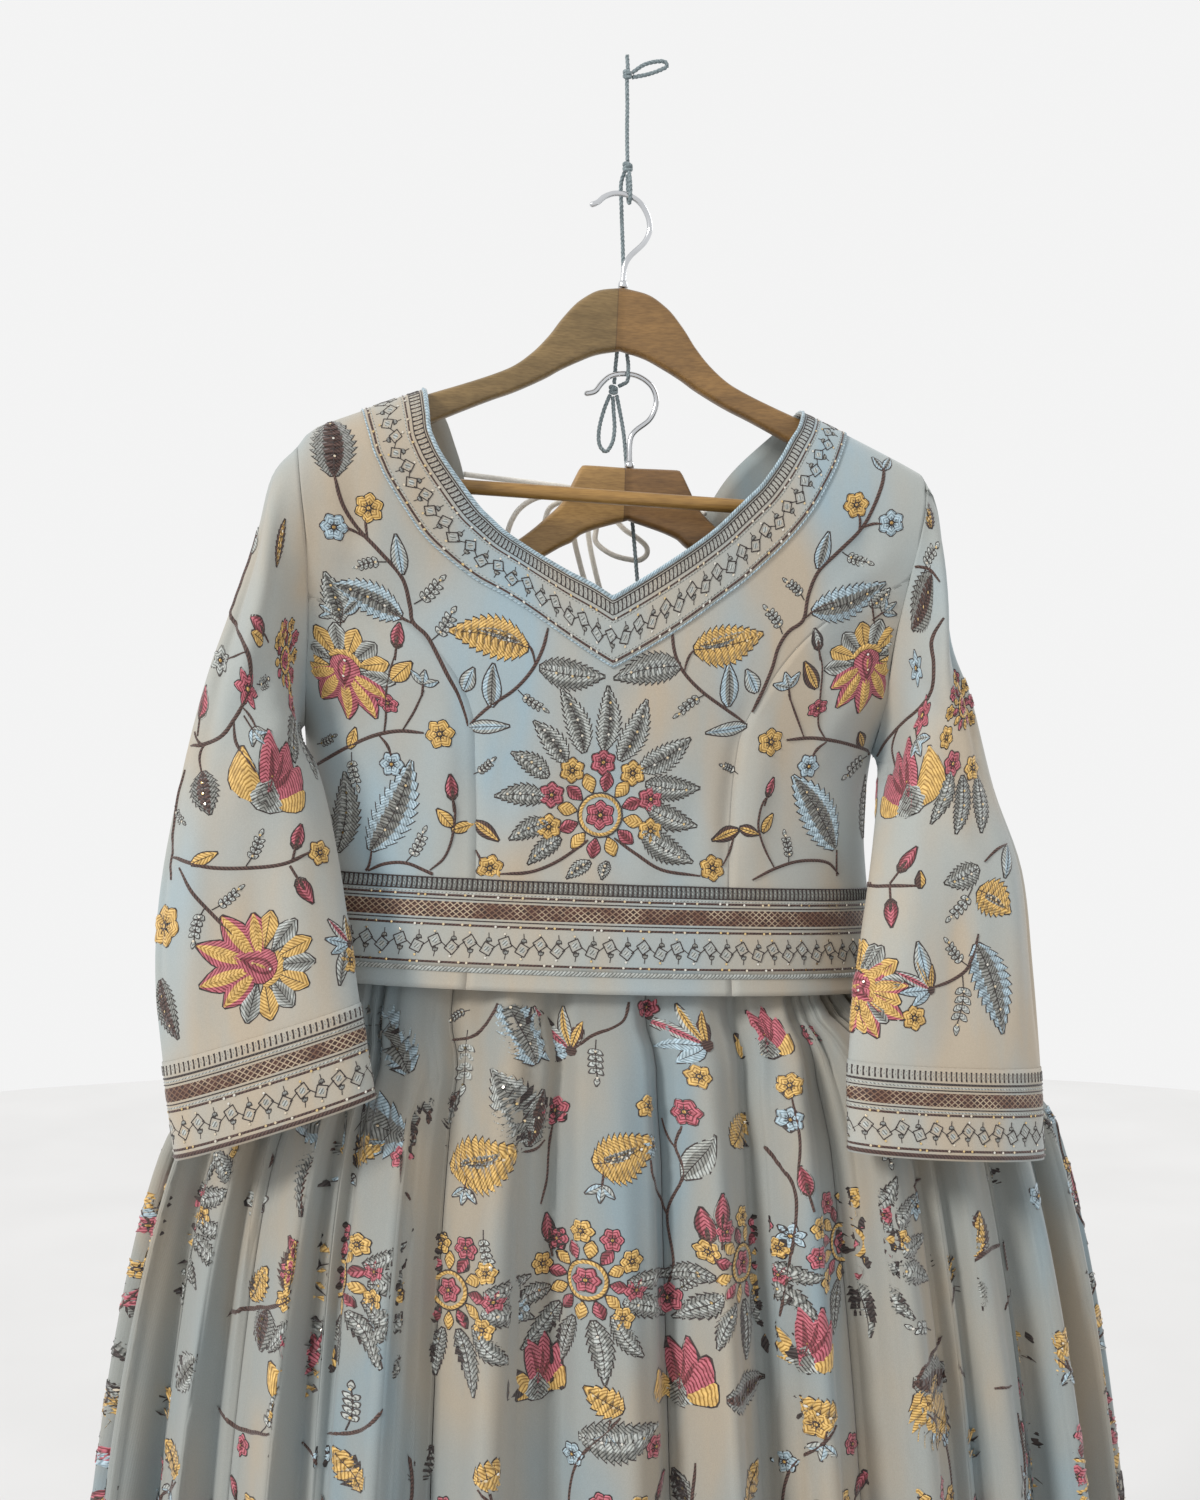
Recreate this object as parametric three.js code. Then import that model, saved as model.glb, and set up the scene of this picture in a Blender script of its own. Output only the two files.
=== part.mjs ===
// Lehenga set on two wooden hangers: a fitted blouse with long sleeves over a panelled skirt.
// Millimetres, +Z up, +X to the right of the front, which faces -Y.
// The origin is the knot at the top of the string that carries everything.
import * as THREE from "three";

// ---------- driving dimensions ----------
const CLOTH = 1.2;
const HALF = CLOTH / 2;
const SEAM = 0.16;
const SLEEVE_GAP = 0.5;
const UNDERARM_GAP = 1.2;
const TRIM_IN = HALF + 0.35;
const TRIM_OUT = TRIM_IN + 1.0;
const DEG = Math.PI / 180;
const ROLL_1 = 2.7 * DEG;
const ROLL_2 = 1.6 * DEG;
const HOOK_1_AT = [0, 0, -83];
const HOOK_2_AT = [5, 9, -203];
const SWEEP = 0.176;
const WOOD_HALF = 6;
const BAR_RADIUS = 4.8;
const BAR_END = 185.6;
const BAR_1_Z = -212;
const BAR_2_Z = -211;
const HOOK_RADIUS = 1.9;
const STRING_RADIUS = 1.5;
const DORI_RADIUS = 1.8;
const BODY_X = -5;
const ARM_TOP_Z = -196;
const ARM_MID_Z = -284;
const ARM_HALF = 88;
const BORDER_TOP_Z = -474;
const BORDER_LOW_Z = -523;
const HEM_Z = -537;
const SKIRT_TOP_Z = -432;
const BAND_LOW_Z = -462;
const FOLD_COLUMNS = 6;
const PANELS = 12;

// ---------- tables ----------
// wooden arm, from the middle outwards: x, top z, bottom z, both from the hook's contact
const ARM = {
  x: [0, 16, 30, 42, 50, 61, 74, 87, 106, 130, 160, 186, 186.4, 194, 199],
  top: [-63.4, -67, -76, -90, -102, -115, -126, -133, -141.5, -151.5, -165, -177.2, -177.4, -182, -188],
  low: [-106.5, -111, -118, -125, -130.5, -137, -144, -150, -159.5, -172, -187, -200, -219, -219, -213],
};
// second hanger: the same arm under a flatter crown
const ARM_2 = {
  x: [0, 33, 40, 46, 59, 75, 87, 106, 130, 160, 186, 186.4, 194, 199],
  top: [-65, -65.6, -77, -90, -104, -118, -126, -137, -148.5, -163, -176.2, -176.4, -181, -187],
  low: [-101, -113, -119, -122, -130, -139, -146, -158, -171, -186, -200, -218, -218, -212],
};
// shoulder line of the blouse: x from the middle, z
const SHOULDER = {
  x: [0, 106, 130, 160, 188, 200, 207, 212, 240],
  z: [-120, -139.4, -149.4, -162.9, -176, -182, -188, -196, -230],
};
// bodice section at each z: half width, depth forward, depth backward
const BODY = {
  z: [-140, -200, -250, -290, -330, -372, -420, -474, -523, -545],
  half: [252, 250, 244, 236, 220, 195, 192, 197, 204, 207],
  front: [50, 58, 65, 69, 71, 69, 65, 64, 68, 71],
  back: [40, 46, 50, 52, 52, 51, 51, 53, 59, 62],
};
// armhole half width at each z
const ARMHOLE = {
  z: [-196, -228, -257, -292, -330, -372],
  half: [207, 203, 199, 196, 195, 195],
};
// angle of each armhole point, from the shoulder tip down to the underarm
const ARM_ANGLES = [0, 13, 28, 50, 72, 95, 118, 145, 180];
// front neckline and the outer edge of its band, left shoulder to right shoulder
const NECK = {
  inX: [-132, -131.8, -131, -130, -129, -125.5, -121, -109.5, -96, -88, -79.5, -69, -59.5, -49, -36, -21,
    -8, 4, 20, 33, 43, 54, 62, 71, 79, 87, 95, 101, 107, 113.5, 119.3, 119.5],
  inZ: [0, 2.4, -162, -172, -181.5, -190, -198, -213, -229, -236, -243, -249.5, -255, -260.5, -267, -273.6,
    -281, -273, -262, -252.5, -245, -236, -228.5, -219, -210.5, -202, -190.5, -181, -170, -160, 2.4, 0],
  outX: [-173, -172.7, -171, -168, -165, -161, -157, -145, -131.5, -115.4, -96.6, -78, -62, -48, -34, -19,
    -6, 8, 22, 37, 50.7, 65, 79.7, 91, 102, 113, 124, 131.5, 138, 144, 149.7, 150],
  outZ: [0, 2.4, -179, -189, -199, -207, -215, -232.4, -249.5, -263, -276, -285, -294, -303, -312, -321,
    -328, -319.5, -310.5, -300, -289.5, -278, -266, -255, -243.7, -231, -215.5, -201.5, -188.5, -174, 2.4, 0],
};
// princess seams from the armhole down to the border: x, z, and the z of the side edge
const PRINCESS_L = {
  x: [-166, -140, -122, -104.5, -94.5, -91, -88, -86.5],
  z: [-295, -304, -317.6, -339, -360, -390, -430, -474],
  side: [0, 0, 0, -395, -415, -435, -455, -474],
};
const PRINCESS_R = {
  x: [150, 127, 110, 95.5, 85, 80.5, 79.5, 80],
  z: [-277, -298, -317, -339, -360, -390, -430, -474],
  side: [0, 0, 0, 0, -395, -420, -447, -474],
};
const FRONT_HEM_X = [-52, -24, -4, 20, 48];
// back neckline from the left shoulder to the middle, and its mirror's x on the right
const BACK_NECK = {
  left: [-132, -131.4, -118, -108, -101, -97, -99, -97, -88, -78, -67, -55, -44, -33, -22, -12, -5],
  right: [119.5, 119, 108, 91, 80, 72.5, 76, 84, 80, 70, 59, 46, 35, 24, 14, 4, -5],
  z: [0, 2.4, -158, -176, -193, -213, -236, -258, -280, -292, -302, -309, -314, -317, -319, -320, -320.4],
  side: [0, 0, 0, 0, 0, 0, 0, 0, 0, -405, -440, -474, -474, -474, -474, -474, -474],
  u: [0, 0, 0, 0, 0, 0, 0, 0, 0, 1, 1, 1, 0.82, 0.62, 0.42, 0.21, 0],
};
// sleeves: outer edge, inner edge and half depth of each ring, from the armhole to the wrist
const SLEEVE_L = {
  ox: [-221, -237, -247, -263, -278, -292, -304, -307, -302, -294],
  oy: [-37, -39, -41, -44, -47, -51, -56, -61, -65, -69],
  oz: [-269, -288, -328, -375, -420, -478, -545, -600, -655, -715],
  ix: [-217.3, -220, -220, -216, -208.5, -201.5, -195, -189, -183, -174],
  iy: [0, -4, -13, -27, -42, -56, -69, -80, -88, -95],
  iz: [-445.4, -449, -455, -463, -476, -502, -536, -576, -618, -676],
  depth: [40, 38, 35, 31, 28, 26, 24, 22.5, 21, 20],
};
const SLEEVE_TURN = [0, 0, 1, 2, 3, 5, 8, 10, 11, 12];
const SLEEVE_R = {
  ox: [192.5, 203, 209, 213, 226, 240, 257, 261, 263, 262],
  oy: [-34, -37, -40, -44, -48, -54, -62, -70, -78, -85],
  oz: [-288, -301, -335, -388, -427, -488, -543, -605, -672, -731],
  ix: [172.3, 175, 175, 172, 166, 159, 149, 137, 127, 124],
  iy: [0, -4, -13, -27, -42, -56, -72, -87, -99, -110],
  iz: [-463.5, -467, -472, -480, -492, -516, -552, -600, -660, -716],
  depth: [40, 38, 35, 31, 28, 26, 24, 22.5, 21, 20],
};
// skirt section at each z: middle x and y, half width, depths, fold depth
const SKIRT = {
  z: [-432, -462, -560, -634, -662, -692, -730, -850, -1050, -1407],
  cx: [-14, -16, -25, -29, -14, -4, 0, 0, 0, 0],
  cy: [-29, -27, -9, -3, -1, 0, 0, 0, 0, 0],
  half: [148, 148, 172, 187, 226, 278, 302, 326, 349, 402],
  front: [22, 24, 46, 56, 68, 80, 90, 116, 140, 172],
  back: [22, 24, 40, 48, 60, 76, 88, 108, 132, 165],
  fold: [0, 1.2, 2.5, 3.5, 6, 8, 9, 12, 15, 20],
};
// crest of each fold, in degrees round the skirt from the front middle: at the waist and at full width
const WAIST_CRESTS = [
  -97, -83, -70, -57, -45, -19, 2.3, 21.5, 45.7, 57, 69, 82,
  96, 110, 124, 138, 152, 166, 180, 194, 208, 222, 236, 250,
];
const CRESTS = [
  -88, -74, -59.5, -44.5, -31.5, -19, -4, 7, 18, 30, 44, 57,
  71, 85, 101, 118, 136, 154, 172, 190, 208, 226, 244, 259,
];
const WAIST_HALF = 172;
const FULL_HALF = 331;

// ---------- cords: the points that each one follows ----------
const HOOK_1_PATH = [
  [-2.9, 0, -146.0], [-1.6, 0, -131], [1.8, 0, -124.6], [12.3, 0, -113.8], [15.7, 0, -105.9],
  [15.1, 0, -98], [12.2, 0, -91.4], [8.4, 0, -86.6], [3, 0, -83.2], [-2.8, 0, -81.6],
  [-8.5, 0, -81.6], [-13.2, 0, -83], [-16.7, 0, -85], [-20.2, 0, -88.2], [-25.8, 0, -90.7],
];
const HOOK_2_PATH = [
  [3.1, 9, -267.6], [4.2, 9, -247], [7, 9, -242.4], [17.2, 9, -234], [21, 9, -227],
  [22.1, 9, -219.6], [19.6, 9, -212], [15, 9, -207.2], [9, 9, -204], [3, 9, -202.8],
  [-4.3, 9, -203], [-11, 9, -205.2], [-16.4, 9, -210], [-21, 9, -215.6], [-28.4, 9, -217.6],
];
const STRING_UPPER = [[0, 0, -3.6], [0.2, 0, -20], [0, 0, -40], [0.3, 0, -59.2]];
const STRING_TIP = [[0.6, 0, 3.7], [0.4, 0, 8], [0, 0, 14]];
const TOP_LOOP = [
  [3.6, -0.6, 1.6], [12, -0.6, 7.6], [21, -0.4, 10.4], [26.6, 0, 10.6], [28.2, 0.4, 8.2],
  [24, 0.6, 5.4], [14, 0.6, 1.4], [3.8, 0.6, -1.2],
];
const HOOK_LOOP = [
  [0.8, -3.3, -67.2], [1.3, -4.3, -73], [1.6, -4.2, -80.5], [1.6, -3.2, -85.4], [1.6, 0, -87.6],
  [1.6, 3.2, -85.4], [1.5, 4.2, -80.5], [1.2, 4.3, -73], [0.8, 3.3, -67.2],
];
const STRING_MIDDLE = [
  [-1, 3.6, -65], [-2.6, 8.2, -71], [-2.2, 9.4, -90], [-1.2, 9.4, -120], [-0.6, 9.4, -148],
  [0.6, 9.4, -172], [1.4, 8.8, -188], [1.8, 5.6, -196.4], [1.6, 4.3, -203], [1.6, 6.2, -207.4],
  [0.9, 9.6, -208.7], [-0.6, 13, -209], [-3.4, 14.6, -210.4],
];
const STRING_BACK = [
  [-6.6, 14.4, -208.6], [-6.2, 13.6, -203], [-5.8, 12.6, -196], [-5.2, 10, -186], [-4.4, 9.6, -170], [-4, 9.4, -156],
];
const STRING_BOW = [
  [-9.4, 14.9, -216.2], [-13.6, 15, -227], [-17.2, 15, -242], [-16.4, 15, -252], [-12.4, 15, -255.8],
  [-8, 15, -250], [-6.2, 15, -240], [-6.8, 15, -228], [-7.4, 15, -217.6],
];
const STRING_TAIL = [
  [-4.6, 15.4, -216.4], [-2.6, 15.8, -226], [0.4, 16.6, -242], [2.4, 17.2, -262], [4.4, 17.3, -282],
  [7, 17.3, -306], [9, 16.8, -330], [10.7, 16, -352],
];
// back-neck ties, from the bow at the middle
const TIE_KNOT = [-18, 42, -285.4];
const TIE_LEFT = [
  [-109.4, 31.2, -271.2], [-96, 36, -271.8], [-76, 40, -273], [-52, 41.6, -275], [-32, 42, -277.6], [-21.7, 42, -282.2],
];
const TIE_RIGHT = [[-13, 42, -285.6], [6, 42.8, -287], [28, 42.6, -289.6], [46, 42, -291.6], [63.9, 40.6, -293.4]];
const TIE_TAIL_A = [
  [-22, 38.4, -286], [-41, 37.4, -284.2], [-57.5, 37.4, -285.4], [-69.5, 37.6, -293], [-75.5, 37.8, -302],
  [-78.6, 38, -311],
];
const TIE_TAIL_B = [
  [-21.6, 44.6, -287.7], [-38.3, 45.6, -286.4], [-47.6, 45.6, -291.5], [-51, 45.6, -301], [-52.6, 45.6, -312],
  [-53.2, 45.4, -324.5],
];
const TIE_TAIL_C = [
  [-20.4, 39.6, -289.3], [-28.6, 40.8, -293.4], [-31.8, 40.8, -302], [-30.6, 40.8, -314.3], [-27.4, 40.8, -328],
  [-23.3, 40.8, -343],
];
const TIE_TAIL_D = [
  [-17.9, 44.4, -289.3], [-19.8, 45.4, -297], [-20.2, 45.4, -306], [-18.9, 45.2, -317], [-15.8, 45, -332],
  [-11.8, 45, -348],
];
const TIE_LOOP = [
  [-16.6, 38.8, -288.6], [-14.9, 37.6, -296.5], [-15.6, 37.4, -307], [-16, 37.4, -315], [-5.6, 37.4, -323.6],
  [7.4, 37.6, -327.4], [16, 37.6, -327.7], [20.8, 37.6, -323.6], [20.6, 37.6, -318.6], [13.8, 37.6, -312.2],
  [5.2, 37.8, -306.7], [-4.1, 38.4, -297], [-12.8, 39.6, -288.4],
];

// ---------- materials ----------
function material(color, roughness, metalness) {
  return new THREE.MeshStandardMaterial({ color, roughness, metalness });
}
const cloth = () => material(0xa9bcc4, 0.85, 0);
const trim = () => material(0x6f5a48, 0.8, 0);
const wood = () => material(0x94704a, 0.5, 0);
const chrome = () => material(0xd4d6d8, 0.15, 1);
const twine = () => material(0x727d82, 0.9, 0);
const tie = () => material(0xe9e4d8, 0.9, 0);

// ---------- small functions ----------
const clamp = (v, a, b) => Math.min(b, Math.max(a, v));
const smooth = (t) => {
  const c = clamp(t, 0, 1);
  return c * c * (3 - 2 * c);
};
const rise = (t) => Math.sqrt(1 - (1 - clamp(t, 0, 1)) ** 2);

// straight-line reading of one table column against another
function read(keys, values, at) {
  const down = keys[keys.length - 1] < keys[0];
  const reach = (i) => (down ? at >= keys[i] : at <= keys[i]);
  let i = 1;
  while (i < keys.length - 1 && !reach(i)) i += 1;
  const t = clamp((at - keys[i - 1]) / (keys[i] - keys[i - 1]), 0, 1);
  return values[i - 1] + (values[i] - values[i - 1]) * t;
}

function rolled([x, y, z], roll, at) {
  const c = Math.cos(roll);
  const s = Math.sin(roll);
  return new THREE.Vector3(at[0] + x * c + z * s, at[1] + y, at[2] - x * s + z * c);
}
const onHanger1 = (p) => rolled(p, ROLL_1, HOOK_1_AT);
const onHanger2 = (p) => rolled(p, ROLL_2, HOOK_2_AT);

// ---------- solids from meshes of surface points ----------
// A surface is a list of points with normals and a list of triangles that name them.
class Surface {
  constructor(pointOf) {
    this.pointOf = pointOf;
    this.keys = new Map();
    this.points = [];
    this.normals = [];
    this.triangles = [];
  }
  vertex(q) {
    const key = q.map((v) => Math.round(v * 1e5)).join(",");
    if (!this.keys.has(key)) {
      const { point, normal } = this.pointOf(q);
      this.keys.set(key, this.points.length);
      this.points.push(point);
      this.normals.push(normal);
    }
    return this.keys.get(key);
  }
  triangle(a, b, c) {
    const [i, j, k] = [this.vertex(a), this.vertex(b), this.vertex(c)];
    if (i !== j && j !== k && k !== i) this.triangles.push([i, j, k]);
  }
  quad(a, b, c, d) {
    this.triangle(a, b, c);
    this.triangle(a, c, d);
  }
  // rows of equally many points
  grid(rows, turned = false) {
    for (let r = 0; r + 1 < rows.length; r += 1) {
      for (let c = 0; c + 1 < rows[r].length; c += 1) {
        const corners = [rows[r + 1][c], rows[r + 1][c + 1], rows[r][c + 1]];
        if (turned) corners.reverse();
        this.quad(rows[r][c], ...corners);
      }
    }
  }
}

// edges that belong to one triangle only
function rim(surface) {
  const seen = new Map();
  for (const t of surface.triangles) {
    for (let e = 0; e < 3; e += 1) {
      const [a, b] = [t[e], t[(e + 1) % 3]];
      const key = Math.min(a, b) + "," + Math.max(a, b);
      if (seen.has(key)) seen.set(key, null);
      else seen.set(key, [a, b, t[(e + 2) % 3]]);
    }
  }
  return [...seen.values()].filter((v) => v);
}

// moves the rim of a surface inwards, which leaves the gap at a seam
function inset(surface, by) {
  const shift = surface.points.map(() => new THREE.Vector3());
  for (const [a, b, c] of rim(surface)) {
    const along = surface.points[b].clone().sub(surface.points[a]).normalize();
    const inward = surface.points[c].clone().sub(surface.points[a]);
    inward.addScaledVector(along, -inward.dot(along)).normalize();
    shift[a].addScaledVector(inward, by);
    shift[b].addScaledVector(inward, by);
  }
  surface.points = surface.points.map((p, i) => p.clone().add(shift[i]));
}

// a wall between two offsets from the surface
function wall(surface, low, high) {
  const n = surface.points.length;
  const side = (by) => surface.points.map((p, i) => p.clone().addScaledVector(surface.normals[i], by));
  const points = [...side(low), ...side(high)];
  const faces = [];
  for (const [a, b, c] of surface.triangles) {
    faces.push([a + n, b + n, c + n]);
    faces.push([a, c, b]);
  }
  for (const [a, b] of rim(surface)) {
    faces.push([a, b, b + n]);
    faces.push([a, b + n, a + n]);
  }
  return solid(points, faces);
}

function solid(points, faces) {
  const position = new Float32Array(points.flatMap((p) => [p.x, p.y, p.z]));
  let index = faces.flat();
  if (volume(points, faces) < 0) index = faces.flatMap(([a, b, c]) => [a, c, b]);
  const geometry = new THREE.BufferGeometry();
  geometry.setAttribute("position", new THREE.BufferAttribute(position, 3));
  geometry.setIndex(index);
  geometry.computeVertexNormals();
  return geometry;
}

function volume(points, faces) {
  const cross = new THREE.Vector3();
  return faces.reduce((sum, [a, b, c]) => sum + points[a].dot(cross.crossVectors(points[b], points[c])), 0);
}

// a closed skin over rings of equally many points, with a flat cap at each end
function skin(rings) {
  const n = rings[0].length;
  const faces = [];
  for (let r = 0; r + 1 < rings.length; r += 1) {
    for (let c = 0; c < n; c += 1) {
      const [a, b] = [r * n + c, r * n + ((c + 1) % n)];
      faces.push([a, b, b + n], [a, b + n, a + n]);
    }
  }
  const last = (rings.length - 1) * n;
  for (let c = 1; c + 1 < n; c += 1) {
    faces.push([0, c + 1, c], [last, last + c, last + c + 1]);
  }
  return solid(rings.flat(), faces);
}

// ---------- cords, hooks and bars ----------
function tube(path, radius, sides, step) {
  const curve = new THREE.CatmullRomCurve3(path.map((p) => new THREE.Vector3(...p)), false, "centripetal");
  const circle = new THREE.Shape();
  for (let i = 0; i < sides; i += 1) {
    const a = (i / sides) * 2 * Math.PI;
    const [x, y] = [radius * Math.cos(a), radius * Math.sin(a)];
    if (i) circle.lineTo(x, y);
    else circle.moveTo(x, y);
  }
  const steps = Math.max(2, Math.round(curve.getLength() / step));
  return new THREE.ExtrudeGeometry(circle, { steps, bevelEnabled: false, extrudePath: curve });
}

function mesh(name, geometry, looks) {
  const made = new THREE.Mesh(geometry, looks);
  made.name = name;
  return made;
}

function knot(name, at, radius, stretch, looks) {
  const made = mesh(name, new THREE.SphereGeometry(radius, 10, 7), looks);
  made.scale.set(1, 0.9, stretch);
  made.position.set(...at);
  return made;
}

// ---------- hangers ----------
const WOOD_SECTION = [
  [-1, 0.16], [-0.55, 0], [0.55, 0], [1, 0.16], [1, 0.84], [0.55, 1], [-0.55, 1], [-1, 0.84],
];

function woodRing(table, i, side, place) {
  const x = side * table.x[i];
  const [top, low] = [table.top[i], table.low[i]];
  const chamfer = 3.2 / (top - low);
  return WOOD_SECTION.map(([w, f]) => {
    const level = f < 0.5 ? f * (chamfer / 0.16) : 1 - (1 - f) * (chamfer / 0.16);
    return place([x, w * WOOD_HALF - Math.abs(x) * SWEEP, top + (low - top) * level]);
  });
}

function hangerWood(table, place) {
  const rings = [];
  for (let i = table.x.length - 1; i > 0; i -= 1) rings.push(woodRing(table, i, -1, place));
  for (let i = 0; i < table.x.length; i += 1) rings.push(woodRing(table, i, 1, place));
  return skin(rings);
}

function hangerBar(z, place) {
  const y = -BAR_END * SWEEP;
  const ring = (x) => {
    const points = [];
    for (let i = 0; i < 12; i += 1) {
      const a = (i / 12) * 2 * Math.PI;
      points.push(place([x, y + BAR_RADIUS * Math.cos(a), z + BAR_RADIUS * Math.sin(a)]));
    }
    return points;
  };
  return skin([-BAR_END, -60, 60, BAR_END].map(ring));
}

// ---------- blouse ----------
const half = (z) => read(BODY.z, BODY.half, z);
const shoulderZ = (x) => read(SHOULDER.x, SHOULDER.z, Math.abs(x));
const toU = (x, z) => Math.asin(clamp((x - BODY_X) / half(z), -1, 1)) / (Math.PI / 2);

// a place on the bodice: side -1 is the front and 1 the back, u runs from -1 to 1 across it
function bodyPoint(side, u, z) {
  const a = (u * Math.PI) / 2;
  const x = BODY_X + half(z) * Math.sin(a);
  const drop = Math.max(0, shoulderZ(x) - z);
  const fade = 1 - smooth(drop / 150);
  const depth = read(BODY.z, side < 0 ? BODY.front : BODY.back, z);
  const d = 9 * rise(drop / 6) * fade + depth * Math.cos(a) * rise(drop / 110);
  return onHanger1([x, side * d - Math.abs(x) * SWEEP * fade, z]);
}

function bodyVertex([side, u, z]) {
  const e = 0.004;
  const point = bodyPoint(side, u, z);
  const across = bodyPoint(side, u + e, z).sub(bodyPoint(side, u - e, z));
  const down = bodyPoint(side, u, z - 1.5).sub(bodyPoint(side, u, z - 0.01));
  const normal = across.cross(down).normalize();
  if (normal.y * side < 0 && Math.abs(u) < 0.97) normal.negate();
  if (Math.abs(u) >= 0.97 && normal.x * u < 0) normal.negate();
  return { point, normal };
}

// a z of 0 or more in a table is a drop below the shoulder line
const levelAt = (x, z) => (z < 0 ? z : shoulderZ(x) - Math.max(z, 0.001));
const followShoulder = (points, drop) => points.map(([side, u, z]) => {
  const x = BODY_X + half(z) * Math.sin((u * Math.PI) / 2);
  const level = levelAt(x, drop);
  return [side, toU(x, level), level];
});
const armZ = (i) => ARM_MID_Z + ARM_HALF * Math.cos(ARM_ANGLES[i] * DEG);
const armX = (i, hand) => BODY_X + hand * read(ARMHOLE.z, ARMHOLE.half, armZ(i));

function armholePoint(side, i, hand) {
  if (i === 0) return [side, toU(armX(0, hand), ARM_TOP_Z), ARM_TOP_Z];
  if (i === ARM_ANGLES.length - 1) return [side, hand, armZ(i)];
  return [side, toU(armX(i, hand), armZ(i)), armZ(i)];
}

// points from one place to the next; a dip below 1 lets them fall before they spread
function between(a, b, t, dip) {
  if (t === 1) return b;
  return [a[0], a[1] + (b[1] - a[1]) * t, a[2] + (b[2] - a[2]) * t ** dip];
}
function column(points, counts, dip = 1) {
  const rows = [points[0]];
  points.slice(1).forEach((p, i) => {
    for (let r = 1; r <= counts[i]; r += 1) rows.push(between(points[i], p, r / counts[i], dip));
  });
  return rows;
}

// lower end of each column of the front: armhole, princess seam, border, seam, armhole
function frontLowEnds() {
  const seam = (t, i) => [-1, toU(t.x[i], t.z[i]), t.z[i]];
  const left = [0, 1, 2, 3, 4, 5].map((i) => armholePoint(-1, i, -1));
  const right = [4, 3, 2, 1, 0].map((i) => armholePoint(-1, i, 1));
  const downLeft = PRINCESS_L.x.map((_, i) => seam(PRINCESS_L, i));
  const upRight = PRINCESS_R.x.map((_, i) => seam(PRINCESS_R, i)).reverse();
  const hem = FRONT_HEM_X.map((x) => [-1, toU(x, BORDER_TOP_Z), BORDER_TOP_Z]);
  return [...left, ...downLeft, ...hem, ...upRight, ...right];
}

// the first and last columns keep to the shoulder line
const alongShoulders = (columns, drops) => columns.map((c, i) => (drops[i] < 0 ? c : followShoulder(c, drops[i])));

function neckColumns() {
  return NECK.inX.map((x, i) => {
    const ends = [[x, NECK.inZ[i]], [NECK.outX[i], NECK.outZ[i]]];
    return ends.map(([ex, ez]) => {
      const z = levelAt(ex, ez);
      return [-1, toU(ex, z), z];
    });
  });
}

const BORDER_ZS = [BORDER_TOP_Z, BORDER_LOW_Z, HEM_Z];
const borderRows = (ends) => BORDER_ZS.map((z) => ends.map(([s, u]) => [s, u, z]));
const borderColumns = (ends) => ends.map(([s, u]) => BORDER_ZS.map((z) => [s, u, z]));

function frontCentre() {
  const low = frontLowEnds();
  const columns = neckColumns().map(([a, b], i) => column([a, b, low[i]], [2, 4]));
  const surface = new Surface(bodyVertex);
  surface.grid(alongShoulders(columns, NECK.inZ));
  surface.grid(borderColumns(low.slice(13, 20)));
  return surface;
}

function neckBand() {
  const surface = new Surface(bodyVertex);
  surface.grid(alongShoulders(neckColumns().map((ends) => column(ends, [2])), NECK.inZ));
  return surface;
}

function sideFront(table, hand, firstArm) {
  const seam = table.x.map((x, i) => [-1, toU(x, table.z[i]), table.z[i]]);
  const edge = table.side.map((z, i) => (z ? [-1, hand, z] : armholePoint(-1, firstArm + 1 + i, hand)));
  const tip = armholePoint(-1, firstArm, hand);
  const rows = seam.map((p, i) => column([p, edge[i]], [3], 0.7));
  const surface = new Surface(bodyVertex);
  for (let c = 0; c < 3; c += 1) surface.triangle(tip, rows[0][c], rows[0][c + 1]);
  surface.grid(rows);
  surface.grid(borderRows(rows[rows.length - 1]));
  return surface;
}

function backColumns() {
  const end = (i, hand) => {
    if (i < ARM_ANGLES.length) return armholePoint(1, i, hand);
    return [1, hand * BACK_NECK.u[i], BACK_NECK.side[i]];
  };
  const make = (i, x, hand) => {
    const z = levelAt(x, BACK_NECK.z[i]);
    const points = column([[1, toU(x, z), z], end(i, hand)], [5], 0.5);
    return BACK_NECK.z[i] < 0 ? points : followShoulder(points, BACK_NECK.z[i]);
  };
  const left = BACK_NECK.left.map((x, i) => make(i, x, -1));
  const right = BACK_NECK.right.map((x, i) => make(i, x, 1)).reverse();
  return [...left, ...right.slice(1)];
}

function back() {
  const columns = backColumns();
  const surface = new Surface(bodyVertex);
  surface.grid(columns);
  surface.grid(borderColumns(columns.slice(11, 22).map((c) => c[c.length - 1])));
  return surface;
}

// the border's columns are those of the panels it lies on
function waistBorder() {
  const low = frontLowEnds().slice(13, 20);
  const left = column([[-1, -1, BORDER_TOP_Z], low[0]], [3]).slice(0, 3);
  const right = column([low[6], [-1, 1, BORDER_TOP_Z]], [3]).slice(1);
  const front = [...left, ...low, ...right];
  const rear = backColumns().slice(11, 22).map((c) => c[c.length - 1]);
  const surface = new Surface(([side, u, z]) => bodyVertex([Math.abs(u) > 0.9999 ? -1 : side, u, z]));
  const share = (p) => (Math.abs(p[1]) > 0.9999 ? [-1, Math.sign(p[1]), p[2]] : p);
  surface.grid(borderRows(front).slice(0, 2).map((r) => r.map(share)));
  surface.grid(borderRows(rear).slice(0, 2).map((r) => r.map(share)), true);
  return surface;
}

// ---------- sleeves ----------
function sleeveRing(table, row, hand) {
  const outer = new THREE.Vector3(table.ox[row], table.oy[row], table.oz[row]);
  const inner = new THREE.Vector3(table.ix[row], table.iy[row], table.iz[row]);
  const middle = outer.clone().add(inner).multiplyScalar(0.5);
  const reach = outer.clone().sub(inner).multiplyScalar(0.5);
  const turn = SLEEVE_TURN[row] * DEG;
  const forward = new THREE.Vector3(hand * Math.sin(turn), -Math.cos(turn), 0);
  return ringAngles().map(([angle, side]) => {
    const a = angle * DEG;
    const point = middle.clone().addScaledVector(reach, Math.cos(a));
    return point.addScaledVector(forward, -side * table.depth[row] * Math.sin(a));
  });
}

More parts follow.
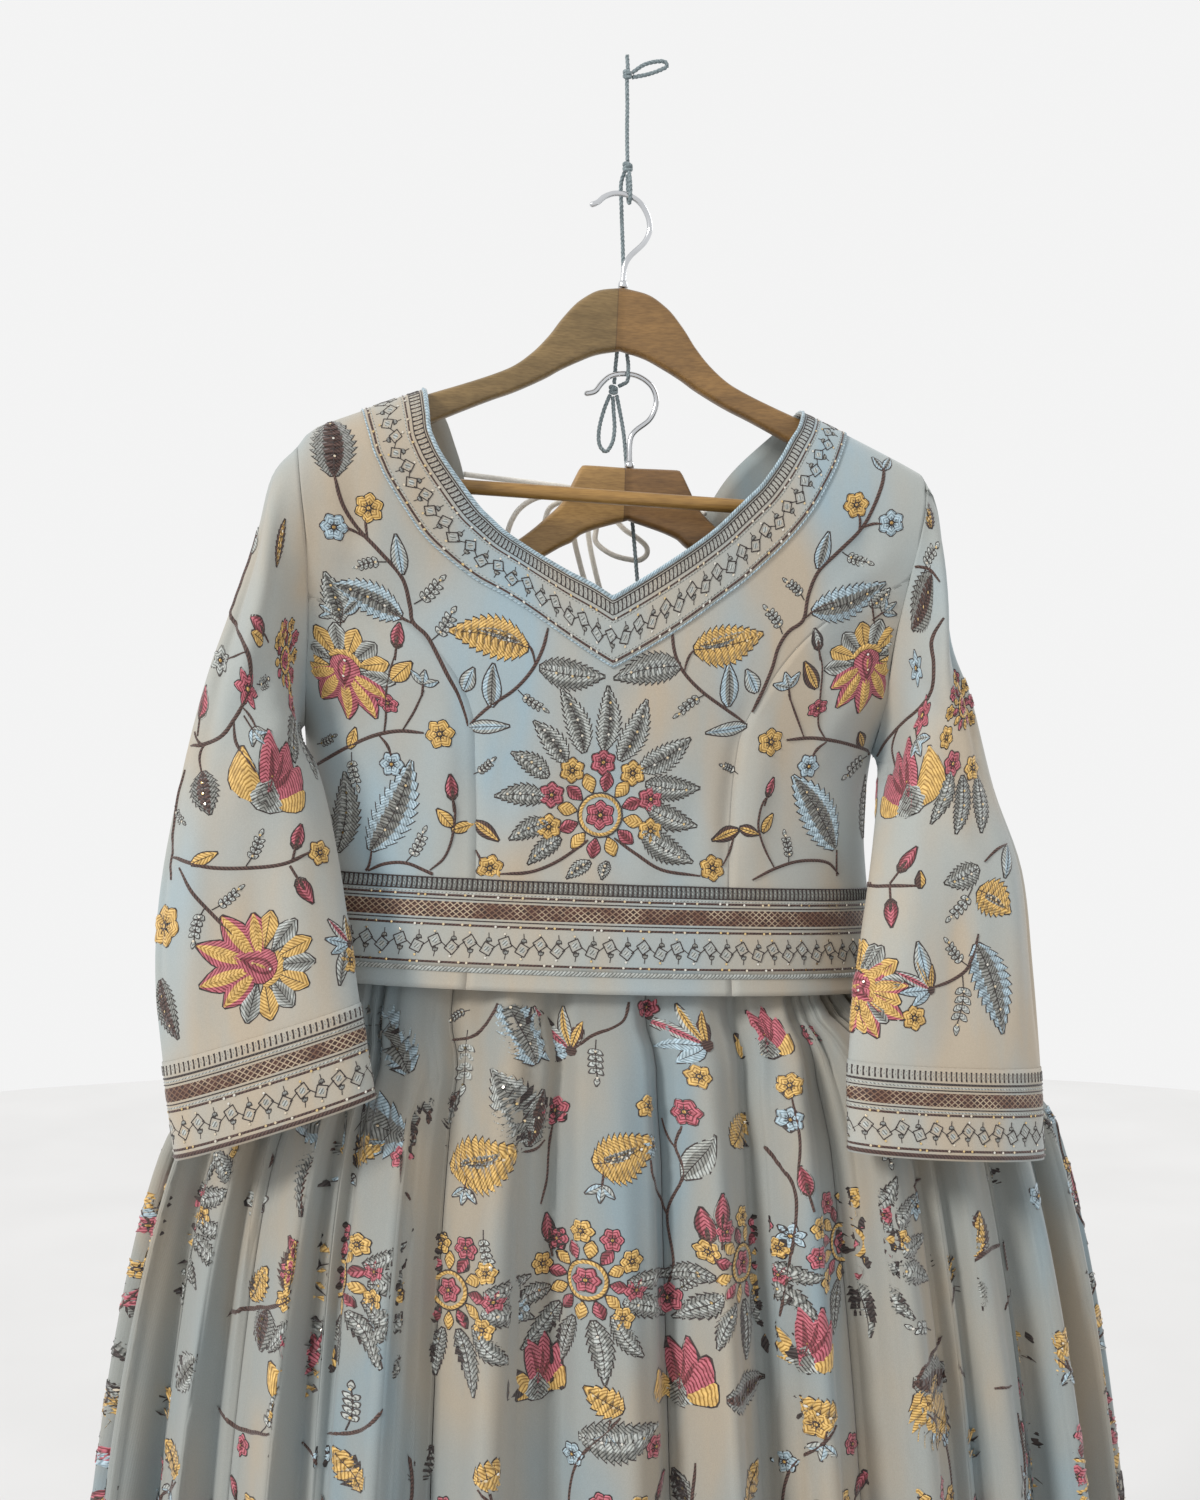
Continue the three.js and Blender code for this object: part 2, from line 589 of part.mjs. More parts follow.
// round a sleeve: down its front from the shoulder tip, then up its back
function ringAngles() {
  const front = ARM_ANGLES.map((a) => [a, -1]);
  const rear = ARM_ANGLES.slice(1, -1).reverse().map((a) => [a, 1]);
  return [...front, ...rear];
}

function armholeLoop(hand) {
  const front = ARM_ANGLES.map((_, i) => bodyPoint(...armholePoint(-1, i, hand)));
  const rear = ARM_ANGLES.map((_, i) => bodyPoint(...armholePoint(1, i, hand))).slice(1, -1).reverse();
  return [...front, ...rear];
}

function sleeveRings(table, hand) {
  const rings = table.ox.map((_, row) => sleeveRing(table, row, hand));
  const loop = armholeLoop(hand);
  const gap = loop.map((p, i) => p.clone().sub(rings[0][i]));
  return rings.map((ring, row) => {
    const share = Math.max(0, 1 - row / 3);
    return ring.map((p, i) => p.clone().addScaledVector(gap[i], share * share));
  });
}

function tubeSurface(rings) {
  const n = rings[0].length;
  const at = (r, c) => rings[clamp(r, 0, rings.length - 1)][(c + n) % n];
  return new Surface(([r, c]) => {
    const across = at(r, c + 1).clone().sub(at(r, c - 1));
    const down = at(r + 1, c).clone().sub(at(r - 1, c));
    const normal = across.cross(down).normalize();
    const middle = new THREE.Vector3();
    rings[r].forEach((p) => middle.addScaledVector(p, 1 / n));
    if (normal.dot(at(r, c).clone().sub(middle)) < 0) normal.negate();
    return { point: at(r, c).clone(), normal };
  });
}

function ringGrid(surface, from, to, n) {
  for (let r = from; r < to; r += 1) {
    for (let c = 0; c < n; c += 1) {
      const d = (c + 1) % n;
      surface.quad([r, c], [r + 1, c], [r + 1, d], [r, d]);
    }
  }
}

function sleeve(table, hand) {
  const rings = sleeveRings(table, hand);
  const middle = rings[1].map((p, i) => p.clone().sub(rings[0][i]).normalize());
  rings[0] = rings[0].map((p, i) => {
    const low = Math.sin((ringAngles()[i][0] * DEG) / 2) ** 8;
    return p.clone().addScaledVector(middle[i], SLEEVE_GAP + UNDERARM_GAP * low);
  });
  const surface = tubeSurface(rings);
  ringGrid(surface, 0, rings.length - 1, rings[0].length);
  return surface;
}

function cuff(table, hand) {
  const rings = sleeveRings(table, hand);
  const surface = tubeSurface(rings);
  ringGrid(surface, rings.length - 2, rings.length - 1, rings[0].length);
  return surface;
}

// ---------- skirt ----------
const skirtAt = (name, z) => read(SKIRT.z, SKIRT[name], z);
const COLUMNS = CRESTS.length * FOLD_COLUMNS;

// the folds stay nearly upright while the skirt widens beside them
function foldAngle(c, z) {
  const i = Math.floor(c / FOLD_COLUMNS);
  const n = CRESTS.length;
  const crest = (table, k) => table[((k % n) + n) % n] + 360 * Math.floor(k / n);
  const along = (table) => crest(table, i) + (crest(table, i + 1) - crest(table, i)) * (c / FOLD_COLUMNS - i);
  const share = 1 - (1 - clamp((skirtAt("half", z) - WAIST_HALF) / (FULL_HALF - WAIST_HALF), 0, 1)) ** 2;
  return along(WAIST_CRESTS) + (along(CRESTS) - along(WAIST_CRESTS)) * share;
}

function skirtPoint(c, z) {
  const a = foldAngle(c, z) * DEG;
  const [sin, cos] = [Math.sin(a), Math.cos(a)];
  const fold = skirtAt("fold", z) * Math.cos((c / FOLD_COLUMNS) * 2 * Math.PI);
  const wide = skirtAt("half", z);
  const deep = cos > 0 ? skirtAt("front", z) : skirtAt("back", z);
  const flat = Math.sign(cos) * Math.abs(cos) ** 1.15;
  const [nx, ny] = [sin * deep, -cos * wide];
  const n = Math.hypot(nx, ny);
  return new THREE.Vector3(
    skirtAt("cx", z) + wide * sin + (fold * nx) / n,
    skirtAt("cy", z) - deep * flat + (fold * ny) / n,
    z,
  );
}

function skirtVertex([c, z]) {
  const point = skirtPoint(c, z);
  const across = skirtPoint(c + 0.5, z).sub(skirtPoint(c - 0.5, z));
  const down = skirtPoint(c, z - 6).sub(skirtPoint(c, z + 6));
  const normal = across.cross(down).normalize();
  const a = foldAngle(c, z) * DEG;
  if (normal.x * Math.sin(a) - normal.y * Math.cos(a) < 0) normal.negate();
  return { point, normal };
}

function skirtPanel(index) {
  const from = index * 2 * FOLD_COLUMNS + FOLD_COLUMNS / 2;
  const rows = SKIRT.z.slice(1).map((z) => {
    const row = [];
    for (let c = 0; c <= 2 * FOLD_COLUMNS; c += 1) row.push([from + c, z]);
    return row;
  });
  const surface = new Surface(skirtVertex);
  surface.grid(rows);
  return surface;
}

function waistband() {
  const surface = new Surface(([c, z]) => skirtVertex([c, z]));
  for (let c = 0; c < COLUMNS; c += 3) {
    const d = (c + 3) % COLUMNS;
    surface.quad([c, SKIRT_TOP_Z], [c, BAND_LOW_Z], [d, BAND_LOW_Z], [d, SKIRT_TOP_Z]);
  }
  return surface;
}

// a ribbon over the second bar that carries the waistband
function hangingLoop(x) {
  const barZ = HOOK_2_AT[2] + BAR_2_Z - (x - HOOK_2_AT[0]) * ROLL_2;
  const barY = HOOK_2_AT[1] - BAR_END * SWEEP;
  const foot = SKIRT_TOP_Z + 0.3;
  const at = (y, z) => new THREE.Vector3(x, y, z);
  const curve = new THREE.CatmullRomCurve3([
    at(-44.4, foot), at(-39, foot + 8), at(barY - 7.2, barZ), at(barY, barZ + 7.2),
    at(barY + 7.2, barZ), at(-14.4, foot + 8), at(-13.4, foot),
  ]);
  const band = new THREE.Shape([
    new THREE.Vector2(-3, -0.5), new THREE.Vector2(3, -0.5), new THREE.Vector2(3, 0.5), new THREE.Vector2(-3, 0.5),
  ]);
  return new THREE.ExtrudeGeometry(band, { steps: 16, bevelEnabled: false, extrudePath: curve });
}

// ---------- the set ----------
const set = new THREE.Group();
function addCloth(name, surface, gap, looks, low = -HALF, high = HALF) {
  inset(surface, gap);
  set.add(mesh(name, wall(surface, low, high), looks));
}
function addCord(name, path, radius, looks, step = radius * 5) {
  set.add(mesh(name, tube(path, radius, 8, step), looks));
}

set.add(mesh("hanger_1_wood", hangerWood(ARM, onHanger1), wood()));
set.add(mesh("hanger_1_bar", hangerBar(BAR_1_Z, onHanger1), wood()));
set.add(mesh("hanger_1_hook", tube(HOOK_1_PATH, HOOK_RADIUS, 10, 3.6), chrome()));
set.add(mesh("hanger_2_wood", hangerWood(ARM_2, onHanger2), wood()));
set.add(mesh("hanger_2_bar", hangerBar(BAR_2_Z, onHanger2), wood()));
set.add(mesh("hanger_2_hook", tube(HOOK_2_PATH, HOOK_RADIUS, 10, 3.6), chrome()));

set.add(knot("string_knot_top", [0, 0, 0], 3.2, 1, twine()));
set.add(knot("string_knot_middle", [0.4, 0, -63.4], 3.7, 1.05, twine()));
set.add(knot("string_knot_bow", [-7, 15, -213], 3.4, 1.1, twine()));
addCord("string_tip", STRING_TIP, STRING_RADIUS, twine());
addCord("string_top_loop", TOP_LOOP, STRING_RADIUS, twine());
addCord("string_upper", STRING_UPPER, STRING_RADIUS, twine());
addCord("string_hook_loop", HOOK_LOOP, STRING_RADIUS, twine(), 3.2);
addCord("string_middle", STRING_MIDDLE, STRING_RADIUS, twine(), 5);
addCord("string_back", STRING_BACK, STRING_RADIUS, twine());
addCord("string_bow", STRING_BOW, STRING_RADIUS, twine());
addCord("string_tail", STRING_TAIL, STRING_RADIUS, twine());

addCloth("blouse_front", frontCentre(), SEAM, cloth());
addCloth("blouse_side_front_left", sideFront(PRINCESS_L, -1, 5), SEAM, cloth());
addCloth("blouse_side_front_right", sideFront(PRINCESS_R, 1, 4), SEAM, cloth());
addCloth("blouse_back", back(), SEAM, cloth());
addCloth("blouse_neck_band", neckBand(), SEAM, trim(), TRIM_IN, TRIM_OUT);
addCloth("blouse_waist_border", waistBorder(), SEAM, trim(), TRIM_IN, TRIM_OUT);
addCloth("blouse_sleeve_left", sleeve(SLEEVE_L, -1), 0.1, cloth());
addCloth("blouse_sleeve_right", sleeve(SLEEVE_R, 1), 0.1, cloth());
addCloth("blouse_cuff_left", cuff(SLEEVE_L, -1), SEAM, trim(), TRIM_IN, TRIM_OUT);
addCloth("blouse_cuff_right", cuff(SLEEVE_R, 1), SEAM, trim(), TRIM_IN, TRIM_OUT);

set.add(knot("blouse_tie_knot", TIE_KNOT, 4.1, 0.9, tie()));
addCord("blouse_tie_left", TIE_LEFT, DORI_RADIUS, tie());
addCord("blouse_tie_right", TIE_RIGHT, DORI_RADIUS, tie());
addCord("blouse_tie_tail_a", TIE_TAIL_A, DORI_RADIUS, tie());
addCord("blouse_tie_tail_b", TIE_TAIL_B, DORI_RADIUS, tie());
addCord("blouse_tie_tail_c", TIE_TAIL_C, DORI_RADIUS, tie());
addCord("blouse_tie_tail_d", TIE_TAIL_D, DORI_RADIUS, tie());
addCord("blouse_tie_loop", TIE_LOOP, DORI_RADIUS, tie());

addCloth("skirt_waistband", waistband(), SEAM, cloth());
set.add(mesh("skirt_loop_left", hangingLoop(-112), cloth()));
set.add(mesh("skirt_loop_right", hangingLoop(84), cloth()));
for (let i = 0; i < PANELS; i += 1) {
  addCloth("skirt_panel_" + String(i + 1).padStart(2, "0"), skirtPanel(i), SEAM, cloth());
}

export default set;
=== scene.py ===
import math

import bpy
import numpy as np
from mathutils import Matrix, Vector


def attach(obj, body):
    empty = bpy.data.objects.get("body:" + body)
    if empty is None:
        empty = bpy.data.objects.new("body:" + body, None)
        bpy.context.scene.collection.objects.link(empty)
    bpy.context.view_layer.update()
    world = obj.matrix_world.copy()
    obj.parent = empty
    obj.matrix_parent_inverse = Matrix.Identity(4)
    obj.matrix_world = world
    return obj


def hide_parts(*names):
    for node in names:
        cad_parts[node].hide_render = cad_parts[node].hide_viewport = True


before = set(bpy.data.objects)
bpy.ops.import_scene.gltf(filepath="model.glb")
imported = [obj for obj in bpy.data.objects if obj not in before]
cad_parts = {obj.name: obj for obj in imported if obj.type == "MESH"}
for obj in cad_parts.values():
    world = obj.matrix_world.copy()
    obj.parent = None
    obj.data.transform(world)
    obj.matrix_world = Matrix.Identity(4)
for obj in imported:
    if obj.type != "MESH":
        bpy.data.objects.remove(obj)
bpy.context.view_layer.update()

# ---------- camera ----------
cam_data = bpy.data.cameras.new("camera")
cam_data.lens = 40.29
cam_data.sensor_width = 36
camera = bpy.data.objects.new("camera", cam_data)
camera.location = (-0.1982, -1.1329, -0.4624)
camera.rotation_euler = (math.pi / 2, 0, math.radians(-9))
bpy.context.collection.objects.link(camera)
bpy.context.scene.camera = camera

EYE = np.array([-198.2, -1132.9, -462.4])
AHEAD = np.array([0.15643, 0.98769, 0.0])
RIGHT = np.array([0.98769, -0.15643, 0.0])
FOCAL = 1678.8


def to_frame(points):
    """Where points fall in the 1200 x 1500 frame."""
    v = np.asarray(points) - EYE
    depth = v @ AHEAD
    return np.stack([600 + FOCAL * (v @ RIGHT) / depth, 750 - FOCAL * v[..., 2] / depth], -1)


# ---------- tables ----------
ROLL_1 = math.radians(2.7)
ROLL_2 = math.radians(1.6)
HOOK_1_AT = (0, 0, -83)
HOOK_2_AT = (5, 9, -203)
SWEEP = 0.176
BODY_X = -5
ARM = {
    "x": [0, 16, 30, 42, 50, 61, 74, 87, 106, 130, 160, 186, 186.4, 194, 199],
    "top": [-63.4, -67, -76, -90, -102, -115, -126, -133, -141.5, -151.5, -165, -177.2, -177.4, -182, -188],
    "low": [-106.5, -111, -118, -125, -130.5, -137, -144, -150, -159.5, -172, -187, -200, -219, -219, -213],
}
ARM_2 = {
    "x": [0, 33, 40, 46, 59, 75, 87, 106, 130, 160, 186, 186.4, 194, 199],
    "top": [-65, -65.6, -77, -90, -104, -118, -126, -137, -148.5, -163, -176.2, -176.4, -181, -187],
    "low": [-101, -113, -119, -122, -130, -139, -146, -158, -171, -186, -200, -218, -218, -212],
}
SHOULDER = {
    "x": [0, 106, 130, 160, 188, 200, 207, 212, 240],
    "z": [-120, -139.4, -149.4, -162.9, -176, -182, -188, -196, -230],
}
BODY = {
    "z": [-140, -200, -250, -290, -330, -372, -420, -474, -523, -545],
    "half": [252, 250, 244, 236, 220, 195, 192, 197, 204, 207],
    "front": [50, 58, 65, 69, 71, 69, 65, 64, 68, 71],
    "back": [40, 46, 50, 52, 52, 51, 51, 53, 59, 62],
}
ARMHOLE = {"z": [-196, -228, -257, -292, -330, -372], "half": [207, 203, 199, 196, 195, 195]}
ARM_ANGLES = [0, 13, 28, 50, 72, 95, 118, 145, 180]
NECK = {
    "in_x": [-132, -131.8, -131, -130, -129, -125.5, -121, -109.5, -96, -88, -79.5, -69, -59.5, -49, -36,
             -21, -8, 4, 20, 33, 43, 54, 62, 71, 79, 87, 95, 101, 107, 113.5, 119.3, 119.5],
    "in_z": [0, 2.4, -162, -172, -181.5, -190, -198, -213, -229, -236, -243, -249.5, -255, -260.5, -267,
             -273.6, -281, -273, -262, -252.5, -245, -236, -228.5, -219, -210.5, -202, -190.5, -181, -170,
             -160, 2.4, 0],
    "out_x": [-173, -172.7, -171, -168, -165, -161, -157, -145, -131.5, -115.4, -96.6, -78, -62, -48, -34,
              -19, -6, 8, 22, 37, 50.7, 65, 79.7, 91, 102, 113, 124, 131.5, 138, 144, 149.7, 150],
    "out_z": [0, 2.4, -179, -189, -199, -207, -215, -232.4, -249.5, -263, -276, -285, -294, -303, -312,
              -321, -328, -319.5, -310.5, -300, -289.5, -278, -266, -255, -243.7, -231, -215.5, -201.5,
              -188.5, -174, 2.4, 0],
}
PRINCESS_L = {
    "x": [-166, -140, -122, -104.5, -94.5, -91, -88, -86.5],
    "z": [-295, -304, -317.6, -339, -360, -390, -430, -474],
    "side": [0, 0, 0, -395, -415, -435, -455, -474],
}
PRINCESS_R = {
    "x": [150, 127, 110, 95.5, 85, 80.5, 79.5, 80],
    "z": [-277, -298, -317, -339, -360, -390, -430, -474],
    "side": [0, 0, 0, 0, -395, -420, -447, -474],
}
FRONT_HEM_X = [-52, -24, -4, 20, 48]
BACK_NECK = {
    "left": [-132, -131.4, -118, -108, -101, -97, -99, -97, -88, -78, -67, -55, -44, -33, -22, -12, -5],
    "right": [119.5, 119, 108, 91, 80, 72.5, 76, 84, 80, 70, 59, 46, 35, 24, 14, 4, -5],
    "z": [0, 2.4, -158, -176, -193, -213, -236, -258, -280, -292, -302, -309, -314, -317, -319, -320,
          -320.4],
    "side": [0, 0, 0, 0, 0, 0, 0, 0, 0, -405, -440, -474, -474, -474, -474, -474, -474],
    "u": [0, 0, 0, 0, 0, 0, 0, 0, 0, 1, 1, 1, 0.82, 0.62, 0.42, 0.21, 0],
}
SLEEVE_L = {
    "outer": [(-221, -37, -269), (-237, -39, -288), (-247, -41, -328), (-263, -44, -375),
              (-278, -47, -420), (-292, -51, -478), (-304, -56, -545), (-307, -61, -600),
              (-302, -65, -655), (-294, -69, -715)],
    "inner": [(-217.3, 0, -445.4), (-220, -4, -449), (-220, -13, -455), (-216, -27, -463),
              (-208.5, -42, -476), (-201.5, -56, -502), (-195, -69, -536), (-189, -80, -576),
              (-183, -88, -618), (-174, -95, -676)],
}
SLEEVE_R = {
    "outer": [(192.5, -34, -288), (203, -37, -301), (209, -40, -335), (213, -44, -388), (226, -48, -427),
              (240, -54, -488), (257, -62, -543), (261, -70, -605), (263, -78, -672), (262, -85, -731)],
    "inner": [(172.3, 0, -463.5), (175, -4, -467), (175, -13, -472), (172, -27, -480), (166, -42, -492),
              (159, -56, -516), (149, -72, -552), (137, -87, -600), (127, -99, -660), (124, -110, -716)],
}
SLEEVE_DEPTH = [40, 38, 35, 31, 28, 26, 24, 22.5, 21, 20]
SLEEVE_TURN = [0, 0, 1, 2, 3, 5, 8, 10, 11, 12]
SKIRT = {
    "z": [-432, -462, -560, -634, -662, -692, -730, -850, -1050, -1407],
    "cx": [-14, -16, -25, -29, -14, -4, 0, 0, 0, 0],
    "cy": [-29, -27, -9, -3, -1, 0, 0, 0, 0, 0],
    "half": [148, 148, 172, 187, 226, 278, 302, 326, 349, 402],
    "front": [22, 24, 46, 56, 68, 80, 90, 116, 140, 172],
    "back": [22, 24, 40, 48, 60, 76, 88, 108, 132, 165],
    "fold": [0, 1.2, 2.5, 3.5, 6, 8, 9, 12, 15, 20],
}
WAIST_CRESTS = [-97, -83, -70, -57, -45, -19, 2.3, 21.5, 45.7, 57, 69, 82, 96, 110, 124, 138, 152, 166,
                180, 194, 208, 222, 236, 250]
CRESTS = [-88, -74, -59.5, -44.5, -31.5, -19, -4, 7, 18, 30, 44, 57, 71, 85, 101, 118, 136, 154, 172, 190,
          208, 226, 244, 259]
WAIST_HALF = 172
FULL_HALF = 331


# ---------- small functions ----------
def read(keys, values, at):
    """Smooth monotone reading of one table column against another."""
    x, y = np.asarray(keys, float), np.asarray(values, float)
    if x[0] > x[-1]:
        x, y = x[::-1], y[::-1]
    h, d = np.diff(x), np.diff(y) / np.diff(x)
    m = np.zeros(len(x))
    m[0], m[-1] = d[0], d[-1]
    same = d[:-1] * d[1:] > 0
    m[1:-1][same] = 2 * d[:-1][same] * d[1:][same] / (d[:-1][same] + d[1:][same])
    at = np.clip(at, x[0], x[-1])
    i = np.clip(np.searchsorted(x, at) - 1, 0, len(x) - 2)
    t = (at - x[i]) / h[i]
    a, b = y[i], y[i + 1]
    return (a * (1 + 2 * t) + h[i] * m[i] * t) * (1 - t) ** 2 + (b * (3 - 2 * t) - h[i] * m[i + 1]
                                                                 * (1 - t)) * t * t


def smooth(t):
    c = np.clip(t, 0, 1)
    return c * c * (3 - 2 * c)


def rise(t):
    return np.sqrt(1 - (1 - np.clip(t, 0, 1)) ** 2)


def rolled(x, y, z, roll, at):
    c, s = math.cos(roll), math.sin(roll)
    return np.stack([at[0] + x * c + z * s, at[1] + y + 0 * x, at[2] - x * s + z * c], -1)


def catmull(points, at):
    """Catmull-Rom through rows of points (first axis) at fractional row numbers."""
    p = np.asarray(points, float)
    n = len(p)
    i = np.clip(np.floor(at).astype(int), 0, n - 2)
    t = (at - i).reshape((-1,) + (1,) * (p.ndim - 1))
    a = np.where((i > 0).reshape(t.shape), p[np.maximum(i - 1, 0)], 2 * p[i] - p[i + 1])
    d = np.where((i < n - 2).reshape(t.shape), p[np.minimum(i + 2, n - 1)], 2 * p[i + 1] - p[i])
    b, c = p[i], p[i + 1]
    return b + 0.5 * t * (c - a + t * (2 * a - 5 * b + 4 * c - d + t * (3 * (b - c) + d - a)))


def curve_through(points, step):
    """A smooth line through points, at about the given spacing."""
    p = np.asarray(points, float)
    knots = np.concatenate([[0], np.cumsum(np.linalg.norm(np.diff(p, axis=0), axis=1) ** 0.5)])
    fine = np.linspace(0, len(p) - 1, 24 * (len(p) - 1) + 1)
    at = np.interp(fine, np.arange(len(p)), knots)
    line = catmull_knots(p, knots, at)
    run = np.concatenate([[0], np.cumsum(np.linalg.norm(np.diff(line, axis=0), axis=1))])
    count = max(3, int(round(run[-1] / step)) + 1)
    even = np.linspace(0, run[-1], count)
    return np.stack([np.interp(even, run, line[:, k]) for k in range(p.shape[1])], -1)


def catmull_knots(p, k, at):
    """Centripetal Catmull-Rom at knot values."""
    q = np.vstack([2 * p[0] - p[1], p, 2 * p[-1] - p[-2]])
    kk = np.concatenate([[2 * k[0] - k[1]], k, [2 * k[-1] - k[-2]]])
    i = np.clip(np.searchsorted(k, at, side="right") - 1, 0, len(p) - 2) + 1
    t0, t1, t2, t3 = (kk[i + j][:, None] for j in (-1, 0, 1, 2))
    p0, p1, p2, p3 = (q[i + j] for j in (-1, 0, 1, 2))
    t = at[:, None]
    a1 = ((t1 - t) * p0 + (t - t0) * p1) / (t1 - t0)
    a2 = ((t2 - t) * p1 + (t - t1) * p2) / (t2 - t1)
    a3 = ((t3 - t) * p2 + (t - t2) * p3) / (t3 - t2)
    b1 = ((t2 - t) * a1 + (t - t0) * a2) / (t2 - t0)
    b2 = ((t3 - t) * a2 + (t - t1) * a3) / (t3 - t1)
    return ((t2 - t) * b1 + (t - t1) * b2) / (t2 - t1)


def unit(v):
    return v / np.maximum(np.linalg.norm(v, axis=-1, keepdims=True), 1e-9)


# ---------- materials ----------
class Look:
    """A node material under construction."""

    def __init__(self, name, rough=0.8, metal=0.0, sheen=0.0, coat=0.0, spec=0.5):
        self.mat = bpy.data.materials.new(name)
        self.mat.use_nodes = True
        self.nodes, self.links = self.mat.node_tree.nodes, self.mat.node_tree.links
        self.shader = self.nodes["Principled BSDF"]
        self.shader.inputs["Roughness"].default_value = rough
        self.shader.inputs["Metallic"].default_value = metal
        self.shader.inputs["Sheen Weight"].default_value = sheen
        self.shader.inputs["Coat Weight"].default_value = coat
        self.shader.inputs["Specular IOR Level"].default_value = spec
        self.coords = self.nodes.new("ShaderNodeTexCoord")

    def node(self, kind, inputs=None, **props):
        made = self.nodes.new("ShaderNode" + kind)
        for key, value in props.items():
            setattr(made, key, value)
        for key, value in (inputs or {}).items():
            if isinstance(value, bpy.types.NodeSocket):
                self.links.new(value, made.inputs[key])
            else:
                made.inputs[key].default_value = value
        return made

    def space(self, scale=(1, 1, 1), which="Object"):
        return self.node("Mapping", {"Vector": self.coords.outputs[which], "Scale": scale}).outputs[0]

    def noise(self, scale, detail=3, stretch=(1, 1, 1), which="Object", rough=0.5):
        made = self.node("TexNoise",
                         {"Vector": self.space(stretch, which), "Scale": scale, "Detail": detail,
                                      "Roughness": rough})
        return made.outputs[0]

    def ramp(self, factor, stops):
        made = self.node("ValToRGB", {"Fac": factor})
        ramp = made.color_ramp
        while len(ramp.elements) < len(stops):
            ramp.elements.new(0.5)
        for element, (at, colour) in zip(ramp.elements, stops):
            element.position = at
            element.color = (*linear(colour), 1) if len(colour) == 3 else colour
        return made.outputs[0]

    def mix(self, factor, a, b, mode="MIX"):
        made = self.node("MixRGB", {"Fac": factor}, blend_type=mode)
        for socket, value in (("Color1", a), ("Color2", b)):
            if isinstance(value, bpy.types.NodeSocket):
                self.links.new(value, made.inputs[socket])
            else:
                made.inputs[socket].default_value = (*linear(value), 1)
        return made.outputs[0]

    def colour(self, socket):
        self.links.new(socket, self.shader.inputs["Base Color"])

    def bump(self, height, strength=0.3, distance=0.0003):
        made = self.node("Bump", {"Height": height, "Strength": strength, "Distance": distance})
        self.links.new(made.outputs[0], self.shader.inputs["Normal"])

    def rough(self, socket):
        self.links.new(socket, self.shader.inputs["Roughness"])


def linear(rgb):
    """sRGB bytes to linear values."""
    return [((c / 255 + 0.055) / 1.055) ** 2.4 if c > 10 else c / 255 / 12.92 for c in rgb]


def flat_colour(look, rgb, spread=10, scale=600):
    """A colour that varies a little from fibre to fibre."""
    dark = [max(0, c - spread) for c in rgb]
    light = [min(255, c + spread) for c in rgb]
    look.colour(look.ramp(look.noise(scale, 2), [(0.3, dark), (0.7, light)]))


def cloth_look(name, blue, beige, grey, share=0.5):
    """Georgette with painted warm and cool light wandering over it in soft upright clouds: blue where the
    light is cool, beige where it is warm.
    """
    look = Look(name, rough=0.88, sheen=0.25, spec=0.25)
    look.shader.inputs["Sheen Roughness"].default_value = 0.5
    # Painted light: these clouds turn the cloth blue where cool light falls and beige where warm light
    # falls.
    light_tint_patches = look.noise(9.0, 2, (1.5, 1.0, 0.55))
    warm_cool_light_tint = look.ramp(light_tint_patches, [(share - 0.13, blue), (share + 0.13, beige)])
    veil = look.noise(21.0, 3, (1.6, 1.0, 0.4))
    tone = look.mix(look.ramp(veil, [(0.42, (0, 0, 0)), (0.75, (255, 255, 255))]), warm_cool_light_tint, grey)
    fine = look.noise(1500, 1)
    look.colour(look.mix(0.10, tone, look.ramp(fine, [(0.3, (90, 90, 90)), (0.7, (255, 255, 255))]),
                         "MULTIPLY"))
    across = look.node("TexWave", {"Vector": look.space((1, 1, 1), "UV"), "Scale": 420.0, "Distortion": 0.6,
                                   "Detail": 1.0, "Detail Scale": 2.0}, bands_direction="X").outputs[1]
    down = look.node("TexWave", {"Vector": look.space((1, 1, 1), "UV"), "Scale": 420.0, "Distortion": 0.6,
                                 "Detail": 1.0, "Detail Scale": 2.0}, bands_direction="Y").outputs[1]
    look.bump(look.node("Math", {0: across, 1: down}, operation="ADD").outputs[0], 0.25, 0.00015)
    return look.mat


CLOTH_BLUE = cloth_look("georgette", (149, 167, 175), (175, 163, 145), (160, 165, 162), 0.46)
CLOTH_SKIRT = cloth_look("georgette_skirt", (131, 146, 152), (158, 149, 134), (142, 147, 145), 0.48)
CLOTH_INSIDE = cloth_look("lining", (170, 188, 198), (184, 168, 152), (178, 176, 172), 0.45)


def wood_look(name, left, right, seam, roll_x):
    look = Look(name, rough=0.42, coat=0.25, spec=0.4)
    look.shader.inputs["Coat Roughness"].default_value = 0.3
    grain = look.noise(14.0, 5, (1.2, 6.0, 9.0), rough=0.65)
    pores = look.noise(90.0, 4, (1.0, 9.0, 14.0))
    x = look.node("SeparateXYZ", {"Vector": look.coords.outputs["Object"]}).outputs[0]
    z = look.node("SeparateXYZ", {"Vector": look.coords.outputs["Object"]}).outputs[2]
    lean = look.node("Math", {0: z, 1: roll_x}, operation="MULTIPLY").outputs[0]
    from_seam = look.node("Math",
                          {0: look.node("Math", {0: x, 1: lean}, operation="SUBTRACT").outputs[0], 1: seam},
                          operation="SUBTRACT").outputs[0]
    # Past the seam the second colour pair is used. On the hanger arms that pair is painted shade on the
    # half turned away from the key light. The dark seam line is the wood's own joint.
    side = look.node("MapRange", {"Value": from_seam, "From Min": -0.0002, "From Max": 0.0002}).outputs[0]
    a = look.ramp(grain, [(0.3, left[0]), (0.7, left[1])])
    b = look.ramp(grain, [(0.3, right[0]), (0.7, right[1])])
    both = look.mix(side, a, b)
    far = look.node("Math", {0: from_seam}, operation="ABSOLUTE").outputs[0]
    line = look.node("MapRange",
                     {"Value": far, "From Min": 0.0, "From Max": 0.0006, "To Min": 0.55, "To Max": 0.0})
    tone = look.mix(line.outputs[0], both, (60, 40, 22))
    look.colour(look.mix(0.35, tone, look.ramp(pores, [(0.35, (150, 130, 110)), (0.6, (255, 255, 255))]),
                         "MULTIPLY"))
    look.bump(pores, 0.15, 0.0002)
    return look.mat
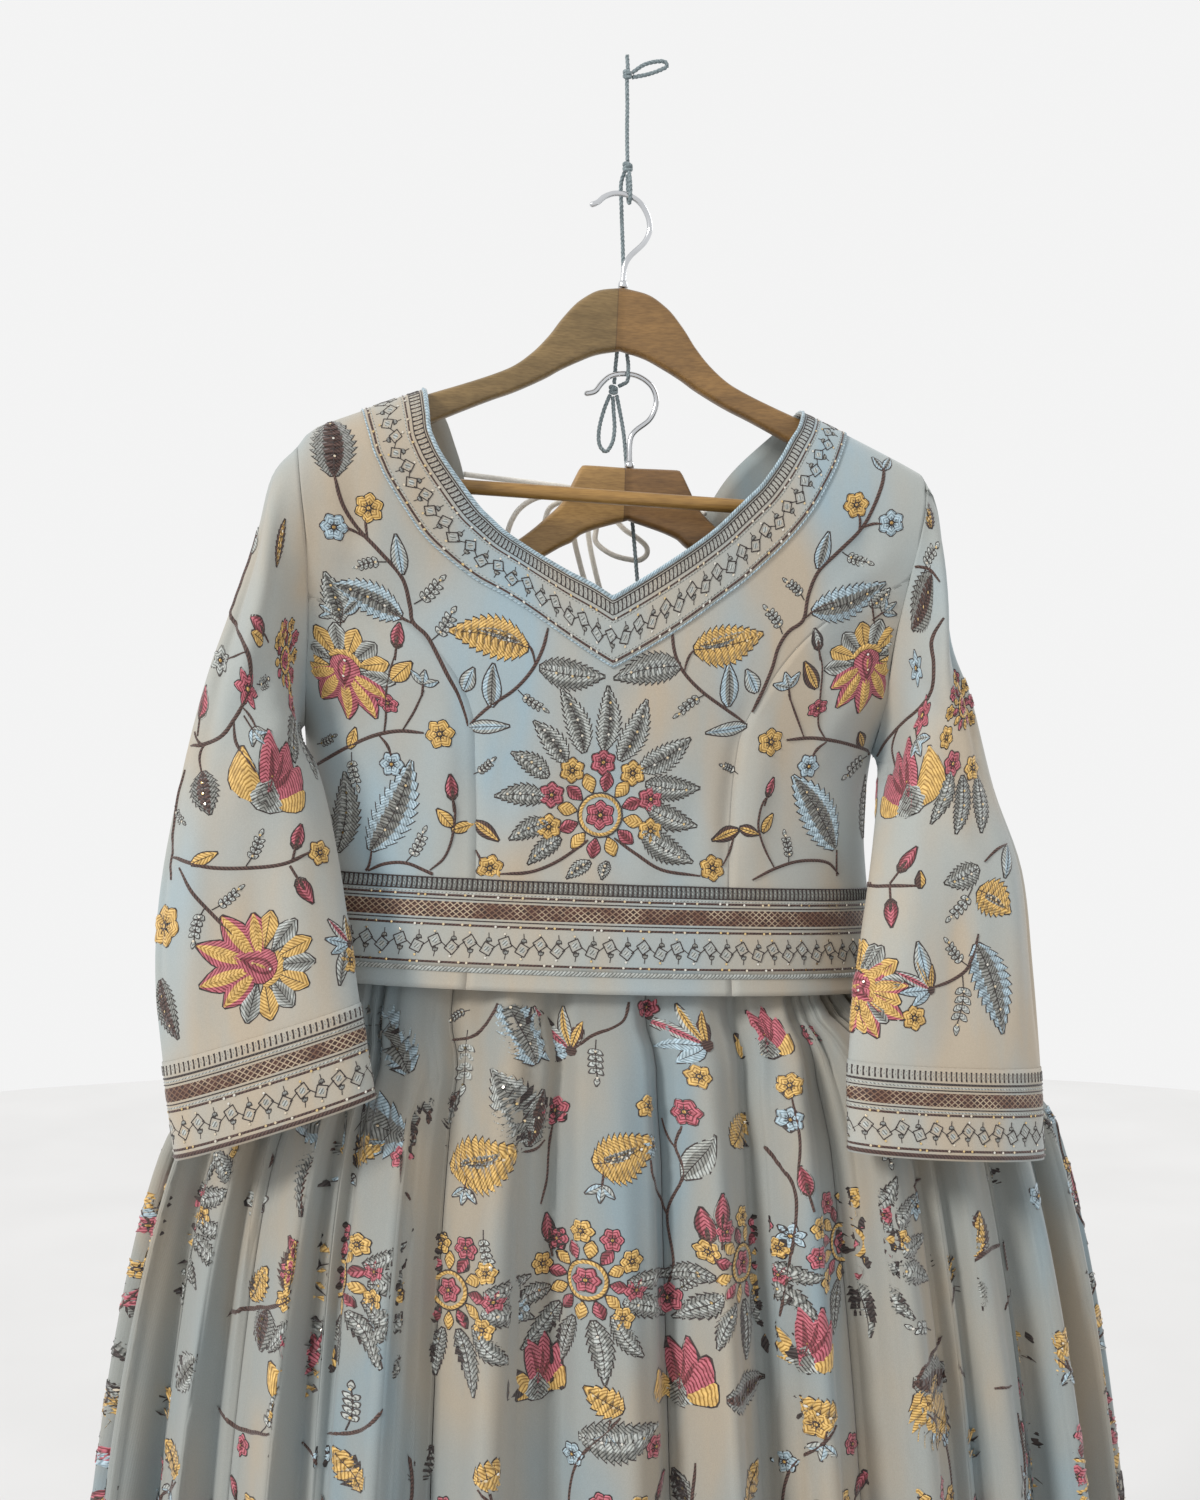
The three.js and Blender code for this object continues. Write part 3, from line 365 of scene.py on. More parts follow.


# Each hanger's right half gets darker colours than its left: painted shade where the arm faces away from
# the light. The bar has a single colour pair.
WOOD_1 = wood_look("wood_upper", [(112, 92, 58), (140, 116, 76)], [(112, 84, 48), (142, 108, 62)], 0.0,
                   0.047)
WOOD_2 = wood_look("wood_lower", [(142, 110, 64), (172, 136, 82)], [(100, 72, 40), (132, 98, 56)], 0.0068,
                   0.028)
WOOD_BAR = wood_look("wood_bar", [(140, 106, 54), (166, 128, 70)], [(140, 106, 54), (166, 128, 70)], 9.0,
                     0.0)


def chrome_look():
    look = Look("chrome", rough=0.16, metal=1.0)
    flat_colour(look, (205, 207, 210), 8, 40)
    smudge = look.noise(60, 3)
    look.rough(look.node("MapRange", {"Value": smudge, "From Min": 0.3, "From Max": 0.7, "To Min": 0.1,
                                      "To Max": 0.28}).outputs[0])
    return look.mat


def fibre_look(name, rgb, spread, sheen=0.2):
    look = Look(name, rough=0.9, sheen=sheen, spec=0.2)
    flat_colour(look, rgb, spread, 700)
    look.bump(look.noise(2600, 2), 0.5, 0.0003)
    return look.mat


CHROME = chrome_look()
STRING = fibre_look("twine", (120, 132, 136), 22)
DORI = fibre_look("dori", (240, 237, 229), 8, 0.5)


# ---------- meshes ----------
def piece(name, points, faces, mats, nodes=(), index=None, uv=None):
    """One mesh object in metres that rides on the body."""
    mesh = bpy.data.meshes.new(name)
    mesh.from_pydata((np.asarray(points) * 0.001).tolist(), [], faces)
    for mat in mats if isinstance(mats, (list, tuple)) else [mats]:
        mesh.materials.append(mat)
    if index is not None:
        mesh.polygons.foreach_set("material_index", np.asarray(index, np.int32))
    if uv is not None:
        layer = mesh.uv_layers.new(name="flat")
        loops = np.zeros(len(mesh.loops), np.int32)
        mesh.loops.foreach_get("vertex_index", loops)
        layer.data.foreach_set("uv", (np.asarray(uv) * 0.001)[loops].ravel())
    mesh.polygons.foreach_set("use_smooth", np.full(len(mesh.polygons), True))
    mesh.update()
    made = bpy.data.objects.new(name, mesh)
    bpy.context.collection.objects.link(made)
    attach(made, "root")
    if nodes:
        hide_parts(*nodes)
    return made


def grid_faces(rows, cols, wrap=False):
    r, c = np.meshgrid(np.arange(rows - 1), np.arange(cols if wrap else cols - 1), indexing="ij")
    d = (c + 1) % cols
    return np.stack([r * cols + c, (r + 1) * cols + c, (r + 1) * cols + d, r * cols + d], -1).reshape(-1, 4)


def doubled(points, normals, faces, low, high):
    """A closed wall between two offsets of an open surface."""
    n = len(points)
    both = np.vstack([points + normals * high, points + normals * low])
    edges = {}
    for f in faces:
        for a, b in zip(f, list(f[1:]) + [f[0]]):
            if a != b:
                key = (min(a, b), max(a, b))
                edges[key] = None if key in edges else (a, b)
    rim = [e for e in edges.values() if e]
    out = [tuple(f) for f in faces]
    out += [tuple(n + i for i in reversed(f)) for f in faces]
    out += [(b, a, a + n, b + n) for a, b in rim]
    return both, out


# ---------- the bodice ----------
def half(z):
    return read(BODY["z"], BODY["half"], z)


def shoulder_z(x):
    return np.interp(np.abs(x), SHOULDER["x"], SHOULDER["z"])


def to_u(x, z):
    return np.arcsin(np.clip((x - BODY_X) / half(z), -1, 1)) / (math.pi / 2)


def body_point(side, u, z):
    a = u * math.pi / 2
    x = BODY_X + half(z) * np.sin(a)
    drop = np.maximum(0, shoulder_z(x) - z)
    fade = 1 - smooth(drop / 150)
    depth = read(BODY["z"], BODY["front" if side < 0 else "back"], z)
    d = 9 * rise(drop / 6) * fade + depth * np.cos(a) * rise(drop / 110)
    return rolled(x, side * d - np.abs(x) * SWEEP * fade, z, ROLL_1, HOOK_1_AT)


def ridges(x, z, lines):
    """Sum of soft creases, each along a line of (x, z) points, with height, width and fade at its ends."""
    total = np.zeros(np.broadcast(x, z).shape)
    for points, height, width in lines:
        p = np.asarray(points, float)
        run = np.concatenate([[0], np.cumsum(np.linalg.norm(np.diff(p, axis=0), axis=1))])
        best = np.full(total.shape, 1e9)
        along = np.zeros(total.shape)
        for i in range(len(p) - 1):
            d = p[i + 1] - p[i]
            t = np.clip(((x - p[i, 0]) * d[0] + (z - p[i, 1]) * d[1]) / (d @ d), 0, 1)
            far = np.hypot(x - p[i, 0] - t * d[0], z - p[i, 1] - t * d[1])
            near = far < best
            best = np.where(near, far, best)
            along = np.where(near, (run[i] + t * (run[i + 1] - run[i])) / run[-1], along)
        total += height * np.exp(-((best / width) ** 2)) * np.sin(math.pi
                                                                  * np.clip(along, 0.02, 0.98)) ** 0.7
    return total


class Chart:
    """A fine grid over one surface: places, normals and lengths along its rows and columns."""

    def __init__(self, place, cols, rows, outward, crease=None, wrap=False, period=None):
        self.cols, self.rows, self.wrap = np.asarray(cols, float), np.asarray(rows, float), wrap
        self.period = period
        self.turn = 1.0 if self.rows[-1] > self.rows[0] else -1.0
        c, r = np.meshgrid(self.cols, self.rows)
        self.base = place
        self.flat = place(c, r)
        self.outward = outward
        normal = self.normals(self.flat)
        self.depth = crease(c, r, self.flat) if crease else np.zeros(c.shape)
        self.points = self.flat + normal * self.depth[..., None]
        self.lean = normal
        self.normal = self.normals(self.points)
        self.measure_across(self.points)
        step = np.linalg.norm(np.diff(self.points, axis=0), axis=-1)
        self.fall = np.concatenate([np.zeros((1, len(cols))), np.cumsum(step, axis=0)], 0)

    def measure_across(self, points):
        step = np.linalg.norm(np.diff(points, axis=1), axis=-1)
        self.run = np.concatenate([np.zeros((len(points), 1)), np.cumsum(step, axis=1)], 1)

    def normals(self, p):
        across, down = np.gradient(p, axis=1), np.gradient(p, axis=0)
        if self.wrap:
            across[:, 0] = across[:, -1] = (p[:, 1] - p[:, -2]) / 2
        n = unit(np.cross(across, down))
        out = self.outward(p)
        return np.where(np.sum(n * out, -1, keepdims=True) < 0, -n, n)

    def spot(self, c, r):
        """Grid cell and weights for parameter values."""
        if self.period:
            c = self.cols[0] + np.mod(c - self.cols[0], self.period)
        fc = np.interp(c, self.cols, np.arange(len(self.cols)))
        fr = np.interp(self.turn * r, self.turn * self.rows, np.arange(len(self.rows)))
        i, j = np.clip(fr.astype(int), 0, len(self.rows) - 2), np.clip(fc.astype(int), 0,
                                                                       len(self.cols) - 2)
        return i, j, fr - i, fc - j

    def sample(self, field, c, r):
        i, j, t, s = self.spot(c, r)
        if field.ndim == 3:
            t, s = t[..., None], s[..., None]
        top = field[i, j] * (1 - s) + field[i, j + 1] * s
        low = field[i + 1, j] * (1 - s) + field[i + 1, j + 1] * s
        return top * (1 - t) + low * t

    def length_at(self, c, r):
        """Length along a row, counted on past the seam of a round chart."""
        c, r = np.asarray(c, float), np.asarray(r, float)
        here = self.sample(self.run, c, r)
        if not self.period:
            return here
        whole = self.sample(self.run, np.full(c.shape, self.cols[0] + self.period - 1e-6), r)
        return here + np.floor((c - self.cols[0]) / self.period) * whole

    def drop_at(self, c, r):
        return self.sample(self.fall, np.asarray(c, float), np.asarray(r, float))

    def at(self, c, r, exact=False):
        if exact:
            return self.base(c, r) + self.sample(self.lean, c, r) * self.sample(self.depth, c, r)[..., None]
        return self.sample(self.points, c, r)

    def locate(self, px, py):
        """Parameter values of the visible surface point at a place in the frame."""
        if not hasattr(self, "seen"):
            self.seen = to_frame(self.points)
            facing = np.sum(self.normal * (EYE - self.points), -1) > 0
            self.seen[~facing] = 1e6
            self.reach = (self.points - EYE) @ AHEAD
        far = np.hypot(self.seen[..., 0] - px, self.seen[..., 1] - py)
        near = np.where(far < far.min() + 4.0, self.reach + 2.0 * far, 1e9)
        i, j = np.unravel_index(np.argmin(near), far.shape)
        c, r = self.cols[j], self.rows[i]
        first = (float(c), float(r))
        for _ in range(6):
            h, k = 1e-3 * (self.cols[-1] - self.cols[0]), 1e-3 * (self.rows[-1] - self.rows[0])
            c0, r0 = np.array([c, c + h, c]), np.array([r, r, r + k])
            q = to_frame(self.sample(self.points, c0, r0))
            m = np.array([(q[1] - q[0]) / h, (q[2] - q[0]) / k]).T
            if abs(np.linalg.det(m)) < 1e-6:
                break
            step = np.linalg.solve(m, np.array([px, py]) - q[0])
            c = np.clip(c + np.clip(step[0], -8 * abs(h), 8 * abs(h)), self.cols.min(), self.cols.max())
            r = np.clip(r + np.clip(step[1], -8 * abs(k), 8 * abs(k)), self.rows.min(), self.rows.max())
        left = np.hypot(*(to_frame(self.sample(self.points, np.array([c]), np.array([r])))[0] - (px, py)))
        if left > far[i, j] or abs(c - first[0]) > 0.02 * (self.cols[-1] - self.cols[0]):
            return first
        return float(c), float(r)

    def drape(self, c0, r0, a, b):
        """Parameter values of flat-cloth offsets: a across and b down, in mm, from one place."""
        a, b = np.asarray(a, float), np.asarray(b, float)
        j = np.interp(c0, self.cols, np.arange(len(self.cols)))
        k = min(int(j), len(self.cols) - 2)
        fall = self.fall[:, k] * (1 - (j - k)) + self.fall[:, k + 1] * (j - k)
        level = np.interp(self.turn * r0, self.turn * self.rows, fall)
        r = np.interp(level + b, fall, self.rows)
        start = self.length_at(np.full(r.shape, float(c0)), r)
        c = np.full(r.shape, float(c0))
        h = (self.cols[-1] - self.cols[0]) * 2e-3
        for _ in range(7):
            here = self.length_at(c, r) - start
            slope = (self.length_at(c + h, r) - self.length_at(c - h, r)) / (2 * h)
            c = c + np.clip((a - here) / np.maximum(slope, 1e-3), -20 * h, 20 * h)
            if not self.period:
                c = np.clip(c, self.cols[0], self.cols[-1])
        return c, r


def away_from(point, upright=0.2):
    centre = np.asarray(point, float)
    return lambda p: (p - centre) * (1, 1, upright)


FRONT_CREASES = [
    ([(-104, -340), (-97, -372), (-93, -420), (-90, -470)], -2.2, 7),
    ([(-118, -350), (-110, -390), (-108, -450)], 1.6, 10),
    ([(86, -340), (79, -380), (77, -420), (78, -468)], -2.2, 7),
    ([(100, -350), (95, -400), (94, -455)], 1.6, 10), ([(-60, -400), (-62, -440), (-60, -470)], 1.2, 9),
    ([(-26, -380), (-24, -430), (-28, -470)], -1.0, 10), ([(20, -390), (22, -430), (20, -470)], 1.1, 10),
    ([(52, -395), (50, -440), (54, -470)], -1.0, 9), ([(-190, -250), (-160, -270), (-130, -300)], 1.6, 9),
    ([(-192, -290), (-165, -305), (-142, -335)], -1.6, 9),
    ([(-188, -330), (-165, -350), (-140, -395)], 1.4, 10),
    ([(180, -240), (155, -262), (128, -295)], 1.5, 9), ([(182, -285), (158, -300), (128, -330)], -1.5, 9),
    ([(180, -325), (158, -345), (130, -390)], 1.4, 10),
    ([(-180, -205), (-172, -245), (-176, -290)], -1.6, 9),
    ([(165, -205), (160, -240), (166, -280)], -1.4, 9),
    ([(-40, -335), (-10, -350), (25, -338)], -0.8, 12),
]
BACK_CREASES = [([(-110, -340), (-100, -400), (-95, -470)], -2.4, 9),
                ([(105, -340), (92, -400), (88, -470)], -2.4, 9),
                ([(-60, -350), (-50, -420), (-52, -470)], 1.5, 11),
                ([(45, -350), (40, -420), (44, -470)], 1.5, 11),
                ([(-5, -345), (-2, -400), (-6, -470)], -1.2, 12),
                ([(-185, -250), (-150, -285), (-120, -330)], 1.8, 10),
                ([(176, -250), (145, -285), (112, -330)], 1.8, 10),
                ([(-180, -320), (-150, -350), (-125, -400)], -1.6, 10),
                ([(172, -320), (145, -350), (118, -400)], -1.6, 10)]


def body_chart(side, creases):
    def crease(u, z, flat):
        x = BODY_X + half(z) * np.sin(u * math.pi / 2)
        there = 1.7 * ridges(x, z,
                             creases) + 0.5 * np.sin(x / 21 + 1.3 * np.sin(z / 37)) * np.sin(z / 52 + x
                                                                                             / 60)
        return there * smooth((shoulder_z(x) - z - 10) / 40) * smooth((475 + z) / 12 + 0.15)

    return Chart(lambda u, z: body_point(side, u, z), np.linspace(-1, 1, 281), np.linspace(-138, -545, 204),
                 away_from((-20, 0, -420)), crease)


FRONT = body_chart(-1, FRONT_CREASES)
REAR = body_chart(1, BACK_CREASES)


def level_at(x, z):
    return z if z < 0 else float(shoulder_z(x)) - max(z, 0.001)


def follow_shoulder(points, drop):
    out = []
    for u, z in points:
        x = BODY_X + float(half(z)) * math.sin(u * math.pi / 2)
        level = level_at(x, drop)
        out.append((float(to_u(x, level)), level))
    return out


def arm_z(i):
    return -284 + 88 * math.cos(math.radians(ARM_ANGLES[i]))


def armhole_point(i, hand):
    if i == 0:
        x = BODY_X + hand * float(np.interp(196, [-z for z in ARMHOLE["z"]], ARMHOLE["half"]))
        return (float(to_u(x, -196)), -196)
    if i == len(ARM_ANGLES) - 1:
        return (hand, arm_z(i))
    x = BODY_X + hand * float(np.interp(-arm_z(i), [-z for z in ARMHOLE["z"]], ARMHOLE["half"]))
    return (float(to_u(x, arm_z(i))), arm_z(i))


def column(points, counts, dip=1.0):
    rows = [points[0]]
    for i, p in enumerate(points[1:]):
        a = points[i]
        for r in range(1, counts[i] + 1):
            t = r / counts[i]
            rows.append(p if t == 1 else (a[0] + (p[0] - a[0]) * t, a[1] + (p[1] - a[1]) * t ** dip))
    return rows


def front_low_ends():
    seam = [[(float(to_u(x, z)), z) for x, z in zip(t["x"], t["z"])] for t in (PRINCESS_L, PRINCESS_R)]
    left = [armhole_point(i, -1) for i in (0, 1, 2, 3, 4, 5)]
    right = [armhole_point(i, 1) for i in (4, 3, 2, 1, 0)]
    hem = [(float(to_u(x, -474)), -474) for x in FRONT_HEM_X]
    return left + seam[0] + hem + seam[1][::-1] + right


def neck_columns():
    out = []
    for ax, az, bx, bz in zip(NECK["in_x"], NECK["in_z"], NECK["out_x"], NECK["out_z"]):
        za, zb = level_at(ax, az), level_at(bx, bz)
        out.append([(float(to_u(ax, za)), za), (float(to_u(bx, zb)), zb)])
    return out


def dense_line(points, corners):
    """A smooth line with six steps between points, sharp at the corners."""
    p = np.asarray(points, float)
    breaks = [0, 1, *[k for k in corners if 1 < k < len(p) - 2], len(p) - 2, len(p) - 1]
    parts = [catmull(p[a:b + 1], np.linspace(0, b - a, (b - a) * 6 + 1))[:-1] if b - a > 1
             else p[a] + (p[b] - p[a]) * np.arange(6)[:, None] / 6 for a, b in zip(breaks[:-1], breaks[1:])]
    return np.vstack(parts + [p[-1:]])


def dense_columns(lines, corners, counts, drops, dip=1.0):
    """Fine columns of (u, z) between smooth lines; the outer ones follow the shoulder line."""
    fine = [dense_line(line, turns) for line, turns in zip(lines, corners)]
    total = sum(counts)

    def make(points):
        return np.array(column([tuple(p) for p in points], counts, dip))

    out = np.array([make([line[i] for line in fine]) for i in range(len(fine[0]))])
    coarse = [make([line[i] for line in lines]) for i in (0, 1, 2, -3, -2, -1)]
    for at, step in ((0, 1), (len(out) - 1, -1)):
        near = coarse[2] if step > 0 else coarse[3]
        tip = coarse[0] if step > 0 else coarse[5]
        last = coarse[1] if step > 0 else coarse[4]
        edge = np.array(follow_shoulder(last, drops[1]))
        for k in range(6):
            share = k / 6
            out[at + step * k] = follow_shoulder(tip * (1 - share) + last * share, drops[1] * share)
            out[at + step * (6 + k)] = edge + (near - edge) * share
    assert out.shape[1] == total + 1
    return out


BORDER_ZS = [-474, -523, -537]


def shell(name, chart, grids, mat, node, off=(-0.5, 0.5), exact=True):
    """A thin wall over one or more grids of (c, r) on a chart; coinciding points are joined."""
    keys, points, faces = {}, [], []
    for grid in grids:
        grid = np.asarray(grid, float)
        rows, cols = grid.shape[:2]
        index = np.zeros((rows, cols), int)
        for i in range(rows):
            for j in range(cols):
                key = (round(grid[i, j, 0] * 2e4), round(grid[i, j, 1] * 20))
                if key not in keys:
                    keys[key] = len(points)
                    points.append(grid[i, j])
                index[i, j] = keys[key]
        for i in range(rows - 1):
            for j in range(cols - 1):
                f = [index[i, j], index[i + 1, j], index[i + 1, j + 1], index[i, j + 1]]
                f = [v for k, v in enumerate(f) if v != f[k - 1]]
                if len(f) > 2:
                    faces.append(tuple(int(v) for v in f))
    params = np.array(points)
    place = chart.at(params[:, 0], params[:, 1], exact)
    normal = unit(chart.sample(chart.normal, params[:, 0], params[:, 1]))
    first = np.array([place[f[1]] - place[f[0]] for f in faces[:50]])
    second = np.array([place[f[2]] - place[f[0]] for f in faces[:50]])
    turned = np.sum(np.cross(first, second) * np.array([normal[f[0]] for f in faces[:50]])) < 0
    if turned:
        faces = [f[::-1] for f in faces]
    uv = np.stack([chart.sample(chart.run, params[:, 0], params[:, 1]),
                   chart.sample(chart.fall, params[:, 0], params[:, 1])], -1)
    both, closed = doubled(place, normal, faces, *off)
    made = piece(name, both, closed, mat, (node,), uv=np.vstack([uv, uv]))
    return made


LOW = front_low_ends()
NECK_COLS = neck_columns()
NECK_IN, NECK_OUT = [c[0] for c in NECK_COLS], [c[1] for c in NECK_COLS]
front_grid = dense_columns([NECK_IN, NECK_OUT, LOW], [(16,), (16,), (6, 13, 19, 26)], [8, 26], NECK["in_z"])


def border_grid(ends, parts, zs=BORDER_ZS):
    """Rows of (u, z) straight down from a row of ends."""
    ends = np.asarray(ends, float)
    rows = []
    for a, b, n in zip(zs[:-1], zs[1:], parts):
        rows += [a + (b - a) * k / n for k in range(n)]
    rows.append(zs[-1])
    return np.stack([np.stack([ends[:, 0], np.full(len(ends), z)], -1) for z in rows], 1)


def near_span(grid, first, last):
    """Lower ends of a grid between two u values at the border's top."""
    ends = grid[:, -1]
    keep = (np.abs(ends[:, 1] + 474) < 0.05) & (ends[:, 0] > first - 1e-4) & (ends[:, 0] < last + 1e-4)
    return ends[keep]


hem_ends = near_span(front_grid, float(to_u(-86.5, -474)), float(to_u(80, -474)))
shell("cloth_front", FRONT, [front_grid, border_grid(hem_ends, [10, 4])], CLOTH_BLUE,
      "blouse_front")


def side_front(table, hand, first_arm):
    seam = [(float(to_u(x, z)), z) for x, z in zip(table["x"], table["z"])]
    edge = [(hand, z) if z else armhole_point(first_arm + 1 + i, hand) for i, z in enumerate(table["side"])]
    tip = armhole_point(first_arm, hand)
    rows = np.array([column([p, q], [3], 0.7) for p, q in zip(seam, edge)])
    at = np.linspace(0, len(rows) - 1, (len(rows) - 1) * 6 + 1)
    fine = catmull(rows, at)
    cells = []
    for i in range(3):
        cells += [fine[:, i] + (fine[:, i + 1] - fine[:, i]) * k / 10 for k in range(10)]
    cells.append(fine[:, -1])
    grid = np.stack(cells, 1)
    head = np.array([[np.asarray(tip) + (p - np.asarray(tip)) * k / 6 for p in grid[0]] for k in range(7)])
    return [head, grid, border_grid(grid[-1], [10, 4]).transpose(1, 0, 2)]


side_left, side_right = side_front(PRINCESS_L, -1, 5), side_front(PRINCESS_R, 1, 4)
shell("cloth_side_front_left", FRONT, side_left, CLOTH_BLUE, "blouse_side_front_left")
shell("cloth_side_front_right", FRONT, side_right, CLOTH_BLUE, "blouse_side_front_right")


def back_lines():
    def make(i, x, hand):
        z = level_at(x, BACK_NECK["z"][i])
        last = armhole_point(i, hand) if i < len(ARM_ANGLES) else (hand * BACK_NECK["u"][i],
                                                                   BACK_NECK["side"][i])
        return (float(to_u(x, z)), z), last

    left = [make(i, x, -1) for i, x in enumerate(BACK_NECK["left"])]
    right = [make(i, x, 1) for i, x in enumerate(BACK_NECK["right"])][::-1]
    both = left + right[1:]
    return [p[0] for p in both], [p[1] for p in both]


back_grid = dense_columns(back_lines(), [(), (8, 11, 21, 24)], [30], BACK_NECK["z"], 0.5)
shell("cloth_back", REAR, [back_grid, border_grid(near_span(back_grid, -1, 1), [10, 4])], CLOTH_BLUE,
      "blouse_back")

band_grid = dense_columns([NECK_IN, NECK_OUT], [(16,), (16,)], [8], NECK["in_z"])
shell("cloth_neck_band", FRONT, [band_grid], CLOTH_BLUE, "blouse_neck_band",
      off=(0.62, 1.15))


# ---------- sleeves ----------
def sleeve_points(table, hand, exact_angles):
    """Rings of a sleeve at CAD rows, each round from the shoulder down the front and up the back."""
    outer, inner = np.array(table["outer"], float), np.array(table["inner"], float)
    front = [(a, -1) for a in exact_angles]
    rear = [(a, 1) for a in exact_angles[1:-1][::-1]]
    rings = []
    for row in range(len(outer)):
        middle, reach = (outer[row] + inner[row]) / 2, (outer[row] - inner[row]) / 2
        turn = math.radians(SLEEVE_TURN[row])
        forward = np.array([hand * math.sin(turn), -math.cos(turn), 0])
        ring = []
        for angle, side in front + rear:
            a = math.radians(angle)
            ring.append(middle + reach * math.cos(a) - forward * side * SLEEVE_DEPTH[row] * math.sin(a))
        rings.append(ring)
    rings = np.array(rings)
    loop = []
    for angle, side in front + rear:
        z = -284 + 88 * math.cos(math.radians(angle))
        x = BODY_X + hand * float(np.interp(-z, [-v for v in ARMHOLE["z"]], ARMHOLE["half"]))
        u = hand if angle == 180 else float(to_u(x, z))
        loop.append(body_point(side, np.float64(u), np.float64(z)))
    gap = np.array(loop) - rings[0]
    share = np.maximum(0, 1 - np.arange(len(rings)) / 3) ** 2
    return rings + gap[None] * share[:, None, None]


SLEEVE_ROWS = 10
SLEEVE_CREASES = {
    -1: [([(2.2, 0.4), (3.4, 2.2), (4.0, 4.0)], 3.0, 0.45),
         ([(1.0, 1.0), (2.2, 3.2), (3.0, 5.2)], -2.6, 0.45),
         ([(5.6, 1.6), (4.6, 3.2), (3.4, 4.4)], -2.4, 0.4),
         ([(6.8, 2.4), (5.2, 4.2), (4.0, 5.2)], 2.4, 0.4),
         ([(3.0, 5.0), (3.4, 6.6), (3.2, 8.6)], 2.0, 0.5),
         ([(5.0, 5.4), (5.2, 7.0), (5.4, 8.8)], -1.8, 0.5),
         ([(6.4, 4.6), (6.2, 6.4), (6.6, 8.6)], 1.8, 0.5),
         ([(1.4, 4.4), (1.6, 6.4), (1.8, 8.6)], -1.6, 0.5)],
    1: [([(2.4, 0.4), (3.2, 2.0), (4.2, 4.2)], 3.0, 0.45),
        ([(1.2, 0.8), (2.0, 3.0), (3.2, 5.4)], -2.6, 0.45),
        ([(5.8, 1.4), (4.8, 3.0), (3.6, 4.6)], -2.2, 0.4),
        ([(6.6, 2.8), (5.4, 4.0), (4.2, 5.6)], 2.4, 0.4),
        ([(3.2, 4.8), (3.0, 6.8), (3.4, 8.6)], 2.0, 0.5),
        ([(4.8, 5.6), (5.0, 7.2), (5.2, 8.8)], -1.8, 0.5),
        ([(6.2, 4.4), (6.4, 6.6), (6.2, 8.6)], 1.8, 0.5),
        ([(1.6, 4.6), (1.4, 6.2), (1.6, 8.6)], -1.6, 0.5)],
}


CAP_RIGHT = {"y": [-59, -57.4, -54.9, -48.3, -43.9, -35.9, -30, -23.9, -17.8, -15.4, -13.5],
             "lift": [0, 2.9, 6.3, 10.3, 11.4, 12.4, 12.3, 11.3, 8.0, 4.8, 0]}


def sleeve_chart(table, hand):
    rings = sleeve_points(table, hand, ARM_ANGLES)
    n = rings.shape[1]
    looped = np.concatenate([rings[:, -2:], rings, rings[:, :3]], 1)
    fine_rows = catmull(looped, np.linspace(0, SLEEVE_ROWS - 1, 145))
    round_at = np.linspace(0, n, 161)
    fine = catmull(fine_rows.transpose(1, 0, 2), round_at + 2).transpose(1, 0, 2)
    cols, rows = round_at, np.linspace(0, SLEEVE_ROWS - 1, 145)

    def place(c, r):
        i = np.clip(np.interp(r, rows, np.arange(len(rows))), 0, len(rows) - 1.001)
        j = np.clip(np.interp(c, cols, np.arange(len(cols))), 0, len(cols) - 1.001)
        i0, j0 = i.astype(int), j.astype(int)
        t, s = (i - i0)[..., None], (j - j0)[..., None]
        p = ((fine[i0, j0] * (1 - s) + fine[i0, j0 + 1] * s) * (1 - t)
             + (fine[i0 + 1, j0] * (1 - s) + fine[i0 + 1, j0 + 1] * s) * t)
        if hand > 0:
            lift = np.interp(p[..., 1], CAP_RIGHT["y"], CAP_RIGHT["lift"])
            lift = lift * (1 - smooth(r / 0.8)) * smooth((p[..., 2] + 330) / 30)
            p = p + lift[..., None] * np.array([0, 0, 1.0])
        return p

    spine = fine.mean(1)

    def outward(p):
        return p - spine[:, None, :]

    def crease(c, r, flat):
        lines = SLEEVE_CREASES[hand]
        there = 1.5 * ridges(c, r, lines) + 1.5 * ridges(c - n, r, lines) + ridges(16.5 - c, r, lines) * 1.2
        return there * smooth(r / 1.2) * smooth((8.3 - r) / 1.0)

    return Chart(place, cols, rows, outward, crease, wrap=True, period=16)


SLEEVE_CHARTS = {"left": sleeve_chart(SLEEVE_L, -1), "right": sleeve_chart(SLEEVE_R, 1)}


def sleeve_grid(first, last, rows):
    cols = np.linspace(0, 16, 129)
    return np.array([[(c, r) for c in cols] for r in np.linspace(first, last, rows)])


def tube_shell(name, chart, first, last, rows, mat, node, off):
    """A round wall on a sleeve; its last column joins its first."""
    grid = sleeve_grid(first, last, rows)[:, :-1]
    place = chart.at(grid[..., 0], grid[..., 1])
    normal = unit(chart.sample(chart.normal, grid[..., 0], grid[..., 1]))
    if first == 0:
        down = unit(place[1] - place[0])
        low = np.sin(np.radians(np.interp(grid[0, :, 0], np.arange(17), ring_angles()) / 2)) ** 8
        place[0] += down * (0.4 + 1.2 * low)[:, None]
    rows_n, cols_n = grid.shape[:2]
    faces = [tuple(int(v) for v in f) for f in grid_faces(rows_n, cols_n, True)]
    flat_points, flat_normals = place.reshape(-1, 3), normal.reshape(-1, 3)
    f = faces[len(faces) // 2]
    cross = np.cross(flat_points[f[1]] - flat_points[f[0]], flat_points[f[2]] - flat_points[f[0]])
    if cross @ flat_normals[f[0]] < 0:
        faces = [f[::-1] for f in faces]
    uv = np.stack([chart.sample(chart.run, grid[..., 0], grid[..., 1]),
                   chart.sample(chart.fall, grid[..., 0], grid[..., 1])], -1).reshape(-1, 2)
    both, closed = doubled(flat_points, flat_normals, faces, *off)
    made = piece(name, both, closed, mat, (node,), uv=np.vstack([uv, uv]))
    return made


def ring_angles():
    return ARM_ANGLES + [360 - a for a in ARM_ANGLES[1:-1][::-1]] + [360]


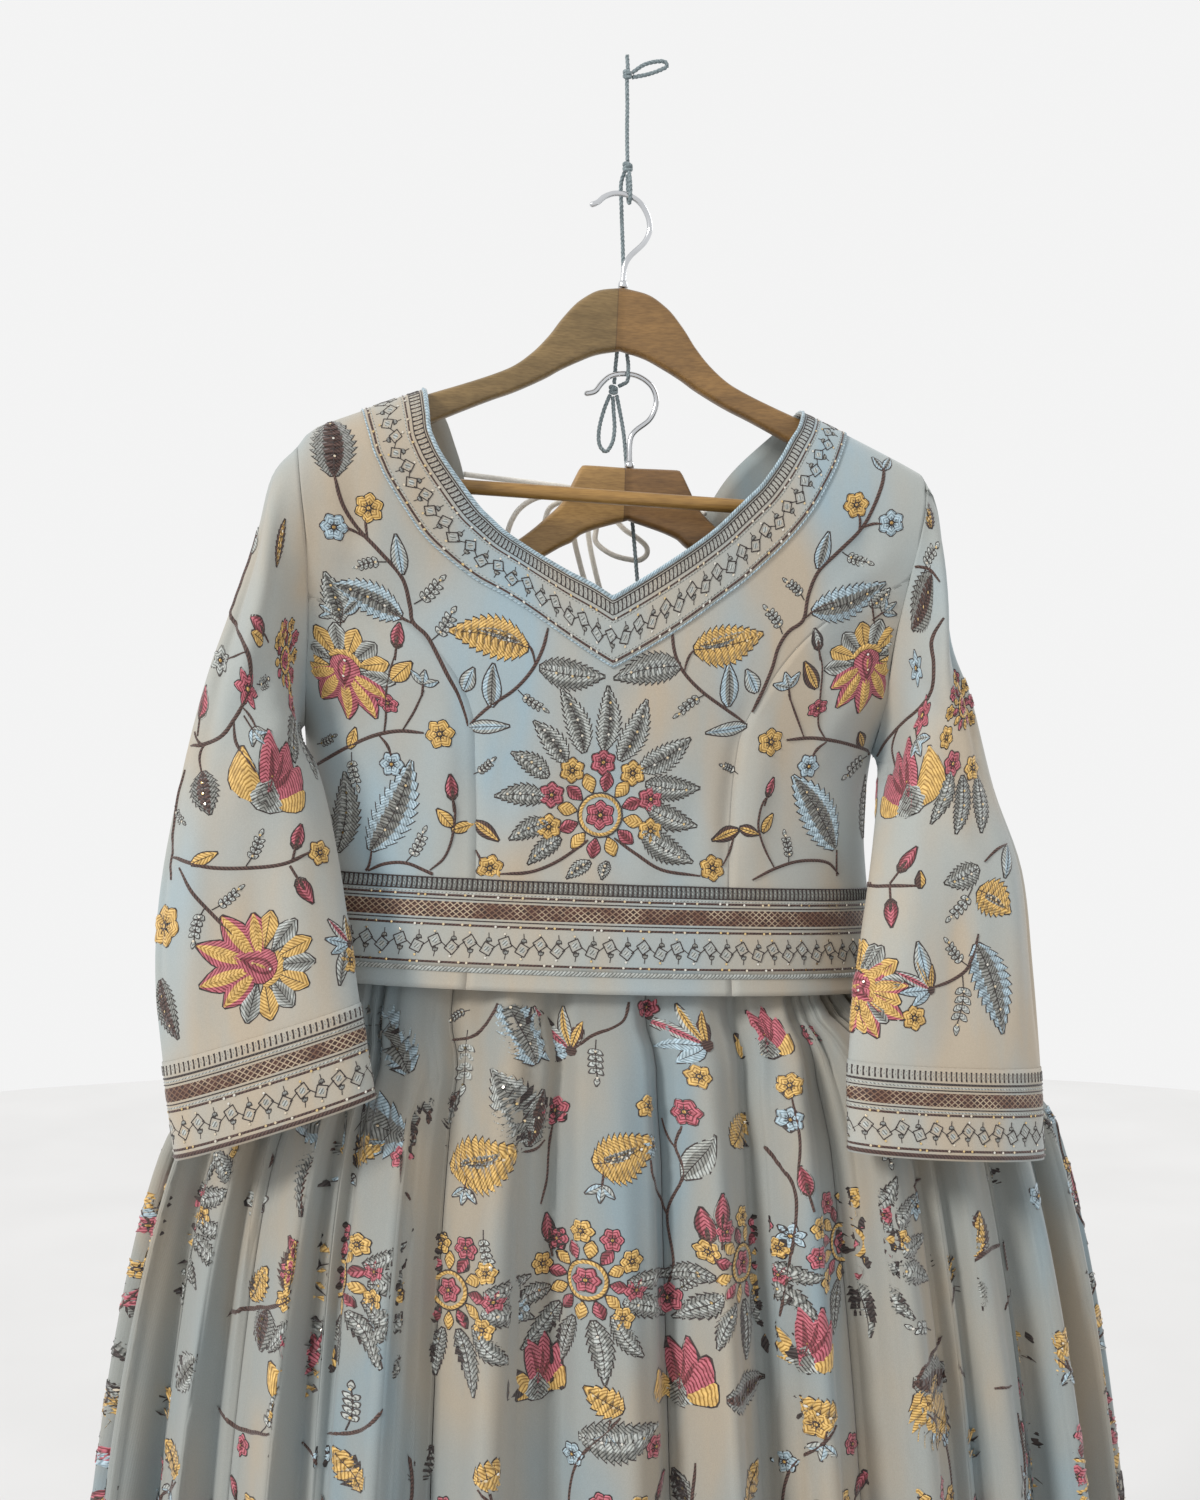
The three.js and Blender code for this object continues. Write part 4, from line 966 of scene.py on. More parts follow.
for hand, chart in SLEEVE_CHARTS.items():
    tube_shell("cloth_sleeve_" + hand, chart, 0, 9, 55, CLOTH_BLUE, "blouse_sleeve_" + hand,
               (-0.5, 0.5))
    tube_shell("cloth_cuff_" + hand, chart, 8, 9, 14, CLOTH_BLUE, "blouse_cuff_" + hand,
               (0.65, 1.15))

# ---------- waist border ----------
front_ends = np.concatenate([side_left[1][-1][::-1], hem_ends[1:-1], side_right[1][-1]])
front_ends = front_ends[np.argsort(front_ends[:, 0])]
back_ends = near_span(back_grid, -1, 1)
shell("cloth_border_front", FRONT, [border_grid(front_ends, [12], [-474, -523])], CLOTH_BLUE,
      "blouse_waist_border", off=(0.65, 1.15))
shell("cloth_border_back", REAR, [border_grid(back_ends, [12], [-474, -523])], CLOTH_BLUE,
      "blouse_waist_border", off=(0.65, 1.15))

# ---------- skirt ----------
FOLD_HEIGHT = [1.0, 1.25, 0.8, 1.3, 1.0, 1.2, 0.85, 1.3, 0.9, 1.15, 0.8, 1.2, 1.0, 0.85, 1.2, 0.95, 1.25,
               0.8, 1.1, 1.2, 0.85, 1.15, 0.9, 1.2]
FOLD_LEAN = [0.3, -0.4, 0.5, 0.35, -0.3, 0.4, -0.5, 0.3, 0.45, -0.35, 0.4, -0.3, 0.3, -0.4, 0.35, -0.3,
             0.4, 0.3, -0.45, 0.35, -0.3, 0.4, -0.35, 0.3]
FOLD_N = 24


def fold_angle(c, z):
    """Direction of a fold; folds spread unevenly below the blouse and evenly at the waist."""
    keys = np.arange(-3, FOLD_N + 4)
    high, low = (np.interp(c / 6, keys, [row[k % FOLD_N] + 360 * (k // FOLD_N) for k in keys])
                 for row in (WAIST_CRESTS, CRESTS))
    spread = np.clip((read(SKIRT["z"], SKIRT["half"], z) - WAIST_HALF) / (FULL_HALF - WAIST_HALF), 0, 1)
    return high + (low - high) * (1 - (1 - spread) ** 2)


def skirt_point(c, z, folded=1.0):
    """A point of the skirt at a column, six to a fold, and a level; folded scales the folds' depth."""
    a = np.radians(fold_angle(c, z))
    sin, cos = np.sin(a), np.cos(a)
    t = c / 6
    k = np.round(t).astype(int) % FOLD_N
    height = np.take(FOLD_HEIGHT, k)
    lean = np.take(FOLD_LEAN, k)
    phase = 2 * math.pi * (t - np.round(t))
    wave = np.cos(phase + lean * 0.5 * np.sin(phase) ** 2 * np.sign(phase)) + 0.16 * np.cos(2 * phase)
    height = 1 + (height - 1) * 0.5 * (1 + np.cos(phase))
    fold = folded * read(SKIRT["z"], SKIRT["fold"], z) * wave * height
    wide = read(SKIRT["z"], SKIRT["half"], z)
    deep = np.where(cos > 0, read(SKIRT["z"], SKIRT["front"], z), read(SKIRT["z"], SKIRT["back"], z))
    flat = np.sign(cos) * np.abs(cos) ** 1.15
    nx, ny = sin * deep, -cos * wide
    n = np.hypot(nx, ny)
    return np.stack([read(SKIRT["z"], SKIRT["cx"], z) + wide * sin + fold * nx / n,
                     read(SKIRT["z"], SKIRT["cy"], z) - deep * flat + fold * ny / n, z + 0 * c], -1)


GROOVE, GROOVE_WIDTH = 8.5, 0.085
LIP, LIP_AT, LIP_WIDTH = 1.8, 0.2, 0.06
SIDE_FILL = 0.4


def skirt_crease(c, z, flat):
    """Soft ripples and a groove in each valley; the valleys at the sides are shallower."""
    t = c / 6
    slow = np.sin(2 * math.pi * (t * 2.0 + 0.13 * np.sin(z / 90) + 0.2 * np.sin(1.7 * t)))
    fine = np.sin(2 * math.pi * (t * 3.0 + 0.2 * np.sin(z / 130 + 2.1 * t)))
    deep = smooth((-470 - z) / 160)
    from_valley = np.abs(t - np.floor(t) - 0.5)
    height = np.take(FOLD_HEIGHT, np.floor(t).astype(int) % FOLD_N)
    turned = np.abs((fold_angle(c, z) + 180) % 360 - 180)
    side = smooth((turned - 28) / 14) * smooth((140 - turned) / 20)
    groove = (LIP * np.exp(-(((from_valley - LIP_AT) / LIP_WIDTH) ** 2))
              - GROOVE * height * np.exp(-((from_valley / GROOVE_WIDTH) ** 2)))
    groove = groove * (1 - 0.5 * side)
    groove = groove + SIDE_FILL * side * read(SKIRT["z"], SKIRT["fold"], z) * (1 - np.cos(2 * math.pi * t))
    return deep * (1.3 * slow + 0.8 * fine * smooth((-620 - z) / 300)) + smooth((-540 - z) / 140) * groove


SKIRT_COLS = np.linspace(-3, 147, 601)
SKIRT_ROWS = np.linspace(-462, -1407, 106)
SKIRT_CHART = Chart(skirt_point, SKIRT_COLS, SKIRT_ROWS, away_from((0, -5, 0), 0), skirt_crease, period=144)
SKIRT_CHART.measure_across(skirt_point(*np.meshgrid(SKIRT_COLS, SKIRT_ROWS), 0.25))


def panel_grid(index):
    cols = 12 * index + 3 + np.linspace(0, 12, 49)
    cols[0] += 0.02
    cols[-1] -= 0.02
    return np.array([[(c if c <= 147 else c - 144, z) for c in cols]
                     for z in np.append(np.linspace(-462.2, -740, 24), np.linspace(-760, -1406.8, 33))])


PANEL_CUT = {
    "hem": [0.27, 0.3, 0.355, 0.32, 0.285, 0.27, 0.28, 0.33, 0.39, 0.395, 0.305, 0.24],
    "area": [0.159, 0.174, 0.201, 0.185, 0.166, 0.16, 0.164, 0.188, 0.217, 0.219, 0.177, 0.143],
}
for i, (hem, area) in enumerate(zip(PANEL_CUT["hem"], PANEL_CUT["area"])):
    shell(f"cloth_skirt_panel_{i + 1:02d}", SKIRT_CHART, [panel_grid(i)], CLOTH_SKIRT,
          f"skirt_panel_{i + 1:02d}", exact=False)


# ---------- cords, hooks, bars ----------
def frames(line):
    """Two directions across a line that turn as little as they can along it."""
    ahead = unit(np.gradient(line, axis=0))
    side = np.cross(ahead[0], (0.3, 0.2, 0.9) if abs(ahead[0][2]) < 0.8 else (1.0, 0.1, 0.0))
    sides = []
    for t in ahead:
        side = side - t * (side @ t)
        side = side / np.linalg.norm(side)
        sides.append(side)
    sides = np.array(sides)
    return sides, np.cross(ahead, sides)


def round_tube(line, radii, sides=12):
    """A closed round wall along a line."""
    u, v = frames(line)
    a = np.arange(sides) / sides * 2 * math.pi
    radii = np.broadcast_to(np.asarray(radii, float), (len(line),))
    ring = (line[:, None] + radii[:, None, None]
            * (u[:, None] * np.cos(a)[None, :, None] + v[:, None] * np.sin(a)[None, :, None]))
    points = np.concatenate([ring.reshape(-1, 3), line[[0]], line[[-1]]])
    n = len(line) * sides
    faces = [tuple(int(k) for k in f[::-1]) for f in grid_faces(len(line), sides, True)]
    faces += [(int((k + 1) % sides), int(k), n) for k in range(sides)]
    faces += [(n - sides + int(k), n - sides + int((k + 1) % sides), n + 1) for k in range(sides)]
    return points, faces


def joined(parts):
    points, faces, shift = [], [], 0
    for p, f in parts:
        points.append(p)
        faces += [tuple(k + shift for k in face) for face in f]
        shift += len(p)
    return np.vstack(points), faces


def twisted(line, radius, pitch, plies=3):
    """A laid string: plies wound round its line."""
    u, v = frames(line)
    run = np.concatenate([[0], np.cumsum(np.linalg.norm(np.diff(line, axis=0), axis=1))])
    parts = []
    for k in range(plies):
        a = 2 * math.pi * (run / pitch + k / plies)
        ply = line + radius * 0.5 * (u * np.cos(a)[:, None] + v * np.sin(a)[:, None])
        parts.append(round_tube(ply, radius * 0.53, 7))
    return joined(parts)


def string_cord(name, nodes, path, radius, look, exit_at, pitch=9.0, step=1.6):
    line = curve_through(path, step)
    points, faces = twisted(line, radius, pitch) if pitch else round_tube(line, radius, 14)
    made = piece(name, points, faces, look, nodes)
    [v / 1000 for v in exit_at]
    return made


def lump(name, node, at, radius, stretch, turns, look, cord_radius):
    """A small knot: turns of cord wound closely round a point."""
    parts = []
    for k in range(turns):
        tilt = (k - (turns - 1) / 2) * 0.9
        a = np.linspace(0, 2 * math.pi * 0.94, 22)
        ring = np.stack([np.cos(a) * (radius - cord_radius), np.sin(a) * (radius - cord_radius) * 0.9,
                         tilt * cord_radius + np.sin(a + k * 2.1) * radius * 0.28 * stretch], -1)
        parts.append(round_tube(ring + np.asarray(at), cord_radius, 8))
    a = np.linspace(0, 1, 9)
    core = np.stack([0.3 * np.sin(a * 6), 0.3 * np.cos(a * 5), (a - 0.5) * 1.7 * radius * stretch], -1)
    parts.append(round_tube(core + np.asarray(at),
                            radius * 0.62 * np.sin(math.pi * np.clip(a, 0.12, 0.88)), 10))
    points, faces = joined(parts)
    return piece(name, points, faces, look, (node,))


STRING_UPPER = [(0.3, 0, -59.2), (0, 0, -40), (0.2, 0, -20), (0, 0, -3.6), (0.3, 0, 0), (0.6, 0, 3.7),
                (0.4, 0, 8), (0, 0, 13.6)]
TOP_LOOP = [(3.6, -0.6, 1.6), (12, -0.6, 7.6), (21, -0.4, 10.4), (26.6, 0, 10.6), (28.2, 0.4, 8.2),
            (24, 0.6, 5.4), (14, 0.6, 1.4), (3.8, 0.6, -1.2)]
HOOK_LOOP = [(0.8, -3.3, -67.2), (1.3, -4.3, -73), (1.6, -4.2, -80.5), (1.6, -3.2, -85.4),
             (1.6, 0, -87.6), (1.6, 3.2, -85.4), (1.5, 4.2, -80.5), (1.2, 4.3, -73), (0.8, 3.3, -67.2)]
STRING_MIDDLE = [
    (-1, 3.6, -65), (-2.6, 8.2, -71), (-2.2, 9.4, -90), (-1.2, 9.4, -120), (-0.6, 9.4, -148),
    (0.6, 9.4, -172), (1.4, 8.8, -188), (1.8, 5.6, -196.4), (1.6, 4.3, -203), (1.6, 6.2, -207.4),
    (0.9, 9.6, -208.7), (-0.6, 13, -209), (-3.4, 14.6, -210.4),
]
STRING_BACK = [(-6.6, 14.4, -208.6), (-6.2, 13.6, -203), (-5.8, 12.6, -196), (-5.2, 10, -186),
               (-4.4, 9.6, -170), (-4, 9.4, -156)]
STRING_BOW = [(-9.4, 14.9, -216.2), (-13.6, 15, -227), (-17.2, 15, -242), (-16.4, 15, -252),
              (-12.4, 15, -255.8), (-8, 15, -250), (-6.2, 15, -240), (-6.8, 15, -228), (-7.4, 15, -217.6)]
STRING_TAIL = [(-4.6, 15.4, -216.4), (-2.6, 15.8, -226), (0.4, 16.6, -242), (2.4, 17.2, -262),
               (4.4, 17.3, -282), (7, 17.3, -306), (9, 16.8, -330), (10.7, 16, -352)]
TIE_LEFT = [(-109.4, 31.2, -271.2), (-96, 36, -271.8), (-76, 40, -273), (-52, 41.6, -275),
            (-32, 42, -277.6), (-21.7, 42, -282.2)]
TIE_RIGHT = [(-13, 42, -285.6), (6, 42.8, -287), (28, 42.6, -289.6), (46, 42, -291.6), (63.9, 40.6, -293.4)]
TIE_TAILS = {
    "a": [(-22, 38.4, -286), (-41, 37.4, -284.2), (-57.5, 37.4, -285.4), (-69.5, 37.6, -293),
          (-75.5, 37.8, -302), (-78.6, 38, -311)],
    "b": [(-21.6, 44.6, -287.7), (-38.3, 45.6, -286.4), (-47.6, 45.6, -291.5), (-51, 45.6, -301),
          (-52.6, 45.6, -312), (-53.2, 45.4, -324.5)],
    "c": [(-20.4, 39.6, -289.3), (-28.6, 40.8, -293.4), (-31.8, 40.8, -302), (-30.6, 40.8, -314.3),
          (-27.4, 40.8, -328), (-23.3, 40.8, -343)],
    "d": [(-17.9, 44.4, -289.3), (-19.8, 45.4, -297), (-20.2, 45.4, -306), (-18.9, 45.2, -317),
          (-15.8, 45, -332), (-11.8, 45, -348)],
}
TIE_LOOP = [
    (-16.6, 38.8, -288.6), (-14.9, 37.6, -296.5), (-15.6, 37.4, -307), (-16, 37.4, -315),
    (-5.6, 37.4, -323.6), (7.4, 37.6, -327.4), (16, 37.6, -327.7), (20.8, 37.6, -323.6),
    (20.6, 37.6, -318.6), (13.8, 37.6, -312.2), (5.2, 37.8, -306.7), (-4.1, 38.4, -297),
    (-12.8, 39.6, -288.4),
]

lump("knot_top", "string_knot_top", (0.2, 0, 0), 3.3, 1.0, 3, STRING, 1.35)
lump("knot_middle", "string_knot_middle", (0.4, 0, -63.4), 3.7, 1.05, 3, STRING, 1.4)
lump("knot_bow", "string_knot_bow", (-7, 15, -213), 3.4, 1.1, 3, STRING, 1.35)
string_cord("string_upper_run", ("string_upper", "string_tip"), STRING_UPPER, 1.5, STRING,
            STRING_UPPER[0])
string_cord("string_loop_top", ("string_top_loop",), TOP_LOOP, 1.5, STRING, TOP_LOOP[0])
string_cord("string_loop_hook", ("string_hook_loop",), HOOK_LOOP, 1.5, STRING, HOOK_LOOP[0])
string_cord("string_middle_run", ("string_middle",), STRING_MIDDLE, 1.5, STRING, STRING_MIDDLE[0])
string_cord("string_back_run", ("string_back",), STRING_BACK, 1.5, STRING, STRING_BACK[0])
string_cord("string_loop_bow", ("string_bow",), STRING_BOW, 1.5, STRING, STRING_BOW[0])
string_cord("string_tail_run", ("string_tail",), STRING_TAIL, 1.5, STRING, STRING_TAIL[0])

lump("tie_knot", "blouse_tie_knot", (-18, 42, -285.4), 4.6, 0.95, 3, DORI, 1.8)


def tie_cord(name, node, path):
    return string_cord(name, (node,), path, 1.95, DORI, path[0], pitch=0, step=1.5)


tie_cord("tie_left", "blouse_tie_left", TIE_LEFT)
tie_cord("tie_right", "blouse_tie_right", TIE_RIGHT)
tie_cord("tie_loop", "blouse_tie_loop", TIE_LOOP)
for key, path in TIE_TAILS.items():
    tie_cord("tie_tail_" + key, "blouse_tie_tail_" + key, path)

HOOK_1_PATH = [
    (-2.9, 0, -146.0), (-1.6, 0, -131), (1.8, 0, -124.6), (12.3, 0, -113.8), (15.7, 0, -105.9),
    (15.1, 0, -98), (12.2, 0, -91.4), (8.4, 0, -86.6), (3, 0, -83.2), (-2.8, 0, -81.6), (-8.5, 0, -81.6),
    (-13.2, 0, -83), (-16.7, 0, -85), (-20.2, 0, -88.2), (-25.8, 0, -90.7),
]
HOOK_2_PATH = [
    (3.1, 9, -267.6), (4.2, 9, -247), (7, 9, -242.4), (17.2, 9, -234), (21, 9, -227), (22.1, 9, -219.6),
    (19.6, 9, -212), (15, 9, -207.2), (9, 9, -204), (3, 9, -202.8), (-4.3, 9, -203), (-11, 9, -205.2),
    (-16.4, 9, -210), (-21, 9, -215.6), (-28.4, 9, -217.6),
]


def hook(name, node, path):
    line = curve_through(path, 0.9)
    left = np.linalg.norm(line - line[-1], axis=1)
    radii = np.where(left < 1.9, np.sqrt(np.maximum(0.2, 1.9 ** 2 - (1.9 - left) ** 2)), 1.9)
    collar = round_tube(line[:6], [3.4, 3.4, 3.4, 3.3, 3.0, 2.4], 24)
    points, faces = joined([round_tube(line, radii, 20), collar])
    piece(name, points, faces, CHROME, (node,))


hook("hook_upper", "hanger_1_hook", HOOK_1_PATH)
hook("hook_lower", "hanger_2_hook", HOOK_2_PATH)

WOOD_RING = [(math.copysign(abs(math.cos(a)) ** 0.42, math.cos(a)), 0.5 - 0.5 * math.copysign(
    abs(math.sin(a)) ** 0.3, math.sin(a))) for a in np.linspace(0, 2 * math.pi, 33)[:-1]]


def hanger_wood(name, node, table, roll, at, look):
    """The shaped arm, its edges rounded over, its ends domed."""
    stations = np.concatenate([np.linspace(0, 186, 94), [186.4, 188, 191, 194, 196.5, 198.2, 199]])
    x = np.concatenate([-stations[::-1], stations[1:]])
    top, low = read(table["x"], table["top"], np.abs(x)), read(table["x"], table["low"], np.abs(x))
    end = np.sqrt(np.maximum(0.02, 1 - np.clip((np.abs(x) - 190) / 9.2, 0, 1) ** 2))
    rings = []
    for xi, t, b, e in zip(x, top, low, end):
        m, h = (t + b) / 2, (t - b) / 2
        edge = 3.4 / h
        ring = []
        for w, f in WOOD_RING:
            s = 1 - 2 * f
            squeeze = 1 - np.clip((abs(s) - (1 - edge)) / edge, 0, 1) ** 2 * 0.42
            ring.append((xi, w * 6 * squeeze * (0.55 + 0.45 * e) - abs(xi) * SWEEP,
                         m + s * h * (0.8 + 0.2 * e)))
        rings.append(ring)
    r = np.array(rings)
    world = rolled(r[..., 0], r[..., 1], r[..., 2], roll, at)
    n = r.shape[1]
    faces = [tuple(int(k) for k in f) for f in grid_faces(len(rings), n, True)]
    faces += [tuple(range(n)), tuple((len(rings) - 1) * n + k for k in range(n - 1, -1, -1))]
    piece(name, world.reshape(-1, 3), faces, look, (node,))


def hanger_bar(name, node, z, roll, at, look):
    x = np.linspace(-185.6, 185.6, 49)
    line = rolled(x, np.full(49, -185.6 * SWEEP), z + 0 * x, roll, at)
    points, faces = round_tube(line, 4.8, 24)
    piece(name, points, faces, look, (node,))


hanger_wood("wood_upper", "hanger_1_wood", ARM, ROLL_1, HOOK_1_AT, WOOD_1)
hanger_bar("bar_upper", "hanger_1_bar", -212, ROLL_1, HOOK_1_AT, WOOD_BAR)
hanger_wood("wood_lower", "hanger_2_wood", ARM_2, ROLL_2, HOOK_2_AT, WOOD_2)
hanger_bar("bar_lower", "hanger_2_bar", -211, ROLL_2, HOOK_2_AT, WOOD_BAR)

# ---------- waistband and its hanging loops ----------
band_rows = np.linspace(-432.2, -461.8, 8)
band_cols = np.linspace(0, 144, 289)[:-1]


def waistband():
    c, z = np.meshgrid(band_cols, band_rows)
    place = skirt_point(c, z)
    normal = unit(np.cross(np.roll(place, -1, 1) - np.roll(place, 1, 1), np.gradient(place, axis=0)))
    out = (place - (-14, -29, 0)) * (1, 1, 0)
    normal = np.where(np.sum(normal * out, -1, keepdims=True) < 0, -normal, normal)
    pucker = 0.5 * np.sin(c * 2.4) * (1 - ((z + 447) / 15) ** 2)
    place = place + normal * pucker[..., None]
    faces = [tuple(int(v) for v in f) for f in grid_faces(8, len(band_cols), True)]
    both, closed = doubled(place.reshape(-1, 3), normal.reshape(-1, 3), faces, -0.6, 0.6)
    return piece("cloth_waistband", both, closed, CLOTH_SKIRT, ("skirt_waistband",),
                 uv=np.vstack([np.stack([c.ravel(), z.ravel()], -1)] * 2))


def hanging_loop(name, node, x):
    bar_z = -203 - 211 - (x - 5) * ROLL_2
    bar_y = 9 - 185.6 * SWEEP
    path = [(x, -44.4, -431.7), (x, -39, -423.7), (x, bar_y - 7.2, bar_z), (x, bar_y, bar_z + 7.2),
            (x, bar_y + 7.2, bar_z), (x, -14.4, -423.7), (x, -13.4, -431.7)]
    line = curve_through(path, 1.2)
    ahead = unit(np.gradient(line, axis=0))
    across = np.array([1.0, 0, 0])
    out = np.cross(ahead, across)
    ring = np.array([(-3, -0.4), (-2.2, -0.5), (2.2, -0.5), (3, -0.4), (3, 0.4), (2.2, 0.5), (-2.2, 0.5),
                     (-3, 0.4)])
    points = line[:, None] + ring[None, :, :1] * across + ring[None, :, 1:] * out[:, None]
    faces = [tuple(int(k) for k in f) for f in grid_faces(len(line), 8, True)]
    faces += [tuple(range(8)), tuple((len(line) - 1) * 8 + k for k in range(7, -1, -1))]
    return piece(name, points.reshape(-1, 3), faces, CLOTH_INSIDE, (node,))


tapes = [hanging_loop("tape_left", "skirt_loop_left", -112),
         hanging_loop("tape_right", "skirt_loop_right", 84)]
waistband()

# ---------- embroidery: threads ----------
BROWN, INK, PEWTER, SILVER, GOLD, PINK, MAROON, ICE, SEQUIN, LATTICE = range(10)


def thread_look(name, rgb, spread=18):
    """Rows of stitches in one thread, each row a little rounded, with painted shade in the grooves between
    rows and a painted highlight on each row's crown.
    """
    look = Look(name, rough=0.6, sheen=0.35, spec=0.45)
    rows = look.node("TexWave", {"Vector": look.space((1, 1, 1), "UV"), "Scale": 260.0, "Distortion": 1.6,
                                 "Detail": 2.0, "Detail Scale": 2.0}, bands_direction="DIAGONAL").outputs[1]
    # The dark stop is painted shade in the grooves between stitch rows; the light stop is a painted
    # highlight on each row's crown.
    dark = [max(4, c - 2.2 * spread) for c in rgb]
    light = [min(255, c + spread) for c in rgb]
    tone = look.ramp(rows, [(0.05, dark), (0.6, light)])
    wear = look.ramp(look.noise(260, 3), [(0.35, (190, 184, 178)), (0.65, (255, 255, 255))])
    look.colour(look.mix(0.7, tone, wear, "MULTIPLY"))
    look.bump(rows, 0.6, 0.0003)
    return look.mat


def sequin_look():
    look = Look("sequin", rough=0.2, metal=1.0)
    tint = look.noise(45, 1)
    look.colour(look.ramp(tint, [(0.4, (236, 232, 222)), (0.6, (226, 196, 140))]))
    look.bump(look.noise(900, 1), 0.2, 0.0002)
    return look.mat


def lattice_look():
    """A dense brown ground crossed by a fine slanting net of paler thread."""
    look = Look("lattice", rough=0.55, sheen=0.2, spec=0.4)
    nets = []
    for turn in (0.9, -0.9):
        at = look.node("Mapping",
                       {"Vector": look.coords.outputs["UV"], "Rotation": (0, 0, turn)}).outputs[0]
        nets.append(look.node("TexWave", {"Vector": at, "Scale": 110.0, "Distortion": 0.3}).outputs[1])
    net = look.node("Math", {0: nets[0], 1: nets[1]}, operation="MAXIMUM").outputs[0]
    ground = look.ramp(look.noise(300, 2), [(0.35, (44, 24, 20)), (0.65, (74, 42, 32))])
    thread = look.ramp(look.noise(60, 2), [(0.4, (112, 84, 66)), (0.62, (176, 158, 134))])
    cover = look.ramp(net, [(0.82, (0, 0, 0)), (0.95, (255, 255, 255))])
    look.colour(look.mix(cover, ground, thread))
    look.bump(net, 0.5, 0.0004)
    return look.mat


THREADS = [thread_look("thread_brown", (70, 44, 36), 14), thread_look("thread_ink", (50, 38, 36), 12),
           thread_look("thread_pewter", (116, 118, 114), 26),
           thread_look("thread_silver", (158, 163, 160), 26),
           thread_look("thread_gold", (200, 162, 88), 22), thread_look("thread_pink", (166, 78, 92), 26),
           thread_look("thread_maroon", (112, 38, 48), 18), thread_look("thread_ice", (160, 182, 194), 18),
           sequin_look(), lattice_look()]


# ---------- embroidery: shapes in flat millimetres, y towards the tip ----------
class Motif:
    """Raised thread work gathered as flat points, heights, stitch directions, faces and threads."""

    def __init__(self):
        self.flat, self.lift, self.lay, self.faces, self.thread = [], [], [], [], []
        self.count = 0

    def add(self, flat, lift, lay, faces, thread):
        self.flat.append(np.asarray(flat, float))
        self.lift.append(np.broadcast_to(np.asarray(lift, float), (len(flat),)))
        self.lay.append(np.asarray(lay, float))
        faces = [tuple(int(v) + self.count for v in f) for f in faces]
        self.faces += faces
        self.thread += list(thread) if np.ndim(thread) else [thread] * len(faces)
        self.count += len(flat)
        return self

    def put(self, other, x=0.0, y=0.0, turn=0.0, size=1.0, flip=False):
        """Another motif, turned clockwise by degrees and moved."""
        if not other.count:
            return self
        p = np.vstack(other.flat) * ((-size if flip else size), size)
        a = math.radians(turn)
        p = p @ np.array([[math.cos(a), -math.sin(a)], [math.sin(a), math.cos(a)]]) + (x, y)
        faces = [f[::-1] for f in other.faces] if flip else other.faces
        return self.add(p, np.concatenate(other.lift), np.vstack(other.lay), faces, other.thread)


def ribbon(line, widths, thread, low=0.5, high=1.3):
    """A row of stitches along a line, raised in its middle."""
    p = np.asarray(line, float)
    ahead = unit(np.gradient(p, axis=0))
    side = np.stack([-ahead[:, 1], ahead[:, 0]], -1)
    w = np.broadcast_to(np.asarray(widths, float), (len(p),))[:, None] / 2
    run = np.concatenate([[0], np.cumsum(np.linalg.norm(np.diff(p, axis=0), axis=1))])
    flat = np.stack([p + side * w, p, p - side * w], 1).reshape(-1, 2)
    lift = np.tile([low, high, low], len(p))
    lay = np.stack([np.stack([w[:, 0], 0 * run, -w[:, 0]], 1).ravel(), np.repeat(run, 3)], -1)
    return Motif().add(flat, lift, lay, grid_faces(len(p), 3), thread)


def blade(length, half_width, inner, outer, edge=INK, teeth=0, bend=0.0, rib=None, blunt=0.75, grow=0.75,
          high=1.25):
    """A leaf or petal from base to tip: a dark rim below, thread rows above, toothed where asked."""
    made = Motif()
    if teeth:
        t = np.concatenate([[(i + f) / teeth for f in (0.02, 0.5, 0.97)] for i in range(teeth)] + [[1.0]])
        tooth = np.append(np.tile([-0.17, 0.0, 0.17], teeth), 0.0)
    else:
        t = np.linspace(0, 1, 5 if length < 11 else 7)
        tooth = np.zeros(len(t))
    w = half_width * np.sin(math.pi * np.clip(t, 0.015, 0.985) ** blunt) ** 0.8 * (1 + tooth)
    y = t * length + np.maximum(tooth, 0) * 0.06 * length
    mid = bend * length * np.sin(math.pi * t)
    n = len(t)

    def spread(width, shares):
        across = np.array(shares)[None] * width[:, None]
        return np.stack([mid[:, None] - across, np.repeat(y[:, None], len(shares), 1)], -1).reshape(-1, 2)

    small = length < 11
    across = 2 if small else 3
    rim = spread(w + grow, np.linspace(1, -1, across))
    rim[:across] -= (0, grow)
    rim[-across:] += (0, grow)
    made.add(rim, 0.62, np.abs(rim), grid_faces(n, across)[:, ::-1], edge)
    shares, lifts = ((1, 0, -1), [0.7, high, 0.7]) if small else ((1, 0.5, 0, -0.5, -1),
                                                                  [0.7, high, high * 0.82, high, 0.7])
    body = spread(np.maximum(w - 0.1, 0.05), shares)
    threads = [inner, outer] if small else [outer, inner, inner, outer]
    made.add(body, np.tile(lifts, n), np.abs(body), grid_faces(n, len(shares))[:, ::-1],
             np.tile(threads, n - 1))
    if rib is not None:
        share = np.linspace(0.0, 0.86, 6)
        line = np.stack([bend * length * np.sin(math.pi * share), share * length], -1)
        made.put(ribbon(line, [1.0, 0.9, 0.8, 0.7, 0.6, 0.4], rib, 0.8, high + 0.25))
    return made


def veins(length, half_width, pairs, thread, bend=0.0, high=1.34):
    """Thin slanting stitches from the middle of a leaf to its teeth."""
    made = Motif()
    for i in range(pairs):
        t = (i + 0.6) / (pairs + 0.6)
        reach = half_width * math.sin(math.pi * min(0.97, t + 0.08) ** 0.75) * 0.86
        x0, y0 = bend * length * math.sin(math.pi * t), t * length
        for hand in (-1, 1):
            tip = (x0 + hand * reach, y0 + 0.1 * length)
            a, b = (x0, y0 - 0.26), (x0, y0 + 0.26)
            quad = [a, b, (tip[0], tip[1] + 0.1), (tip[0], tip[1] - 0.1)]
            face = (0, 1, 2, 3) if hand < 0 else (3, 2, 1, 0)
            made.add(quad, [high, high, 1.0, 1.0], quad, [face], thread)
    return made


